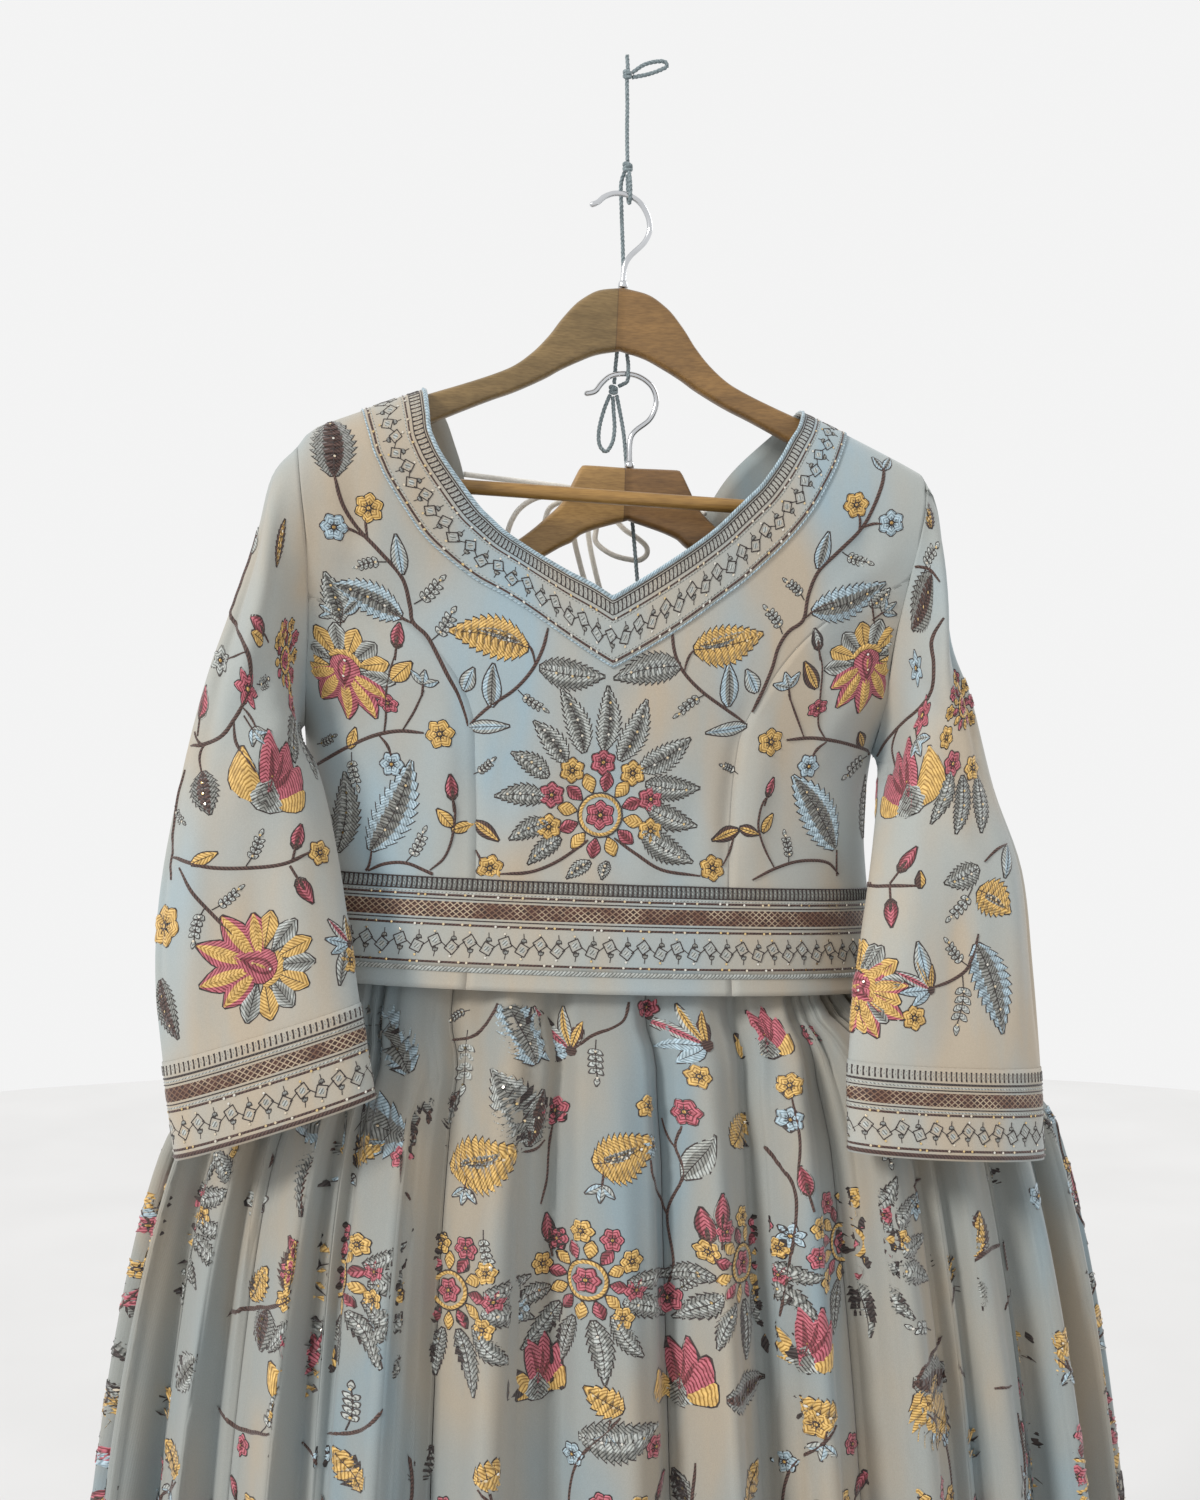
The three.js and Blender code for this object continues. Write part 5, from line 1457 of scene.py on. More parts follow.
def disc(radius, thread, high=1.5, low=0.8, sides=8):
    a = np.arange(sides) / sides * 2 * math.pi
    rim = np.stack([np.cos(a), np.sin(a)], -1) * radius
    flat = np.vstack([rim, [(0, 0)]])
    lift = np.append(np.full(sides, low), high)
    faces = [((k + 1) % sides, k, sides) for k in range(sides)]
    return Motif().add(flat, lift, flat, faces, thread)


def hoop(radius, width, thread, high=1.6, sides=20):
    a = np.linspace(0, 2 * math.pi, sides + 1)
    line = np.stack([np.cos(a), np.sin(a)], -1) * radius
    return ribbon(line, width, thread, 0.7, high)


def sequins(line, count, radius=0.85, high=1.75):
    made = Motif()
    p = np.asarray(line, float)
    for k in range(count):
        at = p[int(round(k * (len(p) - 1) / max(1, count - 1)))]
        made.put(disc(radius, SEQUIN, high + 0.12, high, 6), at[0], at[1])
    return made


def serrated(length, half_width, inner, outer, bend=0.05, glints=3, teeth=8):
    """A toothed leaf with a rib, veins and a few sequins."""
    made = blade(length, half_width, inner, outer, teeth=teeth, bend=bend, rib=INK)
    made.put(veins(length, half_width, teeth - 1, BROWN if outer == GOLD else INK, bend))
    share = np.linspace(0.25, 0.75, 5)
    line = np.stack([bend * length * np.sin(math.pi * share) + 0.5, share * length], -1)
    return made.put(sequins(line, glints))


def flower(radius, petals, heart, count=6, pointed=False):
    """A small flower seen from above."""
    made = Motif()
    width = radius * (0.27 if pointed else 0.37) * 6 / count
    for k in range(count):
        made.put(blade(radius * 0.84, width, petals, petals, blunt=0.9 if pointed
                       else 1.5, grow=0.6, high=1.35),
                 *polar(0.14 * radius, 360 * k / count), turn=360 * k / count)
        made.put(ribbon([(0, 0), (0, radius * 0.5)], [0.9, 0.3], heart, 0.9, 1.6),
                 turn=360 * k / count)
    return made.put(disc(radius * 0.24, INK, 1.7, 1.2)).put(disc(radius * 0.12, GOLD, 2.0, 1.6, 6))


def polar(reach, turn):
    a = math.radians(turn)
    return reach * math.sin(a), reach * math.cos(a)


def rosette(radius, small=7, first=-105, step=35):
    """A ringed flower with short petals round it and small flowers round those."""
    made = flower(radius * 0.27, PINK, MAROON, 6)
    made.put(hoop(radius * 0.36, 2.1, GOLD)).put(hoop(radius * 0.41, 0.9, INK, 1.2))
    for k in range(12):
        turn = 30 * k + 8
        inner, outer = ((MAROON, PINK), (GOLD, GOLD))[k % 2]
        made.put(blade(radius * 0.35, radius * 0.12, inner, outer, blunt=1.1, grow=0.6, high=1.5),
                 *polar(radius * 0.44, turn), turn=turn)
    for k in range(small):
        turn = first + step * k
        made.put(flower(radius * 0.24, (GOLD, PINK)[k % 2], (BROWN, MAROON)[k % 2]),
                 *polar(radius * 0.97, turn),
                 turn=turn * 1.7)
    return made


def cluster(radius, leaves=7, first=60, step=27):
    """A rosette with a fan of toothed leaves behind one side."""
    made = Motif()
    for k in range(leaves):
        turn = first + step * k
        reach = radius * (0.98, 1.16, 1.05, 1.22)[k % 4]
        made.put(serrated(reach, reach * 0.17, SILVER, PEWTER, 0.05 * (-1) ** k, 1, 8),
                 *polar(radius * 0.8, turn), turn=turn)
    return made.put(rosette(radius))


def lotus(size):
    """A fan of rounded petals over a heart of nested drops, with long petals below."""
    made = Motif()
    for k, turn in enumerate((-104, -74, -46, -20, 6, 32, 58, 84)):
        inner, outer = ((GOLD, GOLD), (PEWTER, SILVER))[k % 2]
        made.put(blade(size * 0.36, size * 0.105, inner, outer, blunt=1.35, grow=0.7, rib=INK),
                 *polar(size * 0.17, turn), turn=turn)
    for turn, reach in ((116, 0.4), (146, 0.52), (178, 0.58), (208, 0.54), (236, 0.42)):
        made.put(blade(size * reach, size * 0.125, GOLD, PINK, blunt=1.0, grow=0.7),
                 *polar(size * 0.1, turn), turn=turn)
        made.put(blade(size * reach * 0.6, size * 0.045, GOLD, GOLD, blunt=1.0, grow=0.5, high=1.7),
                 *polar(size * 0.2, turn), turn=turn)
    for share, thread, high in ((1.0, PINK, 1.7), (0.76, MAROON, 1.9), (0.52, PINK, 2.1), (0.3, GOLD, 2.3)):
        drop = blade(size * 0.46 * share, size * 0.17 * share, thread, thread, blunt=0.62, grow=0.5,
                     high=high)
        made.put(drop, 0, size * 0.16 * share, turn=180)
    cap = ribbon([polar(size * 0.2, t) for t in (-62, -30, 0, 30, 62)], [2.4, 3.6, 4.2, 3.6, 2.4], GOLD,
                 1.0, 2.2)
    return made.put(cap).put(sequins([(0, 0.1 * size), (0, -0.1 * size)], 2, high=2.5))


def tulip(size):
    """An open flower: scaly cup, side petals and a crown of curling petals."""
    made = Motif()
    made.put(blade(size * 0.62, size * 0.2, GOLD, GOLD, blunt=0.85, bend=-0.12, rib=None), -size * 0.1,
             size * 0.02,
             turn=-34)
    made.put(blade(size * 0.5, size * 0.15, GOLD, GOLD, blunt=0.85, bend=0.12), size * 0.12, size * 0.06,
             turn=38)
    for turn, reach, wide in ((-12, 0.9, 0.17), (24, 0.82, 0.16), (6, 0.96, 0.15)):
        made.put(blade(size * reach, size * wide, PINK, PINK, blunt=1.1, bend=0.08, high=1.5), 0,
                 size * 0.05, turn=turn)
        made.put(blade(size * reach * 0.62, size * wide * 0.42, MAROON, PINK, blunt=1.0, bend=0.06,
                       grow=0.3,
                       high=1.75), 0, size * 0.2, turn=turn)
    made.put(blade(size * 0.42, size * 0.24, PEWTER, SILVER, blunt=0.62, high=1.8), 0, -size * 0.04, turn=0)
    for row in range(3):
        for k in range(-1, 2):
            x, y = size * 0.11 * k * (1 - 0.2 * row), size * (0.03 + 0.1 * row)
            made.put(ribbon([(x - size * 0.05, y), (x, y + size * 0.06), (x + size * 0.05, y)], 0.7, INK,
                            1.5, 2.0))
    return made.put(flower(size * 0.12, PINK, MAROON, 5), 0, size * 0.42)


def spray(size):
    """A half-open flower of long pointed petals."""
    made = Motif()
    for turn, reach, inner, outer in ((-72, 0.62, ICE, ICE), (-38, 0.8, ICE, ICE), (-6, 1.0, PINK, SILVER),
                                      (28, 0.8, GOLD, SILVER), (60, 0.62, GOLD, BROWN)):
        made.put(blade(size * reach, size * 0.12, inner, outer, blunt=0.9, rib=INK, grow=0.6), turn=turn)
    return made.put(disc(size * 0.12, BROWN, 1.9, 1.0))


def sprig(length):
    """A stem with pairs of small berries."""
    line = np.stack([0.08 * length * np.sin(np.linspace(0, 3, 7)), np.linspace(0, length, 7)], -1)
    made = ribbon(line, 0.85, INK, 0.5, 1.1)
    for k in range(1, 5):
        at = line[k + 1]
        for hand in (-1, 1):
            berry = blade(length * 0.2, length * 0.06, SILVER, SILVER, blunt=1.0, grow=0.45, high=1.2)
            made.put(berry, at[0], at[1] - 0.06 * length, turn=hand * 52)
    return made.put(blade(length * 0.2, length * 0.06, SILVER, SILVER, grow=0.45), line[-1, 0],
                    line[-1, 1]).put(
        sequins(line[2:], 2, 0.8))


def trio(length):
    """Three plain leaves on a short stem."""
    made = ribbon([(0, 0), (0, length * 0.3), (0, length * 0.5)], 1.5, BROWN)
    for turn in (-52, 0, 52):
        made.put(blade(length * 0.5, length * 0.12, SILVER, ICE, rib=INK, grow=0.6), 0, length * 0.42,
                 turn=turn)
    return made


def bud(length, inner=PINK, outer=MAROON):
    """A closed flower in its cup on a short stem."""
    made = ribbon([(0, 0), (0, length * 0.25), (0, length * 0.45)], [1.7, 1.7, 1.4], BROWN)
    made.put(blade(length * 0.6, length * 0.15, inner, outer, blunt=0.7), 0, length * 0.38)
    return made.put(blade(length * 0.3, length * 0.13, BROWN, BROWN, blunt=0.7, high=1.5), 0, length * 0.34)


LEAF_STYLES = {"pewter": (PEWTER, SILVER), "dark": (BROWN, PEWTER), "ice": (PEWTER, ICE),
               "gold": (GOLD, GOLD),
               "grey": (SILVER, PEWTER), "pale": (ICE, SILVER), "tan": (GOLD, BROWN)}
FLOWER_STYLES = {"gold": (GOLD, BROWN), "ice": (ICE, INK), "pink": (PINK, MAROON), "maroon": (MAROON, PINK),
                 "silver": (SILVER, INK)}


# ---------- embroidery: laying it on the cloth ----------
class Needlework:
    """Thread work on one chart, placed by spots in the frame or by chart values."""

    def __init__(self, chart, keep=None, find=None, shift=None, hand=1):
        self.chart, self.keep, self.find, self.shift, self.hand = chart, keep, find or chart, shift, hand
        self.points, self.lay, self.faces, self.thread = [], [], [], []
        self.count = 0

    def lay_on(self, c, r, motif):
        lift = np.concatenate(motif.lift)
        normal = unit(self.chart.sample(self.chart.normal, c, r))
        place = self.chart.sample(self.chart.points, c, r) + normal * lift[:, None]
        good = np.ones(len(c), bool) if self.keep is None else self.keep(c, r)
        faces = [(f, t) for f, t in zip(motif.faces, motif.thread) if good[list(f)].all()]
        if not faces:
            return
        middle = np.array([(c[list(f)].mean(), r[list(f)].mean()) for f, _ in faces])
        middle = self.chart.sample(self.chart.points, middle[:, 0], middle[:, 1])
        centre = np.array([place[list(f)].mean(axis=0) for f, _ in faces])
        close = np.linalg.norm(centre - middle,
                               axis=1) < 1.0 + np.array([lift[list(f)].mean() for f, _ in faces])
        faces = [face for face, near in zip(faces, close) if near]
        if not faces:
            return
        votes = 0
        for f, _ in faces[:: max(1, len(faces) // 12)]:
            votes += np.sign(np.cross(place[f[1]] - place[f[0]], place[f[2]] - place[f[0]]) @ normal[f[0]])
        step = 1 if votes >= 0 else -1
        used = np.unique(np.concatenate([np.array(f) for f, _ in faces]))
        index = {int(v): self.count + k for k, v in enumerate(used)}
        self.points.append(place[used])
        self.lay.append(np.vstack(motif.lay)[used])
        for f, t in faces:
            self.faces.append(tuple(index[v] for v in f)[::step])
            self.thread.append(t)
        self.count += len(used)

    def spot(self, x, y):
        c, r = self.find.locate(x, y)
        return self.shift(c, r) if self.shift else (c, r)

    def set_off(self, motif, c, r, x, y, turn, flip=False):
        """A motif at a flat distance from chart values, x to the right and y up."""
        c0, r0 = self.chart.drape(c, r, np.array([x]), np.array([-y]))
        self.set(motif, float(c0[0]), float(r0[0]), turn, flip)

    def stem_off(self, c, r, spots):
        p = np.array(spots, float)
        p = catmull(p, np.linspace(0, len(p) - 1, 6 * (len(p) - 1) + 1))
        self.stem(np.stack(self.chart.drape(c, r, p[:, 0], -p[:, 1]), -1))

    def set(self, motif, c0, r0, turn=0.0, flip=False):
        """A motif at chart values, turned clockwise from straight up."""
        held = Motif().put(motif, turn=turn, flip=flip)
        p = np.vstack(held.flat)
        c, r = self.chart.drape(c0, r0, p[:, 0], -p[:, 1])
        self.lay_on(c, r, held)

    def between(self, x, y, tx, ty):
        """Chart values at one spot, and the length and turn of cloth to another."""
        c0, r0 = self.spot(x, y)
        c1, r1 = self.spot(tx, ty)
        if self.chart.period:
            c1 -= self.chart.period * round((c1 - c0) / self.chart.period)
        a = self.chart.length_at(c1, (r0 + r1) / 2) - self.chart.length_at(c0, (r0 + r1) / 2)
        b = self.chart.drop_at((c0 + c1) / 2, r1) - self.chart.drop_at((c0 + c1) / 2, r0)
        span = math.hypot(tx - x, ty - y) * MM_PER_PX
        return c0, r0, min(max(math.hypot(a, b), span), span * 1.35), math.degrees(math.atan2(a, -b))

    def vine(self, spots, width=2.3, thread=BROWN):
        """A stem through spots in the frame, broken where the cloth folds out of sight."""
        p = np.array(spots, float)
        length = np.hypot(*np.diff(p, axis=0).T).sum()
        line = catmull(p, np.linspace(0, len(p) - 1, max(4, int(length / 8))))
        found = np.array([self.spot(x, y) for x, y in line])
        place = self.chart.sample(self.chart.points, found[:, 0], found[:, 1])
        gap = np.linalg.norm(np.diff(place, axis=0), axis=1)
        cuts = [0, *(np.nonzero(gap > 17)[0] + 1), len(line)]
        for first, last in zip(cuts[:-1], cuts[1:]):
            if last - first > 2:
                self.stem(found[first:last], width, thread)

    def stem(self, p, width=2.3, thread=BROWN):
        """A raised stem through chart values."""
        if self.chart.period:
            p[:, 0] = np.unwrap(p[:, 0], period=self.chart.period)
        fine = catmull(p, np.linspace(0, len(p) - 1, 3 * (len(p) - 1) + 1))
        place = self.chart.sample(self.chart.points, fine[:, 0], fine[:, 1])
        normal = unit(self.chart.sample(self.chart.normal, fine[:, 0], fine[:, 1]))
        ahead = unit(np.gradient(place, axis=0))
        side = np.cross(normal, ahead)
        run = np.concatenate([[0], np.cumsum(np.linalg.norm(np.diff(place, axis=0), axis=1))])
        taper = np.minimum(1, 0.55 + 0.1 * np.minimum(np.arange(len(run)), np.arange(len(run))[::-1]))
        w = (width * taper / 2)[:, None]
        rows = np.stack([place - side * w + normal * 0.45, place + normal * 1.5,
                         place + side * w + normal * 0.45], 1)
        good = np.ones(len(run), bool) if self.keep is None else self.keep(fine[:, 0], fine[:, 1])
        lay = np.stack([np.stack([-w[:, 0], 0 * run, w[:, 0]], 1), np.repeat(run[:, None], 3, 1)], -1)
        for k in range(len(run) - 1):
            if good[k] and good[k + 1]:
                base = self.count + 3 * k
                self.faces += [(base, base + 1, base + 4, base + 3),
                               (base + 1, base + 2, base + 5, base + 4)]
                self.thread += [thread, thread]
        self.points.append(rows.reshape(-1, 3))
        self.lay.append(lay.reshape(-1, 2))
        self.count += 3 * len(run)

    def work(self, rows):
        """Motifs from a table: kind, style or size, then spots in the frame."""
        for kind, *rest in rows:
            if kind == "vine":
                self.vine(rest[0], *rest[1:])
            elif kind in ("flower", "star"):
                style, x, y, radius = rest
                c, r = self.spot(x, y)
                self.set(flower(radius * MM_PER_PX, *FLOWER_STYLES[style], 6, kind == "star"), c, r,
                         turn=x % 60)
            elif kind in ("rosette", "cluster", "lotus", "tulip", "spray"):
                x, y, size, turn, *flip = rest
                c, r = self.spot(x, y)
                make = {"rosette": rosette, "cluster": cluster, "lotus": lotus, "tulip": tulip,
                        "spray": spray}[kind]
                made = make(size * MM_PER_PX)
                self.set(made, c, r, self.hand * turn, bool(flip) != (self.hand < 0))
            else:
                style, x, y, tx, ty, *wide = rest
                c, r, length, turn = self.between(x, y, tx, ty)
                share = wide[0] if wide else 0.2
                if kind == "leaf":
                    made = serrated(length, length * share, *LEAF_STYLES[style], teeth=11 if length > 36
                                    else 8)
                elif kind == "plain":
                    made = blade(length, length * share, *LEAF_STYLES[style], rib=INK)
                elif kind == "bud":
                    made = bud(length, *FLOWER_STYLES[style][:2])
                elif kind == "sprig":
                    made = sprig(length)
                else:
                    made = trio(length)
                self.set(made, c, r, turn)

    def finish(self, name):
        points, lay = np.vstack(self.points), np.vstack(self.lay)
        used = np.unique(np.concatenate([np.array(f) for f in self.faces]))
        index = np.zeros(len(points), int)
        index[used] = np.arange(len(used))
        faces = [tuple(int(index[v]) for v in f) for f in self.faces]
        return piece(name, points[used], faces, THREADS, (), self.thread, lay[used])


MM_PER_PX = 0.68


# ---------- embroidery: blouse ----------
FRONT_WORK = [
    ("rosette", 600, 815, 52, 0), ("leaf", "grey", 560, 838, 530, 862, 0.2),
    ("leaf", "grey", 548, 822, 512, 838, 0.22), ("leaf", "grey", 545, 797, 498, 796, 0.2),
    ("leaf", "grey", 548, 776, 514, 754, 0.22), ("leaf", "pewter", 566, 762, 536, 724, 0.2),
    ("leaf", "pewter", 584, 752, 562, 694, 0.17), ("leaf", "pewter", 604, 750, 608, 690, 0.17),
    ("leaf", "pewter", 620, 760, 646, 704, 0.18), ("leaf", "pewter", 640, 770, 688, 740, 0.2),
    ("leaf", "grey", 646, 784, 699, 788, 0.2), ("leaf", "grey", 648, 808, 696, 826, 0.2),
    ("leaf", "grey", 642, 832, 692, 862, 0.2), ("leaf", "pewter", 590, 862, 568, 877, 0.22),
    ("leaf", "pewter", 607, 862, 602, 878, 0.3),
    ("vine", [(334, 474), (342, 503), (356, 526), (380, 552), (402, 578), (410, 606), (413, 622),
              (427, 636), (438, 656), (448, 676), (458, 694), (466, 716), (468, 726)], 2.7),
    ("vine", [(366, 538), (352, 530), (344, 528)]), ("vine", [(368, 541), (366, 526), (366, 518)]),
    ("leaf", "dark", 334, 476, 324, 424, 0.26), ("flower", "ice", 334, 527, 13),
    ("flower", "gold", 369, 508, 14), ("plain", "pale", 402, 574, 396, 538),
    ("sprig", "", 386, 562, 358, 567), ("sprig", "", 414, 604, 440, 580),
    ("sprig", "", 432, 640, 452, 612), ("vine", [(414, 624), (402, 618), (388, 610)]),
    ("leaf", "ice", 402, 616, 340, 588, 0.22), ("leaf", "pewter", 341, 622, 326, 576, 0.24),
    ("vine", [(340, 626), (343, 608), (336, 594)], 1.6), ("trio", "", 344, 622, 322, 606),
    ("plain", "ice", 344, 614, 362, 596), ("lotus", 345, 668, 84, 24),
    ("bud", "maroon", 395, 660, 400, 622),
    ("vine", [(384, 734), (386, 716), (386, 694), (390, 672), (395, 655)], 1.6),
    ("flower", "pink", 388, 703, 10), ("plain", "gold", 392, 680, 412, 662, 0.24),
    ("vine", [(312, 768), (330, 757), (352, 745), (376, 735), (400, 731), (424, 733)], 2.6),
    ("flower", "gold", 440, 734, 14), ("vine", [(380, 736), (388, 746), (391, 756)]),
    ("flower", "ice", 392, 764, 12), ("vine", [(402, 731), (414, 712), (424, 690)], 1.8),
    ("trio", "", 422, 696, 426, 668), ("plain", "gold", 350, 748, 356, 728, 0.26),
    ("sprig", "", 352, 752, 358, 784), ("sprig", "", 318, 744, 334, 736),
    ("leaf", "grey", 338, 852, 345, 776, 0.18), ("leaf", "ice", 371, 850, 410, 766, 0.2),
    ("vine", [(352, 880), (368, 868), (372, 848)], 2.0),
    ("vine", [(366, 872), (384, 864), (406, 863), (428, 872), (446, 880)], 2.3),
    ("vine", [(430, 870), (444, 858), (452, 838), (455, 812), (452, 796)], 1.8),
    ("bud", "maroon", 454, 812, 450, 776), ("plain", "gold", 452, 826, 438, 810, 0.26),
    ("plain", "gold", 452, 830, 474, 824, 0.22), ("sprig", "", 406, 862, 422, 834),
    ("plain", "tan", 476, 822, 498, 840, 0.22), ("flower", "gold", 490, 868, 13),
    ("vine", [(500, 874), (530, 872), (556, 862), (580, 846), (588, 840)], 2.3),
    ("vine", [(476, 850), (482, 862)], 2.0),
    ("vine", [(470, 724), (490, 706), (514, 690), (532, 670), (543, 648), (548, 628)], 2.4),
    ("vine", [(535, 664), (532, 650), (526, 644)], 2.0), ("leaf", "gold", 528, 648, 456, 632, 0.25),
    ("leaf", "pewter", 520, 642, 480, 630, 0.18), ("leaf", "grey", 540, 668, 600, 676, 0.22),
    ("plain", "ice", 491, 706, 494, 664), ("plain", "pale", 464, 690, 474, 668, 0.24),
    ("plain", "pale", 470, 727, 508, 726, 0.16), ("sprig", "", 518, 690, 540, 706),
    ("sprig", "", 474, 774, 492, 760),
    ("vine", [(884, 466), (882, 484), (872, 510), (860, 530), (838, 552), (818, 572), (808, 596),
              (803, 620), (788, 632), (778, 648), (772, 668), (762, 692), (752, 712)], 2.7),
    ("plain", "ice", 882, 470, 872, 458, 0.24), ("plain", "ice", 884, 470, 890, 458, 0.24),
    ("flower", "gold", 856, 505, 13), ("flower", "ice", 891, 523, 13),
    ("vine", [(858, 533), (860, 522), (858, 514)]), ("vine", [(862, 528), (872, 524), (882, 524)]),
    ("plain", "ice", 818, 568, 828, 534), ("sprig", "", 842, 552, 868, 562),
    ("sprig", "", 804, 600, 786, 582), ("sprig", "", 782, 634, 766, 610),
    ("vine", [(803, 620), (818, 608), (836, 602)], 2.0), ("leaf", "ice", 812, 612, 884, 584, 0.2),
    ("leaf", "pewter", 870, 606, 888, 590, 0.3), ("vine", [(874, 624), (872, 606), (870, 596)], 1.8),
    ("trio", "", 872, 620, 896, 602), ("lotus", 866, 662, 84, -20, 1),
    ("bud", "silver", 820, 660, 814, 628),
    ("vine", [(826, 740), (818, 724), (820, 696), (822, 670), (820, 656)], 1.6),
    ("flower", "pink", 817, 708, 10), ("plain", "tan", 816, 688, 804, 662, 0.22),
    ("vine", [(892, 760), (866, 750), (840, 742), (812, 738), (786, 740)], 2.6),
    ("flower", "gold", 770, 742, 14), ("vine", [(826, 742), (816, 750), (812, 758)]),
    ("flower", "ice", 808, 766, 12), ("vine", [(804, 738), (796, 716), (788, 694)], 1.8),
    ("trio", "", 790, 700, 784, 670), ("plain", "tan", 862, 746, 858, 730, 0.28),
    ("sprig", "", 866, 756, 846, 776), ("leaf", "ice", 834, 848, 792, 776, 0.22),
    ("leaf", "grey", 862, 838, 878, 778, 0.18),
    ("vine", [(752, 880), (776, 868), (800, 861), (826, 862), (838, 874)], 2.3),
    ("vine", [(836, 876), (836, 850)], 2.0),
    ("vine", [(774, 868), (764, 848), (758, 826), (762, 804), (768, 796)], 1.8),
    ("bud", "maroon", 764, 806, 773, 778), ("plain", "gold", 762, 832, 772, 814, 0.24),
    ("plain", "tan", 738, 830, 712, 840, 0.22), ("plain", "tan", 740, 828, 758, 834, 0.26),
    ("sprig", "", 788, 864, 784, 836), ("flower", "gold", 712, 868, 13),
    ("vine", [(614, 838), (636, 854), (662, 870), (700, 876)], 2.3),
    ("vine", [(722, 866), (730, 850), (734, 834)], 2.0),
    ("vine", [(744, 722), (724, 708), (700, 690), (682, 670), (674, 650), (672, 628)], 2.4),
    ("vine", [(684, 672), (688, 658), (694, 650)], 2.0), ("leaf", "gold", 694, 650, 762, 634, 0.26),
    ("leaf", "pewter", 700, 646, 742, 632, 0.18), ("leaf", "grey", 680, 666, 618, 678, 0.22),
    ("plain", "ice", 728, 706, 728, 664), ("plain", "pale", 756, 692, 746, 670, 0.26),
    ("plain", "pale", 746, 726, 706, 733, 0.16), ("sprig", "", 706, 694, 682, 712),
    ("sprig", "", 738, 774, 722, 766),
]
LEFT_SLEEVE_WORK = [
    ("vine", [(254, 536), (242, 556), (233, 586), (231, 612), (240, 634), (249, 658), (250, 682),
              (243, 704), (234, 720), (222, 736), (206, 744), (192, 746)], 2.9),
    ("plain", "pewter", 246, 552, 258, 530, 0.22), ("leaf", "tan", 276, 566, 280, 534, 0.26),
    ("star", "silver", 221, 661, 13), ("vine", [(246, 652), (236, 656), (228, 660)], 1.8),
    ("star", "pink", 247, 689, 16), ("bud", "maroon", 198, 736, 204, 690),
    ("vine", [(210, 742), (200, 744), (196, 732)], 2.0),
    ("vine", [(241, 706), (250, 716), (256, 728)], 1.8), ("trio", "", 244, 716, 262, 742),
    ("tulip", 264, 808, 74, 10), ("vine", [(234, 722), (236, 742), (246, 758), (256, 772)], 2.2),
    ("leaf", "dark", 204, 772, 210, 812, 0.34), ("vine", [(208, 742), (200, 754), (202, 772)], 2.2),
    ("rosette", 284, 660, 26, 0), ("flower", "pink", 291, 708, 12), ("flower", "gold", 282, 634, 10),
    ("bud", "pink", 268, 642, 252, 616), ("plain", "gold", 262, 642, 252, 632, 0.3),
    ("leaf", "grey", 293, 718, 294, 762, 0.2), ("leaf", "pewter", 306, 726, 318, 786, 0.18),
    ("sprig", "", 256, 684, 274, 676),
    ("vine", [(172, 856), (190, 863), (214, 868), (250, 868), (284, 864), (310, 852)], 2.5),
    ("flower", "gold", 319, 853, 12), ("bud", "maroon", 292, 862, 300, 826),
    ("bud", "pink", 290, 866, 312, 902), ("plain", "gold", 192, 864, 214, 854, 0.24),
    ("sprig", "", 246, 866, 258, 838), ("vine", [(186, 770), (178, 800), (172, 850), (172, 880)], 2.4),
    ("sprig", "", 176, 806, 184, 822), ("flower", "gold", 166, 926, 20),
    ("leaf", "dark", 162, 980, 178, 1036, 0.22),
    ("vine", [(180, 868), (192, 892), (212, 914), (232, 934), (244, 946)], 2.4),
    ("lotus", 262, 966, 92, 118), ("sprig", "", 212, 910, 234, 892), ("sprig", "", 206, 906, 196, 936),
    ("spray", 348, 944, 32, -30), ("flower", "gold", 350, 960, 12),
    ("plain", "pewter", 344, 950, 340, 980, 0.2),
]
RIGHT_SLEEVE_WORK = [
    ("leaf", "tan", 930, 528, 924, 500, 0.3), ("sprig", "", 924, 574, 936, 548),
    ("vine", [(906, 574), (918, 566), (932, 572), (940, 582)], 2.2),
    ("leaf", "dark", 932, 576, 912, 630, 0.26),
    ("vine", [(944, 618), (932, 640), (934, 664), (932, 690), (920, 708), (902, 724), (886, 742),
              (878, 756)], 2.9),
    ("star", "ice", 917, 668, 14), ("star", "pink", 923, 716, 16), ("trio", "", 916, 728, 922, 758),
    ("vine", [(900, 726), (893, 746), (896, 766), (902, 778)], 2.2), ("tulip", 912, 812, 78, -6, 1),
    ("rosette", 962, 706, 26, 40), ("flower", "pink", 952, 764, 12), ("flower", "gold", 972, 768, 12),
    ("flower", "gold", 946, 738, 10), ("leaf", "grey", 950, 772, 934, 820, 0.16),
    ("leaf", "grey", 962, 776, 956, 832, 0.16), ("leaf", "grey", 976, 776, 980, 832, 0.16),
    ("vine", [(856, 880), (872, 886), (892, 886), (920, 886)], 2.5), ("bud", "pink", 890, 884, 914, 850),
    ("bud", "pink", 890, 886, 892, 928), ("plain", "tan", 920, 888, 920, 872, 0.3),
    ("leaf", "grey", 978, 868, 944, 884, 0.3), ("sprig", "", 972, 888, 950, 916),
    ("leaf", "gold", 978, 890, 1010, 912, 0.4), ("leaf", "pewter", 984, 896, 1004, 908, 0.24),
    ("vine", [(984, 862), (996, 850), (1006, 844)], 2.2), ("plain", "pale", 1006, 846, 1004, 878, 0.2),
    ("vine", [(978, 934), (974, 952), (966, 970), (948, 982), (930, 988)], 2.4),
    ("leaf", "ice", 976, 944, 1002, 1028, 0.2), ("spray", 930, 990, 38, -60),
    ("plain", "pale", 926, 980, 918, 944, 0.22), ("flower", "gold", 914, 1018, 12),
    ("sprig", "", 962, 974, 956, 1022), ("sprig", "", 968, 966, 948, 942), ("lotus", 852, 984, 84, -60),
    ("flower", "gold", 852, 1006, 12),
]
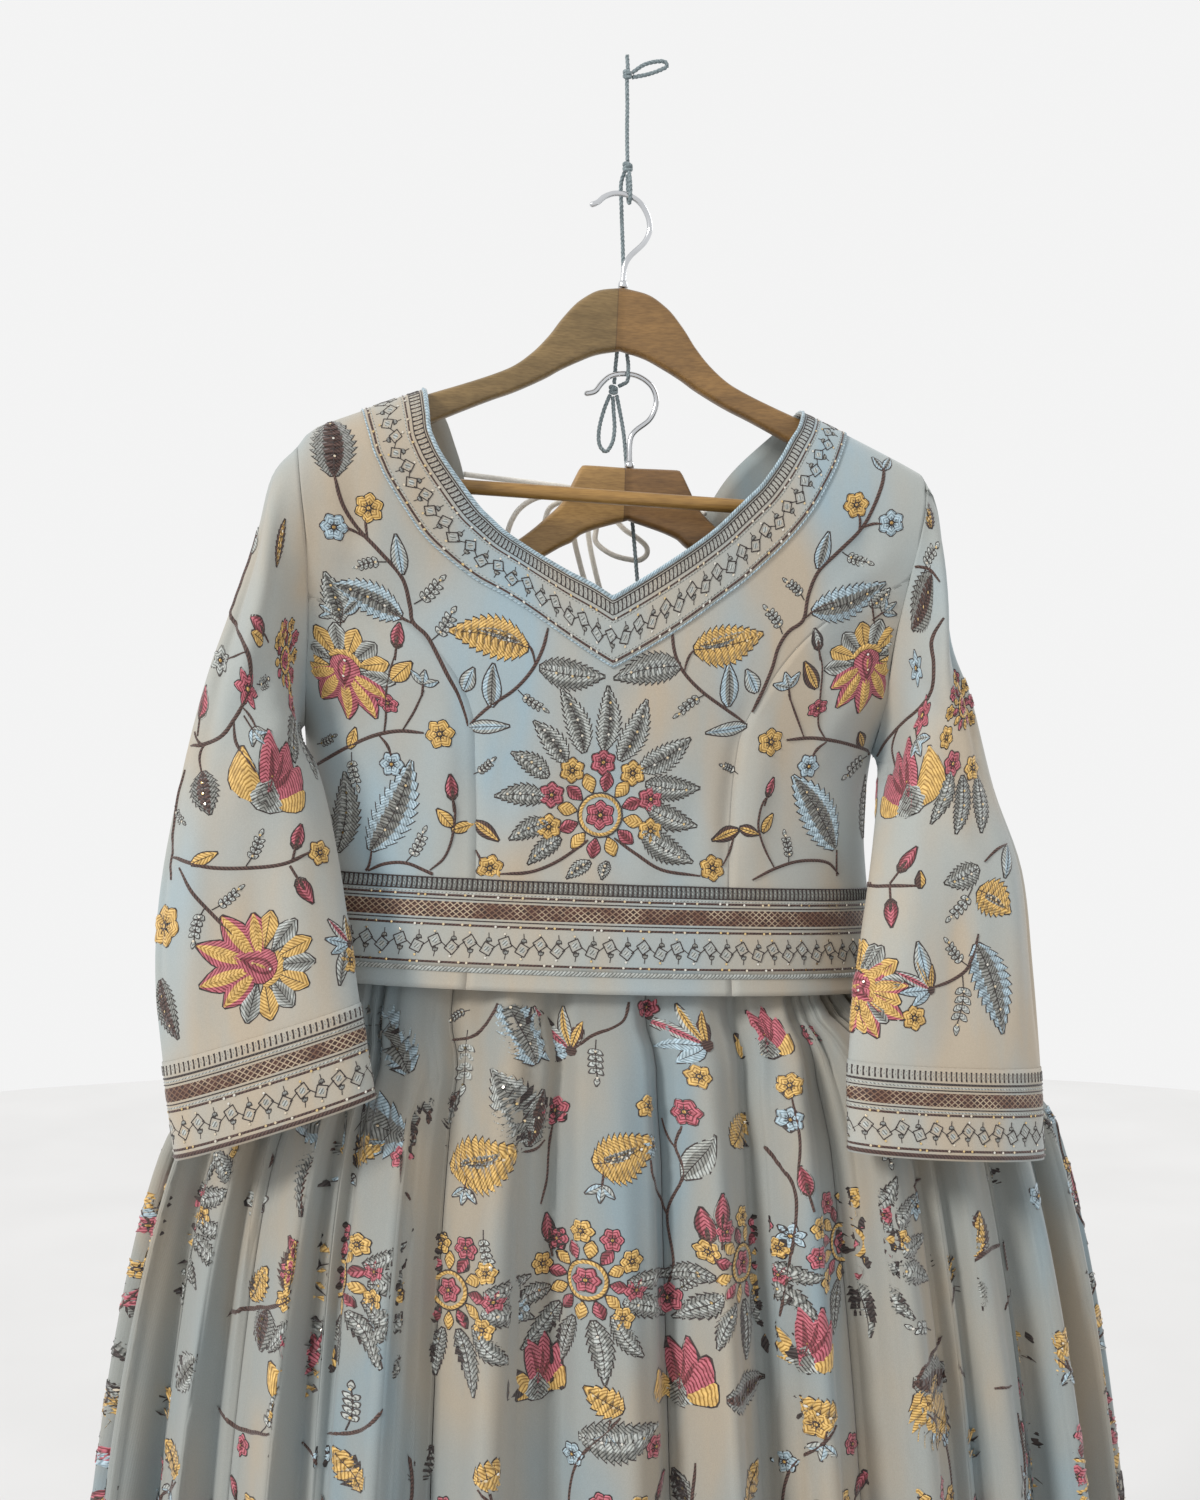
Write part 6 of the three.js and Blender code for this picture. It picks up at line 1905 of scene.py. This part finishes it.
SKIRT_WORK = [
    ("star", "silver", 256, 1202, 13), ("vine", [(262, 1112), (274, 1150), (262, 1190)], 2.6),
    ("leaf", "dark", 335, 1136, 309, 1199, 0.26), ("leaf", "gold", 342, 1152, 386, 1142, 0.36),
    ("leaf", "ice", 409, 1073, 362, 990, 0.24), ("leaf", "ice", 409, 1136, 350, 1074, 0.24),
    ("leaf", "dark", 402, 1142, 450, 1100, 0.26), ("flower", "pink", 402, 1157, 11),
    ("vine", [(504, 990), (492, 1016), (474, 1036), (450, 1040)], 2.5),
    ("vine", [(448, 1146), (428, 1140), (406, 1150), (402, 1180), (410, 1200)], 2.5),
    ("trio", "", 350, 1160, 344, 1190), ("sprig", "", 468, 1030, 466, 1082),
    ("sprig", "", 470, 1010, 452, 1020), ("leaf", "ice", 535, 1064, 502, 994, 0.24),
    ("leaf", "pewter", 530, 1140, 494, 1072, 0.24), ("leaf", "dark", 528, 1146, 540, 1096, 0.26),
    ("leaf", "gold", 452, 1168, 516, 1150, 0.34), ("leaf", "pewter", 462, 1164, 500, 1154, 0.22),
    ("trio", "", 468, 1176, 462, 1204), ("vine", [(516, 1152), (534, 1150), (544, 1140)], 2.2),
    ("spray", 572, 1050, 52, -30), ("vine", [(630, 996), (622, 1022), (592, 1036), (576, 1048)], 2.5),
    ("flower", "pink", 646, 1007, 12), ("sprig", "", 596, 1040, 598, 1078), ("spray", 706, 1046, 58, -52),
    ("flower", "gold", 700, 1077, 12), ("flower", "pink", 554, 1110, 14),
    ("vine", [(552, 1124), (548, 1150), (546, 1180), (540, 1204)], 2.4),
    ("leaf", "gold", 594, 1164, 648, 1142, 0.36), ("leaf", "pewter", 604, 1160, 634, 1148, 0.22),
    ("trio", "", 604, 1172, 600, 1202), ("flower", "gold", 648, 1106, 11),
    ("flower", "pink", 685, 1112, 13), ("flower", "ice", 652, 1146, 10),
    ("vine", [(682, 1126), (676, 1146), (684, 1174), (668, 1212), (674, 1262), (667, 1288)], 2.7),
    ("vine", [(662, 1118), (668, 1136), (676, 1148)], 2.2),
    ("plain", "pewter", 684, 1178, 714, 1138, 0.22), ("flower", "pink", 668, 1297, 14),
    ("sprig", "", 676, 1290, 698, 1276), ("vine", [(668, 1216), (654, 1184), (650, 1160)]),
    ("bud", "pink", 716, 1262, 704, 1216), ("bud", "pink", 722, 1250, 722, 1200),
    ("tulip", 768, 1056, 50, 0), ("flower", "pink", 812, 1034, 12), ("flower", "gold", 790, 1086, 13),
    ("flower", "ice", 791, 1120, 12),
    ("vine", [(750, 1130), (774, 1158), (796, 1194), (792, 1250), (780, 1316)], 2.7),
    ("leaf", "gold", 732, 1146, 752, 1112, 0.36), ("vine", [(792, 1098), (800, 1140), (798, 1180)], 2.0),
    ("star", "ice", 791, 1236, 12), ("cluster", 338, 1278, 42, 0), ("cluster", 450, 1290, 43, 20),
    ("cluster", 586, 1280, 44, 30), ("cluster", 742, 1262, 42, 40), ("cluster", 842, 1242, 44, -24),
    ("cluster", 160, 1228, 40, -30), ("tulip", 304, 1380, 58, -12), ("tulip", 680, 1402, 60, 4),
    ("tulip", 800, 1368, 58, 14), ("tulip", 536, 1396, 56, 0), ("bud", "maroon", 312, 1268, 290, 1236),
    ("bud", "pink", 422, 1262, 418, 1222), ("bud", "pink", 552, 1256, 546, 1216),
    ("bud", "maroon", 814, 1212, 802, 1170), ("flower", "gold", 817, 1424, 13),
    ("leaf", "dark", 728, 1400, 764, 1376, 0.26), ("leaf", "grey", 580, 1436, 648, 1430, 0.24),
    ("star", "ice", 916, 1206, 13), ("vine", [(916, 1140), (920, 1170), (917, 1198)], 2.3),
    ("leaf", "tan", 968, 1256, 978, 1212, 0.34), ("leaf", "gold", 956, 1278, 934, 1256, 0.36),
    ("leaf", "grey", 974, 1278, 976, 1312, 0.3),
    ("vine", [(1010, 1240), (986, 1252), (958, 1280), (944, 1328), (926, 1364), (908, 1398), (888, 1438)],
     2.8),
    ("vine", [(1010, 1240), (1012, 1284), (1004, 1310)], 2.2),
    ("leaf", "dark", 914, 1382, 862, 1388, 0.26), ("leaf", "gold", 918, 1392, 956, 1436, 0.34),
    ("leaf", "gold", 1018, 1362, 1062, 1338, 0.36),
    ("vine", [(952, 1352), (970, 1384), (1000, 1388), (1024, 1380)], 2.6),
    ("flower", "ice", 1037, 1196, 12), ("star", "silver", 992, 1176, 13),
    ("sprig", "", 984, 1396, 972, 1434), ("sprig", "", 930, 1330, 906, 1326),
    ("flower", "ice", 226, 1265, 12), ("leaf", "gold", 252, 1298, 268, 1268, 0.36),
    ("leaf", "tan", 288, 1292, 294, 1248, 0.32),
    ("vine", [(322, 1284), (276, 1306), (232, 1313), (217, 1354), (218, 1404), (244, 1430), (304, 1435)],
     2.9),
    ("vine", [(217, 1350), (178, 1364), (140, 1378)], 2.6), ("leaf", "dark", 268, 1310, 262, 1346, 0.3),
    ("leaf", "pewter", 200, 1356, 178, 1388, 0.28), ("leaf", "gold", 140, 1398, 204, 1420, 0.32),
    ("sprig", "", 210, 1318, 198, 1284), ("sprig", "", 262, 1432, 276, 1396),
    ("vine", [(322, 1434), (362, 1430), (388, 1404)], 2.5), ("sprig", "", 346, 1430, 350, 1394),
    ("sprig", "", 484, 1230, 490, 1262), ("flower", "ice", 518, 1310, 11),
    ("leaf", "dark", 860, 1130, 846, 1176, 0.26), ("sprig", "", 880, 1130, 890, 1160),
    ("flower", "gold", 240, 1150, 11), ("leaf", "grey", 232, 1180, 212, 1150, 0.26),
    ("leaf", "ice", 1030, 1290, 1044, 1240, 0.2),
]


def in_front(c, r):
    x = BODY_X + half(r) * np.sin(c * math.pi / 2)
    edge = np.interp(x, NECK["out_x"][2:-2], NECK["out_z"][2:-2]) + 1
    arm = np.interp(-r, [-z for z in ARMHOLE["z"]], ARMHOLE["half"]) - 2
    inside = (r < edge) | (x < -172) | (x > 150)
    return inside & ((r < -372) | (np.abs(x - BODY_X) < arm)) & (r > -465.5) & (r < shoulder_z(x) - 1)


def in_back(c, r):
    x = BODY_X + half(r) * np.sin(c * math.pi / 2)
    left = np.interp(-r, [-z for z in BACK_NECK["z"][2:]], BACK_NECK["left"][2:])
    right = np.interp(-r, [-z for z in BACK_NECK["z"][2:]], BACK_NECK["right"][2:])
    arm = np.interp(-r, [-z for z in ARMHOLE["z"]], ARMHOLE["half"]) - 2
    clear = (r < -328) | (x < left - 14) | (x > right + 14)
    return clear & ((r < -372) | (np.abs(x - BODY_X) < arm)) & (r > -465.5) & (r < shoulder_z(x) - 1)


def on_sleeve(c, r):
    return (r > 0.06) & (r < 8.02)


def set_of(name, chart, rows, **how):
    work = Needlework(chart, **how)
    work.work(rows)
    return work.finish(name)


set_of("embroidery_front", FRONT, FRONT_WORK, keep=in_front)
set_of("embroidery_back", REAR, FRONT_WORK, keep=in_back, find=FRONT)
for hand, rows in (("left", LEFT_SLEEVE_WORK), ("right", RIGHT_SLEEVE_WORK)):
    chart = SLEEVE_CHARTS[hand]
    side = 1 if hand == "left" else -1
    set_of("embroidery_sleeve_" + hand, chart, rows, keep=on_sleeve, hand=side)
    set_of("embroidery_sleeve_back_" + hand, chart, rows, keep=on_sleeve, hand=-side, shift=lambda c,
           r: (16 - c, r))


# ---------- embroidery: skirt ----------
def rich_unit(work, c, r, hand):
    """A ringed flower with leaves below, a gold leaf above, a tulip and a stem."""
    spots = ((rosette(29, 6, -120, 42), 0, 0, 12), (serrated(26, 6.2, INK, PEWTER, teeth=6), 14, -22, 150),
             (serrated(26, 6.2, INK, PEWTER, teeth=6), 2, -26, 176),
             (serrated(24, 6.0, INK, PEWTER, teeth=6), 25, -10, 118),
             (bud(24), -20, 18, -40), (serrated(24, 8.4, GOLD, GOLD, teeth=6), -4, 82, 62),
             (trio(20), 4, 76, 168),
             (tulip(36), -14, -86, -8), (sprig(20), 26, -60, 150), (flower(7, PINK, MAROON), -24, 56, 10),
             (flower(7, ICE, INK), 25, 52, 40))
    for motif, x, y, turn in spots:
        work.set_off(motif, c, r, hand * x, y, hand * turn, hand < 0)
    work.stem_off(c, r,
                  [(hand * x, y)
                   for x, y in ((-2, 78), (22, 48), (28, 14), (16, -30), (-6, -54), (-13, -84))])


def plain_unit(work, c, r, hand):
    """A half-open flower on a long stem with leaves on either side."""
    spots = ((spray(32), -2, 8, 6), (serrated(30, 7.5, PEWTER, SILVER, teeth=6), 12, -24, 60),
             (serrated(28, 7.2, SILVER, ICE, teeth=6), -8, -40, -64),
             (serrated(26, 8.6, GOLD, GOLD, teeth=6), 8, 66, 48),
             (trio(20), -10, 58, 190), (flower(7.6, GOLD, BROWN), -24, -72, 0),
             (flower(7, PINK, MAROON), 24, 34, 20),
             (flower(7, ICE, INK), -24, 30, 0), (sprig(22), 16, -64, 130),
             (serrated(22, 6.4, INK, PEWTER, teeth=6), -22, 60, -20))
    for motif, x, y, turn in spots:
        work.set_off(motif, c, r, hand * x, y, hand * turn, hand < 0)
    work.stem_off(c, r,
                  [(hand * x, y)
                   for x, y in ((-16, 88), (-18, 50), (-4, 6), (4, -30), (-8, -62), (-20, -92))])


def on_skirt(c, r):
    return (r < -625) & (r > -1403)


skirt_front = Needlework(SKIRT_CHART, on_skirt)
skirt_front.work(SKIRT_WORK)
skirt_front.finish("embroidery_skirt_front")
for name, crests, levels in (("front_low", range(0, 13), (-968, -1146, -1324)),
                             ("back_left", range(18, 24), (-790, -968, -1146, -1324)),
                             ("back_right", range(13, 18), (-790, -968, -1146, -1324))):
    work = Needlework(SKIRT_CHART, on_skirt)
    for k in crests:
        for row, level in enumerate(levels):
            drift = 24 * math.sin(2.4 * k + 1.1 * row)
            (plain_unit if (k + row) % 3 == 1
             else rich_unit)(work, 6 * k + 0.4 * math.sin(5 * k), level + drift,
                                                              1 if (k + row) % 2 else -1)
    work.finish("embroidery_skirt_" + name)


# ---------- borders ----------
def run_line(length, d, width, thread, high):
    s = np.linspace(0, length, max(3, int(length / 2.4)))
    return ribbon(np.stack([s, np.full(len(s), d)], -1), width, thread, 0.3, high)


def ladder(length, top, low, pitch=3.3, rails=True):
    """Close upright bars between two rails."""
    made = Motif()
    for k in range(int(length / pitch)):
        s = (k + 0.5) * pitch
        made.put(ribbon([(s, top + 0.3), (s + 0.25, (top + low) / 2), (s, low - 0.3)], [1.5, 0.9, 1.5],
                        INK, 0.4, 1.0))
        made.put(ribbon([(s + pitch / 2, top + 1.2), (s + pitch / 2, low - 1.2)], 0.7, SILVER, 0.3, 0.7))
    if rails:
        made.put(run_line(length, top, 0.9, INK, 0.9)).put(run_line(length, low, 0.9, INK, 0.9))
    return made


def sequin_line(length, d, width=1.9):
    pitch = 10.5
    made = run_line(length, d, width, BROWN, 1.0)
    for k in range(int(length / pitch)):
        s = (k + 0.5) * pitch + 3.4 * math.sin(2.3 * k)
        made.put(disc(0.85, SEQUIN, 1.35, 1.2, 6), s, d + 0.3 * math.sin(5.1 * k))
    return made


def squares(length, top, low, pitch=10.2, side=6.4):
    """Tilted squares linked in a zigzag, with a leafed stem on each side of every link."""
    made, count, mid = Motif(), int(length / pitch), (top + low) / 2
    reach = (low - top) / 2
    for k in range(count):
        s = (k + 0.5) * length / count
        hand = 1 if k % 2 else -1
        d = mid + hand * reach * 0.22
        tilt = math.radians(45 + hand * 30 + 8 * math.sin(1.9 * k))
        ring = [(s + side * 0.7 * math.cos(tilt + q * math.pi / 2),
                 d + side * 0.7 * math.sin(tilt + q * math.pi / 2))
                for q in range(5)]
        for a, b in zip(ring[:-1], ring[1:]):
            made.put(ribbon([a, b], 0.95, INK, 0.3, 1.0))
        made.put(disc(side * 0.3, SILVER, 0.8, 0.5, 6), s, d)
        after = (s + length / count, mid - hand * reach * 0.22)
        made.put(ribbon([(s + side * 0.45, d), (after[0] - side * 0.45, after[1])], 0.9, INK, 0.3, 0.9))
        out = 1 if hand > 0 else -1
        stem = [(s, d - out * side * 0.6), (s + 0.8, d - out * reach * 0.75),
                (s + 0.4, d - out * reach * 1.12)]
        made.put(ribbon(stem, 0.75, INK, 0.3, 0.9))
        for turn in (-38, 0, 38):
            made.put(blade(2.6, 0.7, PEWTER, PEWTER, grow=0.35, high=1.0), stem[1][0], stem[1][1],
                     turn=turn if out > 0 else 180 + turn, size=1)
        short = [(s, d + out * side * 0.6), (s - 0.5, d + out * reach * 0.62)]
        made.put(ribbon(short, 0.75, INK, 0.3, 0.9)).put(disc(0.8, SEQUIN, 1.2, 1.0, 6), *short[1])
    return made


def lattice_band(length, top, low):
    s = np.linspace(0, length, max(3, int(length / 2.4)))
    across = np.linspace(top, low, 5)
    flat = np.stack([np.repeat(s, 5), np.tile(across, len(s))], -1)
    lift = np.tile([0.25, 0.75, 0.8, 0.75, 0.25], len(s))
    return Motif().add(flat, lift, flat, grid_faces(len(s), 5), LATTICE)


class Band:
    """A strip of cloth measured along and across, between two edges of chart values."""

    def __init__(self, chart, first, last):
        self.chart, self.first, self.last = chart, np.asarray(first, float), np.asarray(last, float)
        a = chart.at(self.first[:, 0], self.first[:, 1])
        b = chart.at(self.last[:, 0], self.last[:, 1])
        self.along = np.concatenate([[0], np.cumsum(np.linalg.norm(np.diff((a + b) / 2, axis=0), axis=1))])
        self.length = self.along[-1]
        self.width = float(np.median(np.linalg.norm(b - a, axis=1)))

    def stitch(self, work, motif, lift=0.7):
        flat = np.vstack(motif.flat)
        share = (flat[:, 1] / self.width)[:, None]
        ends = [np.stack([np.interp(flat[:, 0], self.along, edge[:, k]) for k in (0, 1)], -1)
                for edge in (self.first, self.last)]
        at = ends[0] * (1 - share) + ends[1] * share
        raised = Motif().add(flat, np.concatenate(motif.lift) + lift, np.vstack(motif.lay), motif.faces,
                             motif.thread)
        work.lay_on(at[:, 0], at[:, 1], raised)


def neck_rows(band):
    n, w = band.length, band.width / 44
    return [run_line(n, 1.4 * w, 2.8, ICE, 2.0), run_line(n, 3.6 * w, 1.0, INK, 0.9),
            ladder(n, 5 * w, 12 * w),
            sequin_line(n, 15 * w, 1.4), run_line(n, 16.8 * w, 0.8, SILVER, 0.8),
            squares(n, 18.5 * w, 36 * w),
            run_line(n, 38 * w, 0.8, SILVER, 0.8), sequin_line(n, 40 * w, 2.0),
            run_line(n, 43 * w, 1.4, ICE, 1.4)]


def hem_rows(band):
    n, w = band.length, band.width / 62
    return [ladder(n, 0.8 * w, 8.6 * w), run_line(n, 10.4 * w, 0.8, SILVER, 0.8), sequin_line(n, 12 * w),
            lattice_band(n, 15 * w, 28 * w), run_line(n, 14.6 * w, 1.0, INK, 1.1),
            run_line(n, 28.4 * w, 1.0, INK, 1.1),
            sequin_line(n, 31.4 * w), squares(n, 34.5 * w, 53.5 * w, 11.0, 6.8),
            sequin_line(n, 56 * w, 1.8),
            run_line(n, 60.4 * w, 3.2, SILVER, 1.8)]


def cuff_rows(band):
    n, w = band.length, band.width / 58
    return [ladder(n, 1.0 * w, 7.6 * w, 3.6, False), run_line(n, 9.4 * w, 1.8, INK, 1.1),
            run_line(n, 11.6 * w, 1.2, SILVER,
                                                                                             0.9),
            lattice_band(n, 14 * w, 25 * w), run_line(n, 13.4 * w, 1.0, INK, 1.1),
            run_line(n, 25.6 * w, 1.0, INK, 1.1),
            run_line(n, 27.6 * w, 1.2, SILVER, 0.9), sequin_line(n, 29.4 * w),
            squares(n, 32 * w, 50 * w, 11.0, 6.8),
            sequin_line(n, 52.6 * w, 2.0), run_line(n, 56.4 * w, 3.0, BROWN, 1.6)]


def back_neck_rows(band):
    n, w = band.length, band.width / 14
    return [run_line(n, 1.4 * w, 2.8, ICE, 2.2), run_line(n, 3.8 * w, 1.0, INK, 0.9),
            ladder(n, 5.2 * w, 12 * w)]


def trimmed(name, chart, first, last, rows, lift=0.7):
    band = Band(chart, first, last)
    work = Needlework(chart)
    for motif in rows(band):
        band.stitch(work, motif, lift)
    return work.finish(name)


def level_edge(first, last, level):
    c = np.linspace(first, last, 240)
    return np.stack([c, np.full(len(c), float(level))], -1)


trimmed("border_neck", FRONT, band_grid[:, 0], band_grid[:, -1], neck_rows)
trimmed("border_waist_front", FRONT, level_edge(-1, 1, -466), level_edge(-1, 1, -526), hem_rows)
trimmed("border_waist_back", REAR, level_edge(-1, 1, -466), level_edge(-1, 1, -526), hem_rows)
for hand, chart in SLEEVE_CHARTS.items():
    trimmed("border_cuff_" + hand, chart, level_edge(0, 15.999, 8.02), level_edge(0, 15.999, 8.985),
            cuff_rows)
back_edge = back_grid[6:-6, 0]
back_inner = back_edge + (back_grid[6:-6, 4] - back_edge) * 0.5
trimmed("border_neck_back", REAR, back_edge, back_inner, back_neck_rows, 0.1)

# ---------- floor and light ----------
floor_mesh = bpy.data.meshes.new("floor")
floor_mesh.from_pydata([(4 * math.cos(a), 4 * math.sin(a), -1.43)
                        for a in np.linspace(0, 2 * math.pi, 49)[:-1]],
                       [], [tuple(range(48))])
floor = bpy.data.objects.new("floor", floor_mesh)
bpy.context.collection.objects.link(floor)
floor_look = Look("floor", rough=0.9, spec=0.1)
floor_look.colour(floor_look.ramp(floor_look.noise(3, 2), [(0.3, (206, 206, 206)), (0.7, (210, 210, 210))]))
floor_mesh.materials.append(floor_look.mat)

bpy.context.scene.view_settings.view_transform = "Standard"
world = bpy.data.worlds.new("studio")
bpy.context.scene.world = world
world.use_nodes = True
world.node_tree.nodes["Background"].inputs[0].default_value = (1.0, 1.0, 1.0, 1)
world.node_tree.nodes["Background"].inputs[1].default_value = 0.9


def sun_light(name, place, power, softness, colour=(1, 1, 1)):
    data = bpy.data.lights.new(name, "SUN")
    data.energy, data.angle, data.color = power, math.radians(softness), colour
    lamp = bpy.data.objects.new(name, data)
    lamp.rotation_euler = (-Vector(place)).to_track_quat("-Z", "Y").to_euler()
    bpy.context.collection.objects.link(lamp)


sun_light("key", (-1.9, -1.3, 1.25), 2.2, 14, (1.0, 0.975, 0.94))
sun_light("rim", (1.6, 0.9, 0.9), 0.7, 30)
